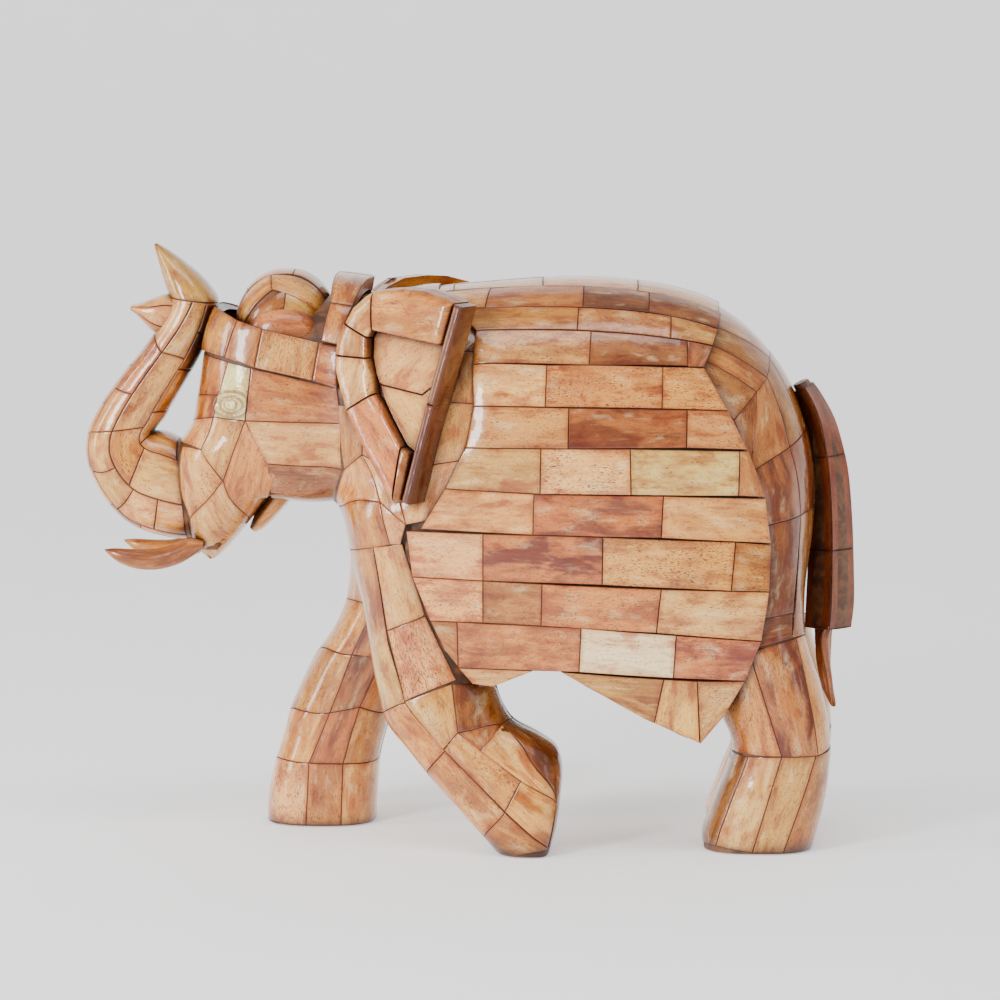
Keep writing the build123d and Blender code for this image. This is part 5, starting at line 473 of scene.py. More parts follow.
    ("head_tiles", "head", 1, ((-70.2, -22.9, 143.7), (-63.2, -25, 142.1), (-65, -25.8, 126.5), (-74.8, -22.2, 127.3)), "I", 1),
    ("head_tiles", "head", 1, ((-63.2, -25, 142.1), (-37.7, -27.5, 136.4), (-36.5, -27.8, 125.8), (-65, -25.8, 126.5)), "S2", 0),
    ("head_tiles", "head", 1, ((-65, -25.8, 126.5), (-36.5, -27.8, 125.8), (-36.5, -24.4, 111.9), (-59, -24.9, 113.7)), "C", 0),
    ("head_tiles", "head", 1, ((-74.8, -22.2, 127.3), (-65, -25.8, 126.5), (-71.8, -23.7, 108.4), (-78.4, -23, 117.6)), "T", 1),
    ("head_tiles", "head", 1, ((-65, -25.8, 126.5), (-56.1, -23.8, 110), (-65.5, -6, 94.7), (-71.8, -23.7, 108.4)), "TO", 1),
    ("head_tiles", "head", 1, ((-84.4, -15.4, 118), (-78.4, -23, 117.6), (-71.8, -23.7, 108.4), (-82.6, -14.1, 96.1)), "T", 1),
    ("head_tiles", "head", 1, ((-82.6, -14.1, 96.1), (-71.8, -23.7, 108.4), (-65.5, -6, 94.7), (-77.7, 0, 82.9)), "C", 1),
    ("head_tiles", "head", 1, ((-59, -24.9, 113.7), (-36.5, -24.4, 111.9), (-37.3, -1, 99.7), (-55.9, -1, 101)), "B2", 0),
    # headband_tiles
    ("headband_tiles", "band", 1, ((-80, 0, 146.8), (-76.2, 0, 159.1), (-67.5, -22.2, 156), (-71.3, -23.4, 144.9)), "AO", 0),
    ("headband_tiles", "band", 1, ((-71.3, -23.4, 144.9), (-67.5, -22.2, 156), (-60, -24.5, 153.6), (-62.2, -26.3, 142.2)), "A2", 0),
    ("headband_tiles", "band", 1, ((-62.2, -26.3, 142.2), (-60, -24.5, 153.6), (-43.1, -25.3, 149.8), (-45.1, -27.6, 138.5)), "T", 0),
    ("headband_tiles", "band", 1, ((-45.1, -27.6, 138.5), (-43.1, -25.3, 149.8), (-37.2, -26.2, 149), (-37.6, -28.7, 136.2)), "RB", 1),
    # neck_ring_tiles
    ("neck_ring_tiles", "ring", 1, ((-39.1, -0.2, 169.1), (-28, -0.2, 167.7), (-33.2, -23.5, 160.3), (-40, -22.2, 161.4)), "A2", 1),
    ("neck_ring_tiles", "ring", 1, ((-40, -22.2, 161.4), (-33.2, -23.5, 160.3), (-37.1, -27.8, 149.1), (-42.4, -26.8, 150.2)), "S", 1),
    # forehead_dome_tiles
    ("forehead_dome_tiles", "dome", 1, ((-70.2, -0.1, 152.8), (-66, -0.2, 164.6), (-65.5, -7.9, 164), (-69.6, -6.8, 152.6)), "A", 0),
    ("forehead_dome_tiles", "dome", 1, ((-66, -0.2, 164.6), (-51.8, -0.2, 169.8), (-52, -8.5, 168.8), (-65.5, -7.9, 164)), "C", 0),
    ("forehead_dome_tiles", "dome", 1, ((-51.8, -0.2, 169.8), (-39.9, -0.1, 157.8), (-40.5, -7.1, 157.5), (-52, -8.5, 168.8)), "T", 0),
    ("forehead_dome_tiles", "dome", 1, ((-69.7, -6.8, 152.1), (-58.5, -8.5, 168.6), (-57.7, -14.9, 164.6), (-67.3, -12.8, 151.8)), "T", 0),
    ("forehead_dome_tiles", "dome", 1, ((-58.5, -8.5, 168.6), (-40.5, -7.1, 157.5), (-42.8, -13.3, 156.3), (-57.7, -14.9, 164.6)), "C", 0),
    ("forehead_dome_tiles", "dome", 1, ((-67.3, -12.9, 152.2), (-53.6, -14.9, 164.9), (-54.2, -18.9, 156.1), (-60.5, -18.5, 151)), "A", 0),
    ("forehead_dome_tiles", "dome", 1, ((-53.6, -14.9, 164.9), (-43, -13.4, 156.7), (-49.4, -18.6, 153), (-54.2, -18.9, 156.1)), "TL", 0),
    # belly_tiles
    ("belly_tiles", "torso", 1, ((12, -0.4, 55.2), (24, -0.5, 52.5), (24, -22.3, 59.2), (12, -22, 60)), "C", 0),
    ("belly_tiles", "torso", 1, ((24, -0.5, 52.5), (40, -0.5, 44.2), (40, -24.5, 54.8), (24, -22.3, 59.2)), "T", 0),
    ("belly_tiles", "torso", 1, ((40, -0.5, 44.2), (58, -0.6, 41.8), (58, -25.4, 52.9), (40, -24.5, 54.8)), "A", 0),
    ("belly_tiles", "torso", 1, ((12, -22, 60), (30, -23.1, 57.7), (30, -35.2, 75.4), (12, -35, 75.7)), "T", 0),
    ("belly_tiles", "torso", 1, ((30, -23.1, 57.7), (48, -25.3, 53.2), (48, -36.3, 74.6), (30, -35.2, 75.4)), "A", 0),
    ("belly_tiles", "torso", 1, ((48, -25.3, 53.2), (58, -25.4, 52.9), (58, -36, 74.8), (48, -36.3, 74.6)), "P", 0),
    # chest_tiles
    ("chest_tiles", "body", 1, ((-38.3, -0.2, 98), (-38.1, -5.5, 98), (-34.4, -5.5, 84), (-34.4, -0.2, 84)), "T", 1),
    ("chest_tiles", "body", 1, ((-34.4, -0.2, 84), (-34.4, -5.5, 84), (-28.9, -5.5, 70), (-29.2, -0.2, 70)), "A", 1),
    ("chest_tiles", "body", 1, ((-29.2, -0.2, 70), (-28.9, -5.5, 70), (-19.3, -5.5, 58), (-15.2, -0.2, 58)), "C", 1),
    # rear_leg_tiles_in
    ("rear_leg_tiles_in", "body", 1, ((75, -21.3, 40.3), (89.8, -0.5, 54.1), (93.4, -5.8, 28.9), (78.8, -21.3, 28.6)), "T", 1),
    ("rear_leg_tiles_in", "body", 1, ((89.8, -0.5, 54.1), (98, -8, 63.4), (104.1, -9.1, 28.8), (93.4, -5.8, 28.9)), "A", 1),
    ("rear_leg_tiles_in", "body", 1, ((98, -8, 63.4), (100.7, -19, 63.6), (108.1, -21.3, 31.3), (104.1, -9.1, 28.8)), "C", 1),
    ("rear_leg_tiles_in", "body", 1, ((78.8, -21.3, 28.6), (83.5, -8.6, 28.5), (74.2, -9.7, 1.9), (70.1, -21.3, 2)), "P1", 1),
    ("rear_leg_tiles_in", "body", 1, ((83.5, -8.6, 28.5), (93.4, -5.8, 28.9), (84.8, -6.4, 0.4), (74.2, -9.7, 1.9)), "TO", 1),
    ("rear_leg_tiles_in", "body", 1, ((93.4, -5.8, 28.9), (103.5, -8.5, 28.9), (93.9, -7.3, 0.3), (84.8, -6.4, 0.4)), "A2", 1),
    ("rear_leg_tiles_in", "body", 1, ((103.5, -8.5, 28.9), (108.2, -21.3, 30.4), (103, -21.3, 0.8), (93.9, -7.3, 0.3)), "CA", 1),
    # front_leg_left_tiles_in
    ("front_leg_left_tiles_in", "body", 0, ((-28.2, -22, 58), (-24.1, -6.9, 61.8), (-17.2, -8.9, 44.6), (-24.4, -24, 39.7)), "RS", 1),
    ("front_leg_left_tiles_in", "body", 0, ((-17.5, -9, 44.9), (-3.5, -7.2, 50.6), (-1.6, -10.1, 36.1), (-6, -11.6, 31.1)), "T", 1),
    ("front_leg_left_tiles_in", "body", 0, ((-3.5, -7.2, 50.6), (9.2, -22.4, 47.1), (10.8, -15.3, 38.1), (-1.6, -10.1, 36.1)), "A", 1),
    ("front_leg_left_tiles_in", "body", 0, ((-1.6, -10.1, 36.1), (10.8, -15.3, 38.1), (8.5, -12.9, 34.4), (4.9, -12.6, 30.7)), "C", 1),
    ("front_leg_left_tiles_in", "body", 0, ((-24.4, -24, 39.7), (-17.2, -8.9, 44.6), (-5.4, -11.7, 30.8), (-10.5, -27, 21.5)), "P1", 1),
    ("front_leg_left_tiles_in", "body", 0, ((-10.5, -27, 21.5), (-5.4, -11.7, 30.8), (12.3, -16.9, 13.1), (6.8, -32.5, 3)), "TO", 1),
    ("front_leg_left_tiles_in", "body", 0, ((-6, -11.6, 31.1), (-1.6, -10.1, 36.1), (17, -15.7, 22.5), (12.3, -16.8, 13.4)), "A2", 1),
    ("front_leg_left_tiles_in", "body", 0, ((4.9, -12.6, 30.7), (10.8, -15.3, 38.1), (27.2, -23, 15.5), (17, -15.7, 22.5)), "CA", 1),
    ("front_leg_left_tiles_in", "body", 0, ((12.3, -16.8, 13.4), (17, -15.7, 22.5), (27.2, -23, 15.5), (24.6, -22.2, 2.3)), "RS", 1),
    ("front_leg_left_tiles_in", "body", 0, ((6.8, -32.5, 3), (12.3, -16.9, 13.1), (24.6, -22.2, 2.3), (14.4, -20.9, 0.3)), "T", 1),
    ("front_leg_left_tiles_in", "body", 0, ((10.8, -15.3, 38.1), (14, -24.9, 38.6), (28.1, -30.9, 28.7), (27.2, -23, 15.5)), "A", 1),
    ("front_leg_left_tiles_in", "body", 0, ((27.2, -23, 15.5), (28.1, -30.9, 28.7), (27.8, -33.9, 11.2), (25.2, -23.6, 2.4)), "C", 1),
    ("front_leg_left_tiles_in", "body", 0, ((9.2, -22.4, 47.1), (10.9, -23.4, 43.2), (14, -24.9, 38.6), (10.8, -15.3, 38.1)), "P1", 1),
    # front_leg_right_tiles_in
    ("front_leg_right_tiles_in", "body", 0, ((-36.7, 19, 81.3), (-21, 37.2, 83.3), (-28.6, 36.9, 69.1), (-38.5, 20.5, 67.5)), "TO", 1),
    ("front_leg_right_tiles_in", "body", 0, ((-21, 37.2, 83.3), (-10.7, 22.5, 60.2), (-9.9, 20.5, 59.5), (-28.6, 36.9, 69.1)), "A2", 1),
    ("front_leg_right_tiles_in", "body", 0, ((-38.5, 20.5, 67.5), (-28.6, 36.9, 69.1), (-35.6, 38.2, 52.8), (-47.1, 21.5, 52)), "CA", 1),
    ("front_leg_right_tiles_in", "body", 0, ((-28.6, 36.9, 69.1), (-9.9, 20.5, 59.5), (-17.4, 21.5, 52.1), (-35.6, 38.2, 52.8)), "RS", 1),
    ("front_leg_right_tiles_in", "body", 0, ((-47.1, 21.5, 52), (-35.6, 38.2, 52.8), (-42.5, 38.6, 34.9), (-55.9, 22.5, 33.3)), "T", 1),
    ("front_leg_right_tiles_in", "body", 0, ((-35.6, 38.2, 52.8), (-25.7, 37.7, 52.8), (-33.4, 38, 36.7), (-42.5, 38.6, 34.9)), "A", 1),
    ("front_leg_right_tiles_in", "body", 0, ((-25.7, 37.7, 52.8), (-17.4, 21.5, 52.1), (-24.9, 22.5, 33.5), (-33.4, 38, 36.7)), "C", 1),
    ("front_leg_right_tiles_in", "body", 0, ((-55.9, 22.5, 33.3), (-42.5, 38.6, 34.9), (-49, 38.7, 19.3), (-60.2, 23, 18.5)), "P1", 1),
    ("front_leg_right_tiles_in", "body", 0, ((-42.5, 38.6, 34.9), (-33.4, 38, 36.7), (-38.6, 38.6, 19.1), (-49, 38.7, 19.3)), "TO", 1),
    ("front_leg_right_tiles_in", "body", 0, ((-33.4, 38, 36.7), (-24.9, 22.5, 33.5), (-28.1, 23, 19.8), (-38.6, 38.6, 19.1)), "A2", 1),
    ("front_leg_right_tiles_in", "body", 0, ((-60.2, 23, 18.5), (-49, 38.7, 19.3), (-49.9, 38.8, 0.2), (-62.5, 23, 0.3)), "CA", 1),
    ("front_leg_right_tiles_in", "body", 0, ((-49, 38.7, 19.3), (-38.6, 38.6, 19.1), (-39.4, 38.3, 0.2), (-49.9, 38.8, 0.2)), "RS", 1),
    ("front_leg_right_tiles_in", "body", 0, ((-38.6, 38.6, 19.1), (-28.1, 23, 19.8), (-29.7, 23, 0.3), (-39.4, 38.3, 0.2)), "T", 1),
    ("front_leg_right_tiles_in", "body", 0, ((-38.4, 14, 100.3), (-24.6, 36.1, 103.7), (-21, 37.2, 83.3), (-36.7, 19, 81.3)), "A", 1),
    ("front_leg_right_tiles_in", "body", 0, ((-24.6, 36.1, 103.7), (-16.8, 39.2, 97.3), (-17, 38.6, 84), (-21, 37.2, 83.3)), "T", 1),
    # shoulder_tiles
    ("shoulder_tiles", "body", 1, ((-35.5, -0.2, 166), (-22, -0.2, 166), (-22, -12.5, 163), (-35.5, -12.5, 163)), "T", 1),
    ("shoulder_tiles", "body", 1, ((-35.5, -12.5, 163), (-22, -12.5, 163), (-22, -24, 157), (-35.5, -24, 157)), "A", 1),
    ("shoulder_tiles", "body", 1, ((-22, -0.2, 166), (-8.5, -0.2, 166), (-8.5, -12.5, 163), (-22, -12.5, 163)), "C", 1),
    ("shoulder_tiles", "body", 1, ((-22, -12.5, 163), (-8.5, -12.5, 163), (-8.5, -24, 157), (-22, -24, 157)), "AO", 1),
]

# node, tube, mirrored, corners (station, angle), colour, grain axis
TUBE_TILES = [
    ("trunk_front_tiles", "TRUNK", 0, ((14.30, -0.600), (17.05, -0.600), (17.05, 0.600), (14.30, 0.600)), "P1", 0),
    ("trunk_front_tiles", "TRUNK", 0, ((12.40, -0.600), (14.30, -0.600), (14.30, 0.600), (12.40, 0.600)), "T", 0),
    ("trunk_front_tiles", "TRUNK", 0, ((10.30, -0.600), (12.40, -0.600), (12.40, 0.600), (10.30, 0.600)), "C", 0),
    ("trunk_front_tiles", "TRUNK", 0, ((8.50, -0.600), (10.30, -0.600), (10.30, 0.600), (8.50, 0.600)), "CA", 0),
    ("trunk_front_tiles", "TRUNK", 0, ((6.80, -0.600), (8.50, -0.600), (8.50, 0.600), (6.80, 0.600)), "T", 0),
    ("trunk_front_tiles", "TRUNK", 0, ((5.00, -0.600), (6.80, -0.600), (6.80, 0.600), (5.00, 0.600)), "C", 0),
    ("trunk_front_tiles", "TRUNK", 0, ((3.40, -0.600), (5.00, -0.600), (5.00, 0.600), (3.40, 0.600)), "A", 0),
    ("trunk_front_tiles", "TRUNK", 0, ((0.90, -0.600), (3.40, -0.600), (3.40, 0.600), (0.90, 0.600)), "C", 0),
    ("trunk_rear_tiles", "TRUNK", 0, ((14.90, 2.100), (17.05, 2.100), (17.05, 4.183), (14.90, 4.183)), "B2", 0),
    ("trunk_rear_tiles", "TRUNK", 0, ((12.60, 2.100), (14.90, 2.100), (14.90, 4.183), (12.60, 4.183)), "B", 0),
    ("trunk_rear_tiles", "TRUNK", 0, ((9.80, 2.100), (12.60, 2.100), (12.60, 4.183), (9.80, 4.183)), "A", 0),
    ("trunk_rear_tiles", "TRUNK", 0, ((6.00, 2.100), (9.80, 2.100), (9.80, 4.183), (6.00, 4.183)), "T", 0),
    ("trunk_rear_tiles", "TRUNK", 0, ((1.10, 2.100), (6.00, 2.100), (6.00, 4.183), (1.10, 4.183)), "TO", 0),
    ("trunk_side_tiles", "TRUNK", 1, ((11.20, 0.600), (14.30, 0.600), (13.40, 1.430), (11.00, 1.430)), "RS", 0),
    ("trunk_side_tiles", "TRUNK", 1, ((8.60, 0.600), (11.20, 0.600), (11.00, 1.430), (8.50, 1.430)), "C", 0),
    ("trunk_side_tiles", "TRUNK", 1, ((13.40, 1.430), (17.05, 1.580), (17.05, 2.100), (13.20, 2.100)), "TO", 0),
    ("trunk_side_tiles", "TRUNK", 1, ((8.50, 1.430), (13.40, 1.430), (13.20, 2.100), (8.40, 2.100)), "T", 0),
    ("trunk_side_tiles", "TRUNK", 1, ((6.60, 0.600), (8.60, 0.600), (8.50, 1.430), (6.00, 1.430)), "C", 0),
    ("trunk_side_tiles", "TRUNK", 1, ((4.70, 0.600), (6.60, 0.600), (6.00, 1.430), (4.30, 1.430)), "T", 0),
    ("trunk_side_tiles", "TRUNK", 1, ((2.70, 0.600), (4.70, 0.600), (4.30, 1.430), (2.60, 1.430)), "P1", 0),
    ("trunk_side_tiles", "TRUNK", 1, ((0.90, 0.600), (2.70, 0.600), (2.60, 1.430), (0.90, 1.430)), "C", 0),
    ("trunk_side_tiles", "TRUNK", 1, ((4.60, 1.430), (8.50, 1.430), (8.40, 2.100), (4.90, 2.100)), "TO", 0),
    ("trunk_side_tiles", "TRUNK", 1, ((0.90, 1.430), (4.60, 1.430), (4.90, 2.100), (1.00, 2.100)), "C", 0),
    ("trunk_side_tiles", "TRUNK", 1, ((14.30, 0.600), (17.05, 0.600), (17.05, 1.580), (13.40, 1.430)), "C", 0),
    ("trunk_upper_lip", "TRUNK", 0, ((17.10, 0.500), (21.90, 0.500), (21.90, 5.783), (17.10, 5.783)), "TL", 0),
    ("trunk_upper_lip", "TRUNK", 0, ((17.10, -0.500), (21.90, -0.500), (21.90, 0.500), (17.10, 0.500)), "P1", 0),
    ("trunk_lower_lip", "LIP", 0, ((0.20, 2.000), (5.90, 2.000), (5.90, 4.283), (0.20, 4.283)), "CO", 0),
    ("trunk_lower_lip", "LIP", 0, ((0.20, -1.150), (5.90, -1.150), (5.90, 1.150), (0.20, 1.150)), "TO", 0),
    ("trunk_lower_lip", "LIP", 1, ((0.20, 1.150), (5.90, 1.150), (5.90, 2.000), (0.20, 2.000)), "C", 0),
    ("tail_tiles", "TAIL", 1, ((0.40, 0.020), (3.40, 0.020), (3.40, 1.551), (0.40, 1.551)), "B", 0),
    ("tail_tiles", "TAIL", 1, ((0.40, 1.591), (3.40, 1.591), (3.40, 3.122), (0.40, 3.122)), "B2", 0),
    ("tail_tiles", "TAIL", 1, ((3.40, 0.020), (5.70, 0.020), (5.70, 1.551), (3.40, 1.551)), "B2", 0),
    ("tail_tiles", "TAIL", 1, ((3.40, 1.591), (5.70, 1.591), (5.70, 3.122), (3.40, 3.122)), "D", 0),
    ("tail_tiles", "TAIL", 1, ((5.70, 0.020), (8.00, 0.020), (8.00, 1.551), (5.70, 1.551)), "B", 0),
    ("tail_tiles", "TAIL", 1, ((5.70, 1.591), (8.00, 1.591), (8.00, 3.122), (5.70, 3.122)), "B2", 0),
]



def f_legs(p):
    """Body and legs without the cut at the soles."""
    f = smin(f_torso(p), f_neck(p), 8.0)
    for s in (-1, 1):
        f = smin(f, f_rear_leg(p, s), 9.0)
    f = smin(f, f_front_right(p), 8.0)
    return smin(f, f_front_left(p), 8.0)


SURFACES = {"body": f_legs, "head": f_head, "cloth": f_cloth, "band": f_band, "dome": f_dome, "ring": f_ring,
            "torso": lambda p: smin(f_torso(p), f_neck(p), 8.0)}
TABLES = {"TRUNK": TRUNK, "LIP": LIP, "TAIL": TAIL}


# ---------------------------------------------------------------------------
# palette: base colour, stain colour, amount of stain, amount of dark pores (sRGB)
def srgb(c):
    c = np.asarray(c, float)
    return np.where(c <= 0.04045, c / 12.92, ((c + 0.055) / 1.055) ** 2.4)


PALETTE = {
    "I": ((0.97, 0.90, 0.63), (0.92, 0.74, 0.46), .30, .05), "C": ((0.91, 0.65, 0.33), (0.74, 0.46, 0.18), .40, .25),
    "CO": ((0.93, 0.74, 0.38), (0.74, 0.42, 0.13), .60, .20), "CA": ((0.93, 0.66, 0.30), (0.67, 0.36, 0.09), .60, .25),
    "T": ((0.85, 0.60, 0.28), (0.63, 0.36, 0.12), .45, .40), "TK": ((0.90, 0.62, 0.27), (0.65, 0.37, 0.12), .45, 1.0),
    "TP": ((0.90, 0.60, 0.29), (0.69, 0.36, 0.15), .50, .55), "PT": ((0.96, 0.70, 0.32), (0.73, 0.41, 0.16), .45, .40),
    "P1": ((0.96, 0.70, 0.39), (0.74, 0.43, 0.21), .50, .45), "PC": ((0.92, 0.66, 0.35), (0.72, 0.40, 0.17), .45, .35),
    "PK": ((0.94, 0.66, 0.35), (0.70, 0.38, 0.17), .50, 1.0), "TA": ((0.79, 0.51, 0.20), (0.59, 0.30, 0.06), .60, .45),
    "TO": ((0.88, 0.60, 0.24), (0.67, 0.36, 0.08), .60, .40), "TL": ((0.80, 0.57, 0.22), (0.62, 0.38, 0.09), .50, .30),
    "A": ((0.77, 0.48, 0.16), (0.54, 0.26, 0.05), .55, .35), "A2": ((0.83, 0.54, 0.22), (0.59, 0.30, 0.09), .50, .45),
    "AO": ((0.80, 0.52, 0.19), (0.57, 0.28, 0.06), .60, .35), "S": ((0.84, 0.53, 0.22), (0.61, 0.29, 0.09), .55, .40),
    "S2": ((0.83, 0.51, 0.22), (0.58, 0.25, 0.09), .60, .40), "R": ((0.61, 0.36, 0.14), (0.40, 0.17, 0.04), .55, .40),
    "R2": ((0.66, 0.39, 0.16), (0.41, 0.18, 0.05), .60, .35), "RB": ((0.78, 0.44, 0.16), (0.47, 0.19, 0.04), .60, .45),
    "RS": ((0.80, 0.48, 0.21), (0.47, 0.18, 0.04), .75, .45), "DR": ((0.58, 0.32, 0.13), (0.33, 0.13, 0.04), .60, .20),
    "B": ((0.60, 0.37, 0.14), (0.36, 0.17, 0.04), .55, .35), "B2": ((0.68, 0.41, 0.19), (0.44, 0.21, 0.08), .60, .35),
    "D": ((0.62, 0.38, 0.22), (0.42, 0.20, 0.09), .60, .30), "D2": ((0.56, 0.33, 0.19), (0.36, 0.17, 0.08), .60, .25),
    "K": ((0.72, 0.42, 0.17), (0.42, 0.19, 0.05), .60, .10), "TU": ((0.70, 0.40, 0.15), (0.40, 0.17, 0.04), .65, .10),
    "P": ((0.89, 0.63, 0.30), (0.68, 0.39, 0.16), .45, .40),
    "PU": ((0.82, 0.51, 0.27), (0.50, 0.23, 0.12), .60, .30),
}
RNG = np.random.default_rng(20611)
PIECES = {}


def group(node):
    return PIECES.setdefault(node, dict(v=[], f=[], n=0, tc=[], ba=[], sb=[], ed=[]))


def add(node, V, F, tc, ed, code, tint=1.0):
    """Adds one tile's mesh, with its grain coordinates and colours, to a node's piece."""
    g = group(node)
    b, s, sa, pa = PALETTE[code]
    N = len(V)
    jit = 1.0 + RNG.normal(0, 0.030, 3) * (0.6, 0.8, 1.0) + RNG.normal(0, 0.022)
    base = srgb(np.clip(np.array(b) * jit * tint, 0, 1))
    stain = srgb(np.clip(np.array(s) * jit * tint, 0, 1))
    g["v"].append(np.asarray(V, float))
    g["f"] += [tuple(i + g["n"] for i in f) for f in F]
    g["n"] += N
    off = RNG.uniform(-400, 400, 3)
    g["tc"].append(np.asarray(tc, float) + off)
    g["ba"].append(np.tile([*base, pa * RNG.uniform(.6, 1.25)], (N, 1)))
    g["sb"].append(np.tile([*stain, sa * RNG.uniform(.7, 1.3)], (N, 1)))
    g["ed"].append(np.asarray(ed, float))


def axis(L, step, rows=(0.0, 0.09, 0.24, 0.5, 1.0)):
    rows = np.array(rows) * min(1.0, L / 4.5)
    n = max(2, int(np.ceil((L - 2 * rows[-1]) / step)))
    return np.concatenate([rows, np.linspace(rows[-1], L - rows[-1], n + 1)[1:-1], L - rows[::-1]])


def drop(d, r, k=1.0):
    d = np.clip(d, 0, r)
    return k * (r - np.sqrt(np.maximum(r * r - (r - d) ** 2, 0.0)))


def grid_mesh(top, low):
    """Closed shell from a top grid and the ring below its border."""
    nu, nv = top.shape[:2]
    idx = np.arange(nu * nv).reshape(nu, nv)
    F = [(idx[i, j], idx[i + 1, j], idx[i + 1, j + 1], idx[i, j + 1]) for i in range(nu - 1) for j in range(nv - 1)]
    ring = [(i, 0) for i in range(nu)] + [(nu - 1, j) for j in range(1, nv)] + [(i, nv - 1) for i in range(nu - 2, -1, -1)] \
        + [(0, j) for j in range(nv - 2, 0, -1)]
    base = nu * nv
    R = [idx[a] for a in ring]
    m = len(R)
    for k in range(m):
        F.append((R[k], base + k, base + (k + 1) % m, R[(k + 1) % m]))
    V = np.vstack([top.reshape(-1, 3), np.array([low[a] for a in ring])])
    # floor: strips across
    pos = {a: base + k for k, a in enumerate(ring)}
    for i in range(nu - 1):
        F.append((pos[(i, 0)], pos[(i, nv - 1)], pos[(i + 1, nv - 1)], pos[(i + 1, 0)]))
    return V, F, ring


def eye_relief(p):
    """Height and groove mask of the carved eye, both sides of the head."""
    dx, dz = p[..., 0] - EYE[0], p[..., 2] - EYE[2]
    near = np.clip((14.0 - np.abs(p[..., 1] - np.sign(p[..., 1]) * abs(EYE[1]))) / 2.0, 0, 1)
    E = lambda r, w: np.exp(-((r - 1.0) / w) ** 2)
    r1 = np.hypot(dx / 5.0, (dz - 0.1) / 3.3) + 1e-9
    r2 = np.hypot(dx / 3.3, dz / 2.25)
    r3 = np.hypot((dx + 0.1) / 1.55, dz / 1.2)
    r4 = np.hypot((dx - 0.6) / 6.2, (dz + 0.6) / 5.4)
    r5 = np.hypot((dx - 0.2) / 5.6, (dz - 0.3) / 4.9)
    up = 1 / (1 + np.exp(-(dz - 0.6) * 3))
    h = 0.55 * E(r1, .13) + 0.62 * np.clip(1 - r2 ** 2, 0, 1) ** .6 + 0.10 * E(r3, .16) \
        + 0.26 * E(r4, .075) * up + 0.20 * E(r5, .075) * (1 - up) * np.clip(1.2 - dx / 7, 0, 1)
    g = E(r2 * .93, .10) + E(r1 / 1.17, .09) * .9 + 0.7 * E(r3 * .86, .16)
    for k, (x0, z0, x1, z1) in enumerate([(4.8, 1.6, 9.0, -1.4), (4.9, .4, 8.2, -2.8), (4.6, -.8, 7.6, 1.6), (4.4, 2.4, 7.8, .8)]):
        L = math.hypot(x1 - x0, z1 - z0)
        ux, uz = (x1 - x0) / L, (z1 - z0) / L
        s = (dx - x0) * ux + (dz - z0) * uz
        d = -(dx - x0) * uz + (dz - z0) * ux
        w = np.clip(s / .8, 0, 1) * np.clip((L - s) / 1.5, 0, 1)
        h = h + 0.16 * w * np.exp(-(d / .32) ** 2)
        g = g + 0.8 * w * np.exp(-((d - .42) / .22) ** 2)
    fade = np.clip((10.0 - np.abs(dx - 1.0)) / 1.5, 0, 1) * np.clip((7.5 - np.abs(dz)) / 1.0, 0, 1) * near
    return h * fade, np.clip(g, 0, 1) * fade


def surface_tiles(rows):
    """All tiles of the table, projected together surface by surface."""
    for surf in sorted({r[1] for r in rows}):
        F = SURFACES[surf]
        batch, pts, pad = [], [], []
        for r in rows:
            if r[1] != surf:
                continue
            q = np.array(r[3], float)
            if surf == "body":
                q[:, 2] = np.maximum(q[:, 2], SOLE_CLEAR)
            lu = (np.linalg.norm(q[1] - q[0]) + np.linalg.norm(q[2] - q[3])) / 2
            lv = (np.linalg.norm(q[3] - q[0]) + np.linalg.norm(q[2] - q[1])) / 2
            fine = surf == "head" and abs(q[:, 0].mean() - EYE[0]) < 16 and abs(q[:, 2].mean() - EYE[2]) < 9
            st = 0.36 if fine else 1.5
            au, av = axis(lu - JOINT, st), axis(lv - JOINT, st)
            s = ((JOINT / 2 + au) / lu)[:, None, None]
            t = ((JOINT / 2 + av) / lv)[None, :, None]
            G = (1 - s) * (1 - t) * q[0] + s * (1 - t) * q[1] + s * t * q[2] + (1 - s) * t * q[3]
            e = 0.012
            s = np.linspace(-e / lu, 1 + e / lu, 7)[:, None, None]
            t = np.linspace(-e / lv, 1 + e / lv, 7)[None, :, None]
            H = (1 - s) * (1 - t) * q[0] + s * (1 - t) * q[1] + s * t * q[2] + (1 - s) * t * q[3]
            batch.append((r, au, av, G.shape, fine))
            pts.append(G.reshape(-1, 3))
            pad.append(H.reshape(-1, 3))
        if not batch:
            continue
        P, Nn = project(F, np.vstack(pts), 8)
        Q, Qn = project(F, np.vstack(pad), 8)
        k = 0
        for m, (r, au, av, sh, fine) in enumerate(batch):
            n = sh[0] * sh[1]
            p, nn = P[k:k + n].reshape(sh), Nn[k:k + n].reshape(sh)
            k += n
            fq, fn = Q[49 * m:49 * m + 49].reshape(7, 7, 3), Qn[49 * m:49 * m + 49].reshape(7, 7, 3)
            place_tile(r, surf, p, nn, au, av, fq, fn, fine)


# where the cloth's front edge runs: it is rounded down there
CLOTH_FZ = [46.2, 51.3, 60.0, 73.2, 87.6, 99.6, 111.9, 124.8, 137.4, 147.3, 152.0, 175.0]
CLOTH_FX = [-3.3, -7.2, -11.7, -17.0, -17.5, -7.2, -1.2, 1.2, 0.9, 2.1, -6.0, -22.0]
EDGE_R = {"cloth": .20, "body": .26, "head": .22, "band": .45, "ring": .45, "dome": .24, "torso": .3}
DEPTH = {"cloth": 2.5, "body": 1.3, "head": 1.3, "band": 3.4, "ring": 3.8, "dome": 1.6, "torso": 1.3}


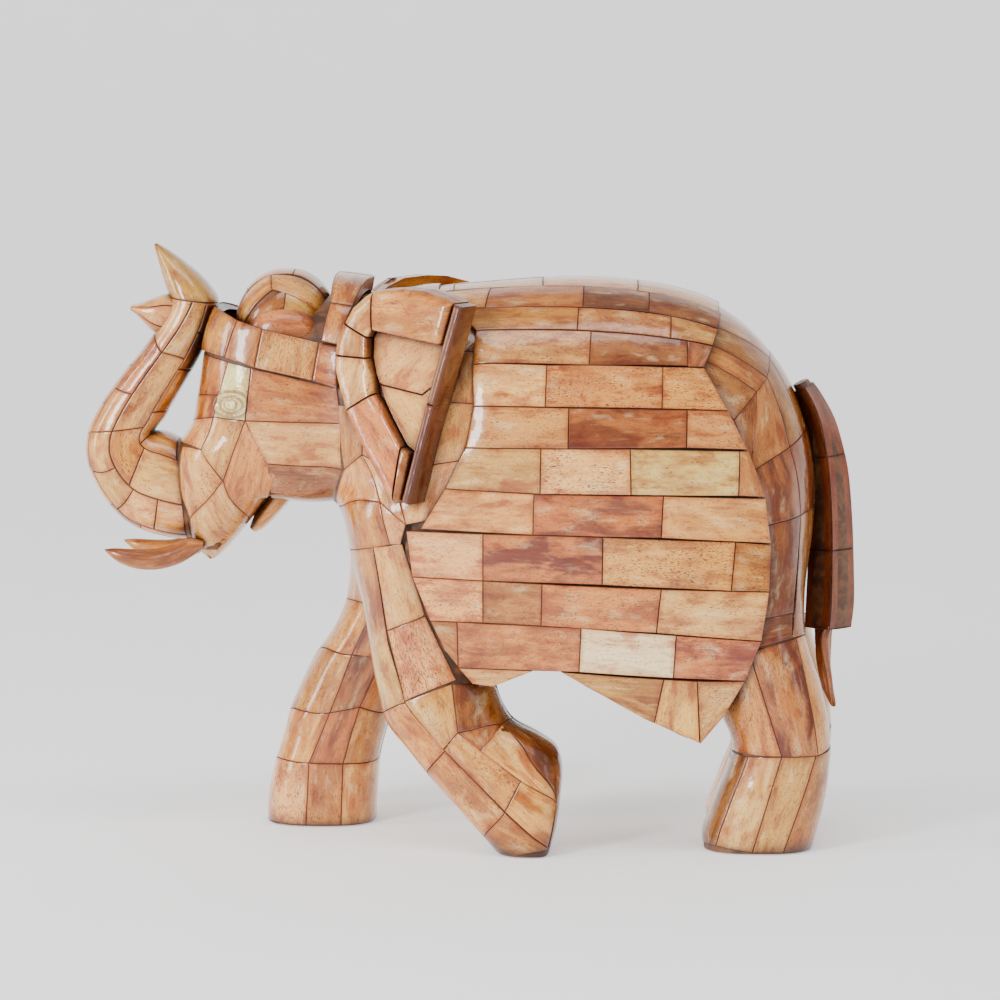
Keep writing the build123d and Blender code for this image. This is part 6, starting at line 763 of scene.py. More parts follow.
def place_tile(r, surf, p, nn, au, av, fq, fn, fine):
    node, _, mir, _, code, g = r
    lu, lv = au[-1], av[-1]
    ed = np.minimum(np.minimum(au, lu - au)[:, None], np.minimum(av, lv - av)[None, :])
    for side in ((0, 1) if mir else (0,)):
        tu, tv, h0 = RNG.normal(0, .035), RNG.normal(0, .035), RNG.uniform(-.05, .06)
        bow = RNG.uniform(0.0, .07)
        su, sv = (au / lu * 2 - 1)[:, None], (av / lv * 2 - 1)[None, :]
        h = h0 + tu * su + tv * sv + bow * (1 - su ** 2) * (1 - sv ** 2) - drop(ed, EDGE_R[surf], .8)
        if surf == "cloth":
            h = h + np.interp(p[..., 0], [22, 46], [0, .8]) * np.interp(p[..., 2], [122, 136], [1, 0])
            h = h - np.interp(p[..., 2], [112, 126], [.15, 1.6]) * np.clip(1 - (p[..., 0] - np.interp(p[..., 2], CLOTH_FZ, CLOTH_FX)) / 8.0, 0, 1) ** 2
        e2 = ed.copy()
        if fine:
            hr, gm = eye_relief(p)
            h = h + hr
            e2 = np.where(gm > .02, np.minimum(e2, .34 * (1 - gm) - .06), e2)
        top = p + nn * h[..., None]
        low = p - nn * DEPTH[surf]
        if surf == "body":
            top[..., 2], low[..., 2] = np.maximum(top[..., 2], SOLE_CLEAR), np.maximum(low[..., 2], SOLE_CLEAR)
        V, F, ring = grid_mesh(top, low)
        U, W = np.meshgrid(au, av, indexing="ij")
        if g:
            U, W = W, U
        tc = np.stack([U, W, 0 * U], -1)
        tcs = np.vstack([tc.reshape(-1, 3), np.array([tc[a] + (0, 0, 1.2) for a in ring])])
        es = np.concatenate([e2.ravel(), np.full(len(ring), .22)])
        fV = (fq - fn * 0.15).copy()
        if surf == "cloth":
            fV = fV - fn * (np.interp(fq[..., 2], [112, 126], [.15, 1.6]) * np.clip(1 - (fq[..., 0] - np.interp(fq[..., 2], CLOTH_FZ, CLOTH_FX)) / 8.0, 0, 1) ** 2)[..., None]
        if surf == "body":
            fV[..., 2] = np.maximum(fV[..., 2], SOLE_CLEAR)
        fF = [(i * 7 + j, (i + 1) * 7 + j, (i + 1) * 7 + j + 1, i * 7 + j + 1) for i in range(6) for j in range(6)]
        name = part_name(node, side)
        if side:
            V, fV = V * (1, -1, 1), fV * (1, -1, 1)
            if node.startswith("rear_leg"):
                V, fV = V + (RIGHT_REAR_SHIFT, 0, 0), fV + (RIGHT_REAR_SHIFT, 0, 0)
            F = [f[::-1] for f in F]
        add(name, V, F, tcs, es, code)
        filler(name, fV.reshape(-1, 3), fF)


FILL = {}


def filler(name, V, F):
    g = FILL.setdefault(name, dict(v=[], f=[], n=0))
    g["v"].append(V)
    g["f"] += [tuple(i + g["n"] for i in f) for f in F]
    g["n"] += len(V)


def part_name(node, side):
    if node in SPLIT:
        return SPLIT[node] + ("_right" if side else "_left")
    return WHOLE.get(node, node)


def tube_piece(name, tab, t0, t1, a0, a1, mir, code, g=0, joint=JOINT, depth=1.2, r=.4, step=1.0, quad=None, wave=0.0, tint=1.0):
    q = np.array(quad if quad is not None else [(t0, a0), (t1, a0), (t1, a1), (t0, a1)], float)
    pc = lambda t, a: tube(tab, np.array([t]), np.array([a]))[0]
    tm, am = q[:, 0].mean(), q[:, 1].mean()
    ts = np.linspace(q[:, 0].min(), q[:, 0].max(), 24)
    lu = np.linalg.norm(np.diff(tube(tab, ts, np.full(24, am)), axis=0), axis=1).sum()
    aa = np.linspace(q[:, 1].min(), q[:, 1].max(), 40)
    lv = np.linalg.norm(np.diff(tube(tab, np.full(40, tm), aa), axis=0), axis=1).sum()
    au, av = axis(max(lu - joint, 1.0), step), axis(max(lv - joint, 1.0), step)
    s, t = ((joint / 2 + au) / lu)[:, None, None], ((joint / 2 + av) / lv)[None, :, None]
    s, t = np.clip(s, 0, 1), np.clip(t, 0, 1)
    G = (1 - s) * (1 - t) * q[0] + s * (1 - t) * q[1] + s * t * q[2] + (1 - s) * t * q[3]
    p, nn = tube_patch(tab, G[..., 0], G[..., 1])
    ed = np.minimum(np.minimum(au, au[-1] - au)[:, None], np.minimum(av, av[-1] - av)[None, :])
    for side in ((0, 1) if mir else (0,)):
        h = RNG.uniform(-.04, .05) + RNG.normal(0, .03) * (au / au[-1] * 2 - 1)[:, None] - drop(ed, r, .8)
        if wave:
            h = h + wave * np.sin(G[..., 1] * 9 + 1.5 * np.sin(G[..., 0] * 2.1)) * np.clip(ed, 0, 1)
        top, low = p + nn * h[..., None], p - nn * depth
        V, F, ring = grid_mesh(top, low)
        U, W = np.meshgrid(au, av, indexing="ij")
        if g:
            U, W = W, U
        tc = np.stack([U, W, 0 * U], -1)
        tcs = np.vstack([tc.reshape(-1, 3), np.array([tc[a] + (0, 0, 1.2) for a in ring])])
        es = np.concatenate([ed.ravel(), np.full(len(ring), .22)])
        if side:
            V, F = V * (1, -1, 1), [f[::-1] for f in F]
        add(part_name(name, side), V, F, tcs, es, code, tint)


def tube_shell(name, tab, t0, t1, inset, code="D", nu=60, nv=48, move=(0, 0, 0), mirror=False, wave=0.0, ed=2.0, tint=1.0, pinch=False):
    """A closed tube following the chord table."""
    t = np.linspace(t0, t1, nu)
    a = np.linspace(0, 2 * np.pi, nv, endpoint=False)
    T_, A_ = np.meshgrid(t, a, indexing="ij")
    p, nn = tube_patch(tab, T_, A_)
    h = -inset + (wave * np.sin(A_ * 7 + 2.0 * np.sin(T_ * 1.7)) if wave else 0.0)
    p = p + nn * (h[..., None] if np.ndim(h) else h)
    idx = np.arange(nu * nv).reshape(nu, nv)
    F = [(idx[i, j], idx[i + 1, j], idx[i + 1, (j + 1) % nv], idx[i, (j + 1) % nv]) for i in range(nu - 1) for j in range(nv)]
    V = p.reshape(-1, 3) + np.array(move)
    c0, c1 = len(V), len(V) + 1
    V = np.vstack([V, p[0].mean(0) + move, p[-1].mean(0) + move])
    F += [(c0, idx[0, j], idx[0, (j + 1) % nv]) for j in range(nv)] + [(c1, idx[-1, (j + 1) % nv], idx[-1, j]) for j in range(nv)]
    c = p.mean(1)
    L = np.r_[0, np.cumsum(np.linalg.norm(np.diff(c, axis=0), axis=1))]
    R = np.linalg.norm(p - c[:, None], axis=-1).mean()
    tc = np.stack([np.repeat(L[:, None], nv, 1), A_ * R, 0 * A_], -1).reshape(-1, 3)
    tc = np.vstack([tc, tc[0], tc[-1]])
    E = np.full(len(V), ed)
    if mirror:
        V, F = V * (1, -1, 1), [f[::-1] for f in F]
    return V, F, tc, E


def rings_shell(F0, inset, centres, e1, e2, n=72, recentre=0, rmax=70.0):
    """Closed skin made of sections: each ray is followed out to the surface."""
    F = lambda p: F0(p) + inset
    A = np.linspace(0, 2 * np.pi, n, endpoint=False)
    D = np.cos(A)[:, None] * e1 + np.sin(A)[:, None] * e2
    rs = np.arange(0.0, rmax, 1.0)
    out, c = [], None
    axis_i = int(np.argmin(np.abs(e1) + np.abs(e2)))
    for o in centres:
        o = np.array(o, float)
        if recentre and c is not None:
            keep = o[axis_i]
            o = c.copy()
            o[axis_i] = keep
        for rep in range(recentre + 1):
            P = o + D[:, None, :] * rs[None, :, None]
            f = F(P)
            out_ = f > 0
            first = np.where(out_.any(1), out_.argmax(1), len(rs) - 1)
            b = rs[np.maximum(first, 1)]
            a = b - 1.0
            for _ in range(12):
                m = (a + b) / 2
                pos = F(o + D * m[:, None]) > 0
                b = np.where(pos, m, b)
                a = np.where(pos, a, m)
            pts = o + D * np.where(first == 0, 0.05, a)[:, None]
            c = pts.mean(0)
            if rep < recentre:
                o = c.copy()
        out.append(pts)
    P = np.array(out)
    nu = len(P)
    idx = np.arange(nu * n).reshape(nu, n)
    Fc = [(idx[i, j], idx[i, (j + 1) % n], idx[i + 1, (j + 1) % n], idx[i + 1, j]) for i in range(nu - 1) for j in range(n)]
    V = P.reshape(-1, 3)
    k0, k1 = len(V), len(V) + 1
    V = np.vstack([V, P[0].mean(0), P[-1].mean(0)])
    Fc += [(k0, idx[0, (j + 1) % n], idx[0, j]) for j in range(n)] + [(k1, idx[-1, j], idx[-1, (j + 1) % n]) for j in range(n)]
    L = np.arange(nu)[:, None] * 2.0 + 0 * A[None]
    tc = np.stack([L, np.repeat(A[None] * 20, nu, 0), 0 * L], -1).reshape(-1, 3)
    tc = np.vstack([tc, tc[0], tc[-1]])
    return V, Fc, tc, np.full(len(V), 2.0)


# ears ------------------------------------------------------------------------
def seg_dist(P, a, b):
    d = b - a
    L2 = (d * d).sum()
    t = np.clip(((P - a) @ d) / L2, 0, 1)
    return np.linalg.norm(P - (a + t[:, None] * d), axis=1)


def inside(P, poly):
    r = np.zeros(len(P), bool)
    n = len(poly)
    for i in range(n):
        a, b = poly[i], poly[(i + 1) % n]
        c = ((a[1] > P[:, 1]) != (b[1] > P[:, 1])) & (P[:, 0] < (b[0] - a[0]) * (P[:, 1] - a[1]) / (b[1] - a[1] + 1e-12) + a[0])
        r ^= c
    return r


def poly_tile(name, poly, others, lo, hi, side, code, ang, R=1.5, rj=.15, crown=0.0, step=.8, shrink=.05, point=None, inner=(), Ri=.7, wall=0.0):
    """A tile cut to a polygon in the ear's plane, its free edges well rounded."""
    point = point or ear_point
    P = np.array(poly, float)
    if ((P[:, 0] * np.roll(P[:, 1], -1) - np.roll(P[:, 0], -1) * P[:, 1]).sum()) < 0:
        P = P[::-1]
    n = len(P)
    free = []
    for i in range(n):
        m = (P[i] + P[(i + 1) % n]) / 2
        near = min([seg_dist(m[None], np.array(o[j], float), np.array(o[(j + 1) % len(o)], float))[0]
                    for o in others for j in range(len(o))] + [9.0])
        free.append(near > 0.75)
    Q = []
    for i in range(n):
        a, b, c = P[i - 1], P[i], P[(i + 1) % n]
        n0 = np.array([-(b - a)[1], (b - a)[0]]) / max(np.linalg.norm(b - a), 1e-9)
        n1 = np.array([-(c - b)[1], (c - b)[0]]) / max(np.linalg.norm(c - b), 1e-9)
        m = n0 + n1
        m /= max(np.linalg.norm(m), 1e-9)
        Q.append(b + m * shrink / max(m @ n0, .35))
    Q = np.array(Q)
    ring = []
    for i in range(n):
        a, b = Q[i], Q[(i + 1) % n]
        k = max(1, int(np.linalg.norm(b - a) / .45))
        ring += [a + (b - a) * j / k for j in range(k)]
    ring = np.array(ring)
    D = lambda X, sel: np.min([seg_dist(X, Q[i], Q[(i + 1) % n]) for i in range(n) if sel(i)] or [np.full(len(X), 99.0)], axis=0)
    nb = len(ring)
    tang = np.roll(ring, -1, 0) - np.roll(ring, 1, 0)
    nin = np.stack([-tang[:, 1], tang[:, 0]], 1)
    nin /= np.maximum(np.linalg.norm(nin, axis=1, keepdims=True), 1e-9)
    pts = [ring]
    for d in (.12, .34, .7, 1.15):
        X = ring + nin * d
        pts.append(X[inside(X, Q) & (D(X, lambda i: True) > d * .93)])
    lo2, hi2 = Q.min(0), Q.max(0)
    gx, gy = np.meshgrid(np.arange(lo2[0], hi2[0], step), np.arange(lo2[1], hi2[1], step * .87), indexing="ij")
    X = np.stack([gx.ravel(), gy.ravel()], 1)
    X[:, 0] += (np.round(X[:, 1] / (step * .87)) % 2) * step / 2
    pts.append(X[inside(X, Q) & (D(X, lambda i: True) > 1.5)])
    A = np.vstack(pts)
    co, _, fa, ov, _, _ = delaunay_2d_cdt([Vector(map(float, p)) for p in A], [], [list(range(nb))], 1, 1e-5)
    A = np.array([tuple(c) for c in co])
    inn = []
    for i in range(n):
        m = (P[i] + P[(i + 1) % n]) / 2
        inn.append(min([seg_dist(m[None], np.array(o[j], float), np.array(o[(j + 1) % len(o)], float))[0]
                        for o in inner for j in range(len(o))] + [9.0]) < .9)
    df, dj = D(A, lambda i: free[i] and not inn[i]), D(A, lambda i: not free[i])
    di = D(A, lambda i: free[i] and inn[i])
    h = hi - drop(df, R) - drop(di, Ri) - drop(dj, rj, .8) + crown * np.clip(np.minimum(df, di) / 4.0, 0, 1)
    h = np.maximum(h, lo + .05)
    src = [set(o) for o in ov]
    first = {}
    for i, o in enumerate(src):
        for k in o:
            if k < nb:
                first[k] = i
    if any(k not in first for k in range(nb)):
        return
    V = [point(u, v, off, side) for (u, v), off in zip(A, h)]
    F = [tuple(f) for f in fa]
    base = len(V)
    for k in range(nb):
        V.append(point(ring[k][0], ring[k][1], lo, side))
    for k in range(nb):
        F.append((first[k], base + k, base + (k + 1) % nb, first[(k + 1) % nb]))
    F.append(tuple(base + k for k in range(nb))[::-1])
    ca, sa = math.cos(ang), math.sin(ang)
    B = np.vstack([A, ring])
    tc = np.stack([B[:, 0] * ca + B[:, 1] * sa, -B[:, 0] * sa + B[:, 1] * ca, np.r_[np.zeros(len(A)), np.full(nb, 2.0)]], 1)
    e = np.r_[np.minimum(np.minimum(df * .8 + .12, dj), di + .1), np.full(nb, wall)]
    V = np.array(V)
    if side > 0:
        F = [f[::-1] for f in F]
    add(name, V, F, tc, e, code)


def ear_point(u, v, off, side):
    a = math.radians(EAR_ANGLE)
    p = np.array([EAR_O[0] + u * math.cos(a) - off * math.sin(a), -(EAR_O[1] + u * math.sin(a) + off * math.cos(a) - EAR_TILT * v), EAR_O[2] + v])
    if side > 0:
        p[1] *= -1
    return p


# ---------------------------------------------------------------------------
# build everything
surface_tiles(TILES)
for node, tab, mir, q, code, g in TUBE_TILES:
    if node == "trunk_upper_lip":
        tube_piece(node, TABLES[tab], 0, 0, 0, 0, mir, code, g, joint=.16, depth=1.0, r=.3, step=.8, quad=q)
    else:
        tube_piece(node, TABLES[tab], 0, 0, 0, 0, mir, code, g, quad=q, depth=1.2 if tab != "TAIL" else 1.0)

# the carved body under the tiles, coated with dark filler
def put_shell(node, V, F, tc, E, code="D2"):
    add(node, V, F, tc, E, code)


SP = lambda p: smin(f_torso(p), f_neck(p), 8.0)
xs = np.r_[np.linspace(-51.5, -20, 20), np.linspace(-18, 92, 50), np.linspace(93, 102.6, 14)]
zc = np.interp(xs, [-52, -44, -34, -20, 8, 44, 72, 90, 103], [129, 129, 122, 112, 109, 108, 104, 102.5, 102.5])
put_shell("torso_core", *rings_shell(SP, .42, [(x, 0, z) for x, z in zip(xs, zc)], Y1, Z1, 90))
hz = np.r_[np.linspace(86.5, 100, 20), np.linspace(102, 157, 60)]
hx = np.interp(hz, [84, 90, 97, 106, 120, 142, 150, 157], [-77.3, -76.6, -74.4, -68, -62, -62, -69, -75.5])
SLOPE = lambda p: p[..., 2] - (155.2 - .35 * (p[..., 0] + 75.0))
HF = lambda p: smin(smax(smax(smax(leg(p, HEAD, 1), p[..., 2] - 166.5, 7.0), SLOPE(p), 1.0), 103.0 - p[..., 2], 4.0),
                    smax(smax(leg(p, JAW, 1), p[..., 2] - 119.0, 6.0), 83.5 - p[..., 2], 1.5), 3.0)
put_shell("head_core", *rings_shell(HF, .42, [(x, 0, z) for x, z in zip(hx, hz)], X1, Y1, 72))
dz = np.linspace(140, 169.2, 34)
put_shell("forehead_dome_core", *rings_shell(f_dome, .42, [(-54.6, 0, z) for z in dz], X1, Y1, 60))


def leg_centres(tab, zs, side):
    xf, xb, yc, w, n = hermite(tab, zs)
    return [((a + b) / 2, side * y, z) for a, b, y, z in zip(xf, xb, yc, zs)]


zs = np.r_[0.04, np.linspace(1, 74, 44)]
V, F, tc, E = rings_shell(lambda p: leg(p, REAR_LEG, -1), .42, leg_centres(REAR_LEG, zs, -1), X1, Y1, 64)
put_shell("leg_core_rear_left", V, F, tc, E)
V, F, tc, E = rings_shell(lambda p: leg(p, REAR_LEG, -1), .42, leg_centres(REAR_LEG, zs[zs < 59], -1), X1, Y1, 64)
put_shell("leg_core_rear_right", V * (1, -1, 1) + (RIGHT_REAR_SHIFT, 0, 0), [f[::-1] for f in F], tc, E)
zs = np.r_[0.04, np.linspace(1, 96, 56)]
put_shell("leg_core_front_right", *rings_shell(lambda p: leg(p, FRONT_LEG_R, 1), .42, leg_centres(FRONT_LEG_R, zs, 1), X1, Y1, 64))
zs = np.r_[0.04, np.linspace(1.0, 98, 66)]
put_shell("leg_core_front_left", *rings_shell(f_front_left, .42, [(16.0, -33.0, z) for z in zs], X1, Y1, 72, recentre=2))

put_shell("trunk_core", *tube_shell("trunk_core", TRUNK, .6, 17.3, .40, nu=90, nv=64))
V, F, tc, E = tube_shell("l", LIP, .2, 5.75, .40, nu=30, nv=40)
put_shell("trunk_lower_lip_core", V, F, tc, E)
add("trunk_upper_lip", *tube_shell("u", TRUNK, 17.15, 21.8, .30, nu=40, nv=40), "D2")
V, F, tc, E = tube_shell("t", TAIL, .1, 7.9, .36, nu=60, nv=40)
put_shell("tail_core", V, F, tc, E)
V, F, tc, E = tube_shell("tuft", TUFT, 0.0, 5.0, 0.0, nu=70, nv=56, wave=.22)
add("tail_tuft", V, F, tc, E * .6, "TU")
V, F, tc, E = tube_shell("tusk", TUSK, 0.0, 7.0, 0.0, nu=70, nv=40)
add("tusk_left", V + (0, -13.0, 0), F, tc, E, "K")
add("tusk_right", (V + (0, -13.0, 0)) * (1, -1, 1) + (3.0, 0, 0), [f[::-1] for f in F], tc, E, "A")
V, F, tc, E = tube_shell("jaw", JAW_LIP, 0.0, 4.0, 0.0, nu=40, nv=48)
add("lower_jaw", V, F, tc, E, "TO")

# round bosses on the forehead dome
th, ph = np.meshgrid(np.linspace(0, np.pi, 41), np.linspace(0, 2 * np.pi, 72, endpoint=False), indexing="ij")
sgn = lambda v, e: np.sign(v) * np.abs(v) ** e
bx, bz, by = sgn(np.sin(th) * np.cos(ph), .9), sgn(np.sin(th) * np.sin(ph), .9), sgn(np.cos(th), .95)
idx = np.arange(41 * 72).reshape(41, 72)
bF = [(idx[i, j], idx[i, (j + 1) % 72], idx[i + 1, (j + 1) % 72], idx[i + 1, j]) for i in range(40) for j in range(72)]
for s, nm in ((-1, "left"), (1, "right")):
    bV = np.stack([-54.3 + 10.6 * bx, s * (17.0 + 5.0 * by), 151.5 + 7.6 * bz], -1).reshape(-1, 3)
    btc = np.stack([10.6 * bx, 7.6 * bz, 5 * by], -1).reshape(-1, 3)
    bed = np.clip((np.hypot(10.6 * bx, 7.6 * bz) * -1 + 9.2), .1, 2).reshape(-1)
    add("dome_boss_" + nm, bV, bF if s < 0 else [f[::-1] for f in bF], btc, bed, "PU")

# ears: frame, panel, core and edge bar tiles on both sides; the dark filler between surface tiles is part of the tile
# piece
EARC = {"frame": ["A2", "C", "A", "P1", "S", "A"], "panel": ["C", "C"], "bar": ["D", "D2"]}
for side, nm in ((-1, "left"), (1, "right")):
    for k, p in enumerate(EAR_FRAME_TILES):
        ang = [0.05, 0.6, 1.45, 1.2, -1.05, -1.2][k]
        poly_tile("ear_frame_" + nm, p, [o for o in EAR_FRAME_TILES if o is not p], -EAR_FRAME, 0.0, side, EARC["frame"][k], ang,
                  R=2.3, crown=.35, inner=EAR_PANEL_TILES, Ri=.8)
    for k, p in enumerate(EAR_PANEL_TILES):
        poly_tile("ear_panel_" + nm, p, [o for o in EAR_PANEL_TILES if o is not p], -EAR_FRAME, -EAR_FRAME + EAR_PANEL, side,
                  EARC["panel"][k], [0.7, -.9][k], R=.15)
    poly_tile("ear_core_" + nm, EAR_OUTLINE, [], -EAR_DEPTH, -EAR_FRAME + .05, side, "A", .3, R=.25, shrink=.0, step=2.0, wall=2.0)
    for k, ((u0, v0), (u1, v1)) in enumerate(zip(EAR_BAR_LINE[:-1], EAR_BAR_LINE[1:])):
        L = math.hypot(u1 - u0, v1 - v0)
        du, dv = (u1 - u0) / L, (v1 - v0) / L
        nu_, nv_ = -dv, du
        poly = [(u0 + nu_ * .2, v0 + nv_ * .2), (u0 + nu_ * EAR_BAR, v0 + nv_ * EAR_BAR),
                (u1 + nu_ * EAR_BAR, v1 + nv_ * EAR_BAR), (u1 + nu_ * .2, v1 + nv_ * .2)]
        poly_tile("ear_edge_bar_" + nm, poly, [], -EAR_DEPTH, -.4, side, EARC["bar"][k], math.atan2(dv, du), R=.7, shrink=.06, step=1.2, wall=1.5)


# ---------------------------------------------------------------------------
# materials
class Net:
    def __init__(self, name):
        self.m = bpy.data.materials.new(name)
        self.m.use_nodes = True
        self.t = self.m.node_tree
        self.t.nodes.clear()

    def node(self, kind, props=None, **ins):
        n = self.t.nodes.new(kind)
        for k, v in (props or {}).items():
            setattr(n, k, v)
        for k, v in ins.items():
            k = k.replace("_", " ")
            sock = n.inputs[int(k[1:])] if k[0] == "#" else n.inputs[k]
            if isinstance(v, bpy.types.NodeSocket):
                self.t.links.new(v, sock)
            else:
                sock.default_value = v
        return n

    def math(self, op, a, b=0.0, clamp=False):
        n = self.t.nodes.new("ShaderNodeMath")
        n.operation, n.use_clamp = op, clamp
        for s, v in zip(n.inputs, (a, b)):
            if isinstance(v, bpy.types.NodeSocket):
                self.t.links.new(v, s)
            else:
                s.default_value = v
        return n.outputs[0]

    def mix(self, fac, a, b, blend="MIX"):
        n = self.t.nodes.new("ShaderNodeMix")
        n.data_type, n.blend_type, n.clamp_factor = "RGBA", blend, True
        for s, v in ((n.inputs[0], fac), (n.inputs[6], a), (n.inputs[7], b)):
            if isinstance(v, bpy.types.NodeSocket):
                self.t.links.new(v, s)
            else:
                s.default_value = v
        return n.outputs[2]

    def attr(self, name):
        return self.node("ShaderNodeAttribute", {"attribute_name": name, "attribute_type": "GEOMETRY"})

    def noise(self, vec, scale, detail=4.0, rough=.55, dist=0.0):
        v = self.node("ShaderNodeMapping", None, Vector=vec, Scale=scale).outputs[0]
        return self.node("ShaderNodeTexNoise", {"noise_dimensions": "3D"}, Vector=v, Scale=1.0, Detail=detail, Roughness=rough,
                         Distortion=dist).outputs["Fac"]

    def ramp(self, x, a, b, lo=0.0, hi=1.0):
        n = self.node("ShaderNodeMapRange", {"interpolation_type": "SMOOTHSTEP", "clamp": True}, Value=x)
        for k, v in zip(("From Min", "From Max", "To Min", "To Max"), (a, b, lo, hi)):
            n.inputs[k].default_value = v
        return n.outputs[0]


def tile_material(name, rough=.25, coat=.60, spec=.40, recess_dirt_and_shade=.95, pale=1.0):
    """Varnished tile: grain along each tile, stains, pores, darker edges, and painted shade with dirt in the recesses.
    """
    k = Net(name)
    tc = k.attr("tc").outputs["Vector"]
    ba, sb, ed = k.attr("ba"), k.attr("sb"), k.attr("ed").outputs["Fac"]
    stain = k.noise(tc, (.06, .17, .3), 4.0, .55, .35)
    blot = k.noise(tc, (.11, .26, .5), 4.0, .58, .3)
    streak = k.noise(tc, (.10, 1.1, .5), 4.0, .55, .1)
    fibre = k.noise(tc, (.50, 7.0, 1.0), 3.0, .6, .05)
    c = k.mix(k.math("MULTIPLY", k.ramp(stain, .43, .62), k.math("MULTIPLY", sb.outputs["Alpha"], 1.25), True),
              ba.outputs["Color"], sb.outputs["Color"])
    c = k.mix(k.ramp(blot, .50, .68, 0, .75), c, (*srgb((.76, .50, .28)), 1), "MULTIPLY")
    c = k.mix(k.ramp(blot, .46, .28, 0, .30 * pale), c, (*srgb((.98, .88, .66)), 1), "SCREEN")
    c = k.mix(k.ramp(streak, .48, .74, 0, .42), c, (*srgb((.74, .50, .30)), 1), "MULTIPLY")
    c = k.mix(k.ramp(streak, .44, .24, 0, .14 * pale), c, (*srgb((.99, .90, .70)), 1), "SCREEN")
    c = k.mix(k.ramp(fibre, .48, .76, 0, .34), c, (*srgb((.70, .48, .32)), 1), "MULTIPLY")
    # pores: short dark dashes along the grain, gathered in patches
    pore = k.ramp(k.noise(tc, (.95, 3.6, 1.0), 1.5, .75, .2), .57, .62)
    patch = k.ramp(k.noise(tc, (.13, .24, 1.0), 2.0, .5), .38, .58, .25, 1.0)
    pf = k.math("MULTIPLY", k.math("MULTIPLY", pore, patch), k.math("MULTIPLY", ba.outputs["Alpha"], 1.9), True)
    c = k.mix(k.math("MULTIPLY", pf, .92), c, (*srgb((.30, .14, .06)), 1))
    speck = k.ramp(k.noise(tc, (1.1, 2.2, 1.0), 1.0, .5), .67, .70)
    c = k.mix(k.math("MULTIPLY", speck, .7), c, (*srgb((.34, .17, .08)), 1))
    # joints and edges: stained darker
    wob = k.noise(tc, (.8, .8, .8), 3.0, .6)
    edge = k.ramp(k.math("SUBTRACT", ed, k.math("MULTIPLY", wob, .22)), -.02, .22, 1, 0)
    c = k.mix(k.math("MULTIPLY", edge, .50), c, (*srgb((.40, .21, .10)), 1))
    halo = k.ramp(k.math("SUBTRACT", ed, k.math("MULTIPLY", wob, 1.6)), -.4, .9, .40, 0)
    c = k.mix(halo, c, (*srgb((.80, .52, .28)), 1), "MULTIPLY")
    # painted shade and dirt: ambient occlusion darkens the colour towards dark brown in recesses and between parts,
    # where shade falls and dirt gathers
    ao = k.node("ShaderNodeAmbientOcclusion", {"samples": 6}, Distance=.0065)
    recess_shade_mask = k.ramp(ao.outputs["AO"], .42, .95, recess_dirt_and_shade, 0)
    c = k.mix(recess_shade_mask, c, (*srgb((.30, .14, .06)), 1), "MULTIPLY")
    wave = k.noise(tc, (.16, .16, .16), 2.0, .5)
    b1 = k.node("ShaderNodeBump", None, Strength=.5, Distance=.00045, Height=wave)
    h2 = k.math("SUBTRACT", k.math("MULTIPLY", fibre, .35), k.math("MULTIPLY", pf, .8))
    b2 = k.node("ShaderNodeBump", None, Strength=.28, Distance=.00012, Height=h2, Normal=b1.outputs[0])
    r = k.math("ADD", k.math("MULTIPLY", streak, .16), rough - .08)
    r = k.math("ADD", r, k.math("MULTIPLY", edge, .2))
    p = k.node("ShaderNodeBsdfPrincipled", None, Base_Color=c, Roughness=r, Normal=b2.outputs[0])
    p.inputs["Specular IOR Level"].default_value = spec
    p.inputs["Coat Weight"].default_value = coat
    p.inputs["Coat Roughness"].default_value = .05
    k.t.links.new(b1.outputs[0], p.inputs["Coat Normal"])
    o = k.node("ShaderNodeOutputMaterial")
    k.t.links.new(p.outputs[0], o.inputs["Surface"])
    return k.m


def filler_material():
    k = Net("joint filler")
    tc = k.node("ShaderNodeTexCoord").outputs["Object"]
    n = k.noise(tc, (900, 900, 900), 4.0, .6)
    c = k.mix(n, (*srgb((.20, .12, .07)), 1), (*srgb((.42, .26, .15)), 1))
    b = k.node("ShaderNodeBump", None, Strength=.4, Distance=.0002, Height=n)
    p = k.node("ShaderNodeBsdfPrincipled", None, Base_Color=c, Roughness=.8, Normal=b.outputs[0])
    p.inputs["Specular IOR Level"].default_value = .15
    o = k.node("ShaderNodeOutputMaterial")
    k.t.links.new(p.outputs[0], o.inputs["Surface"])
    return k.m


def core_material():
    """Carved hardwood with filler smeared over it."""
    k = Net("carved wood")
    tc = k.node("ShaderNodeTexCoord").outputs["Object"]
    g = k.noise(tc, (60, 420, 420), 5.0, .6, .4)
    s = k.noise(tc, (140, 140, 140), 4.0, .6)
    c = k.mix(k.ramp(g, .35, .7), (*srgb((.46, .29, .16)), 1), (*srgb((.32, .18, .10)), 1))
    c = k.mix(k.ramp(s, .45, .6), c, (*srgb((.26, .15, .09)), 1))
    b = k.node("ShaderNodeBump", None, Strength=.5, Distance=.0003, Height=s)
    p = k.node("ShaderNodeBsdfPrincipled", None, Base_Color=c, Roughness=.46, Normal=b.outputs[0])
    o = k.node("ShaderNodeOutputMaterial")
    k.t.links.new(p.outputs[0], o.inputs["Surface"])
    return k.m


MAT_TILE = tile_material("glued tile")
MAT_DARK = tile_material("dark tile", rough=.24, coat=.30, recess_dirt_and_shade=.45, pale=0.25)
MAT_CORE = core_material()
MAT_FILL = filler_material()
DARK = ("tail_tuft", "tail_tiles", "tusk_left", "tusk_right", "ear_edge_bar_left", "ear_edge_bar_right", "dome_boss_left", "dome_boss_right")


def slot_of(n):
    if "core" in n or "backing" in n:
        return "carved_wood"
    return "dark_tile" if n in DARK and n != "tail_tiles" else "glued_tile"


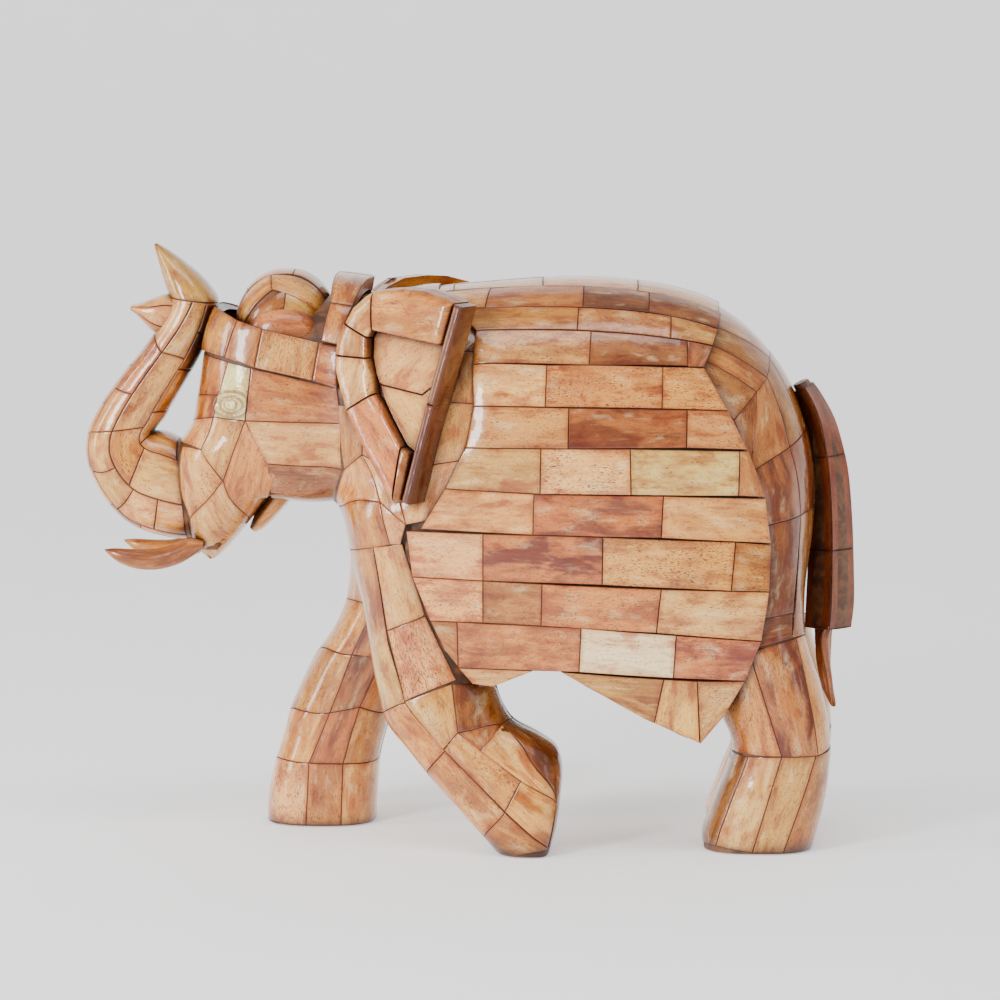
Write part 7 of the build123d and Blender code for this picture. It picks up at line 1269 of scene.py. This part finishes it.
def make(node, g, mats, sharp=38):
    me = bpy.data.meshes.new(node)
    V = np.vstack(g["v"]) * MM
    me.from_pydata([tuple(map(float, v)) for v in V], [], g["f"])
    me.update()
    for key, kind, dim in (("tc", "FLOAT_VECTOR", 3), ("ba", "FLOAT_COLOR", 4), ("sb", "FLOAT_COLOR", 4), ("ed", "FLOAT", 1)):
        if key not in g:
            continue
        a = me.attributes.new(key, kind, "POINT")
        data = np.concatenate(g[key]).astype(np.float32).ravel()
        a.data.foreach_set({3: "vector", 4: "color", 1: "value"}[dim], data)
    for m in mats:
        me.materials.append(m)
    ob = bpy.data.objects.new(node, me)
    bpy.context.scene.collection.objects.link(ob)
    me.polygons.foreach_set("use_smooth", [True] * len(me.polygons))
    me.set_sharp_from_angle(angle=math.radians(sharp))
    return ob


def join_fill(g, f):
    """Adds the filler under the tiles to the same piece, as a second material."""
    n = f["n"]
    out = dict(v=g["v"] + f["v"], f=g["f"] + [tuple(i + g["n"] for i in q) for q in f["f"]],
               tc=g["tc"] + [np.zeros((n, 3))], ba=g["ba"] + [np.tile([.02, .012, .008, 0], (n, 1))],
               sb=g["sb"] + [np.zeros((n, 4))], ed=g["ed"] + [np.zeros(n)])
    return out, len(g["f"])


# painted shade: rump tiles and rump centre tiles are coloured darker because that side of the body falls in shade; tail
# tiles and ear edge bars get deeper, darker colours
PAINTED_SHADE_AND_TONE = {"rump_tiles": (.66, .56, .46), "rump_centre": (.68, .58, .48), "tail_tiles": (.95, .72, .52), "ear_edge_bar": (.62, .58, .55)}
made = []
for node in list(PIECES):
    g = PIECES[node]
    for key, mul in PAINTED_SHADE_AND_TONE.items():
        if node.startswith(key):
            for ch in ("ba", "sb"):
                g[ch] = [a * np.array([*mul, 1.0]) for a in g[ch]]
    s = slot_of(node)
    mat = {"carved_wood": MAT_CORE, "dark_tile": MAT_DARK, "glued_tile": MAT_TILE}[s]
    if node in ("ear_core_left", "ear_core_right"):
        mat = MAT_TILE
    if node in DARK:
        mat = MAT_DARK
    split = None
    if node in FILL:
        g, split = join_fill(g, FILL[node])
    ob = make(node + ".look", g, [mat, MAT_FILL])
    if split is not None:
        idx = np.zeros(len(ob.data.polygons), np.int32)
        idx[split:] = 1
        ob.data.polygons.foreach_set("material_index", idx)
    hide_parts(node)
    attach(ob, "root")
    made.append(node)

left = [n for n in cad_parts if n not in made]
for n in left:
    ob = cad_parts[n]
    ob.data.materials.clear()
    ob.data.materials.append(MAT_CORE)
print("kept CAD nodes:", left)

# ---------------------------------------------------------------------------
# stage: pale floor, soft light, camera
def floor_material():
    k = Net("pale floor")
    tc = k.node("ShaderNodeTexCoord").outputs["Object"]
    n = k.noise(tc, (30, 30, 30), 3.0, .5)
    c = k.mix(n, (.88, .88, .88, 1), (.92, .92, .92, 1))
    p = k.node("ShaderNodeBsdfPrincipled", None, Base_Color=c, Roughness=.8)
    k.t.links.new(c, p.inputs["Emission Color"])
    p.inputs["Emission Strength"].default_value = FLOOR_GLOW
    p.inputs["Specular IOR Level"].default_value = .2
    o = k.node("ShaderNodeOutputMaterial")
    k.t.links.new(p.outputs[0], o.inputs["Surface"])
    return k.m


me = bpy.data.meshes.new("floor")
R = 4.0
prof = [(-R, -.0003), (.9, -.0003), (1.1, .01), (1.3, .05), (1.5, .13), (1.65, .27), (1.74, .5), (1.76, 2.6)]
vs = [(x, y, z) for y, z in prof for x in (-R, R)]
fs = [(2 * i, 2 * i + 1, 2 * i + 3, 2 * i + 2) for i in range(len(prof) - 1)]
me.from_pydata(vs, [], fs)
me.polygons.foreach_set("use_smooth", [True] * len(me.polygons))
me.materials.append(floor_material())
floor = bpy.data.objects.new("floor", me)
bpy.context.scene.collection.objects.link(floor)

scene = bpy.context.scene
w = bpy.data.worlds.new("studio")
w.use_nodes = True
w.node_tree.nodes["Background"].inputs[0].default_value = (1, 1, 1, 1)
w.node_tree.nodes["Background"].inputs[1].default_value = WORLD
scene.world = w


def area(name, loc, target, size, power, col=(1, 1, 1)):
    l = bpy.data.lights.new(name, "AREA")
    l.shape, l.size, l.size_y, l.energy, l.color = "RECTANGLE", size[0], size[1], power, col
    o = bpy.data.objects.new(name, l)
    o.location = loc
    o.rotation_euler = (Vector(target) - Vector(loc)).to_track_quat("-Z", "Y").to_euler()
    scene.collection.objects.link(o)
    return o


for L in LIGHTS:
    area(*L)

AZ, EL, DIST = math.radians(2.0), math.radians(6.0), 1.5
T = Vector((.0093, 0.0, .1006))
cam = bpy.data.cameras.new("camera")
cam.lens, cam.sensor_width, cam.clip_start, cam.clip_end = 180.0, 36.0, .05, 20.0
co = bpy.data.objects.new("camera", cam)
co.location = T + Vector((math.sin(AZ) * math.cos(EL), -math.cos(AZ) * math.cos(EL), math.sin(EL))) * DIST
co.rotation_euler = (T - co.location).to_track_quat("-Z", "Y").to_euler()
scene.collection.objects.link(co)
scene.camera = co
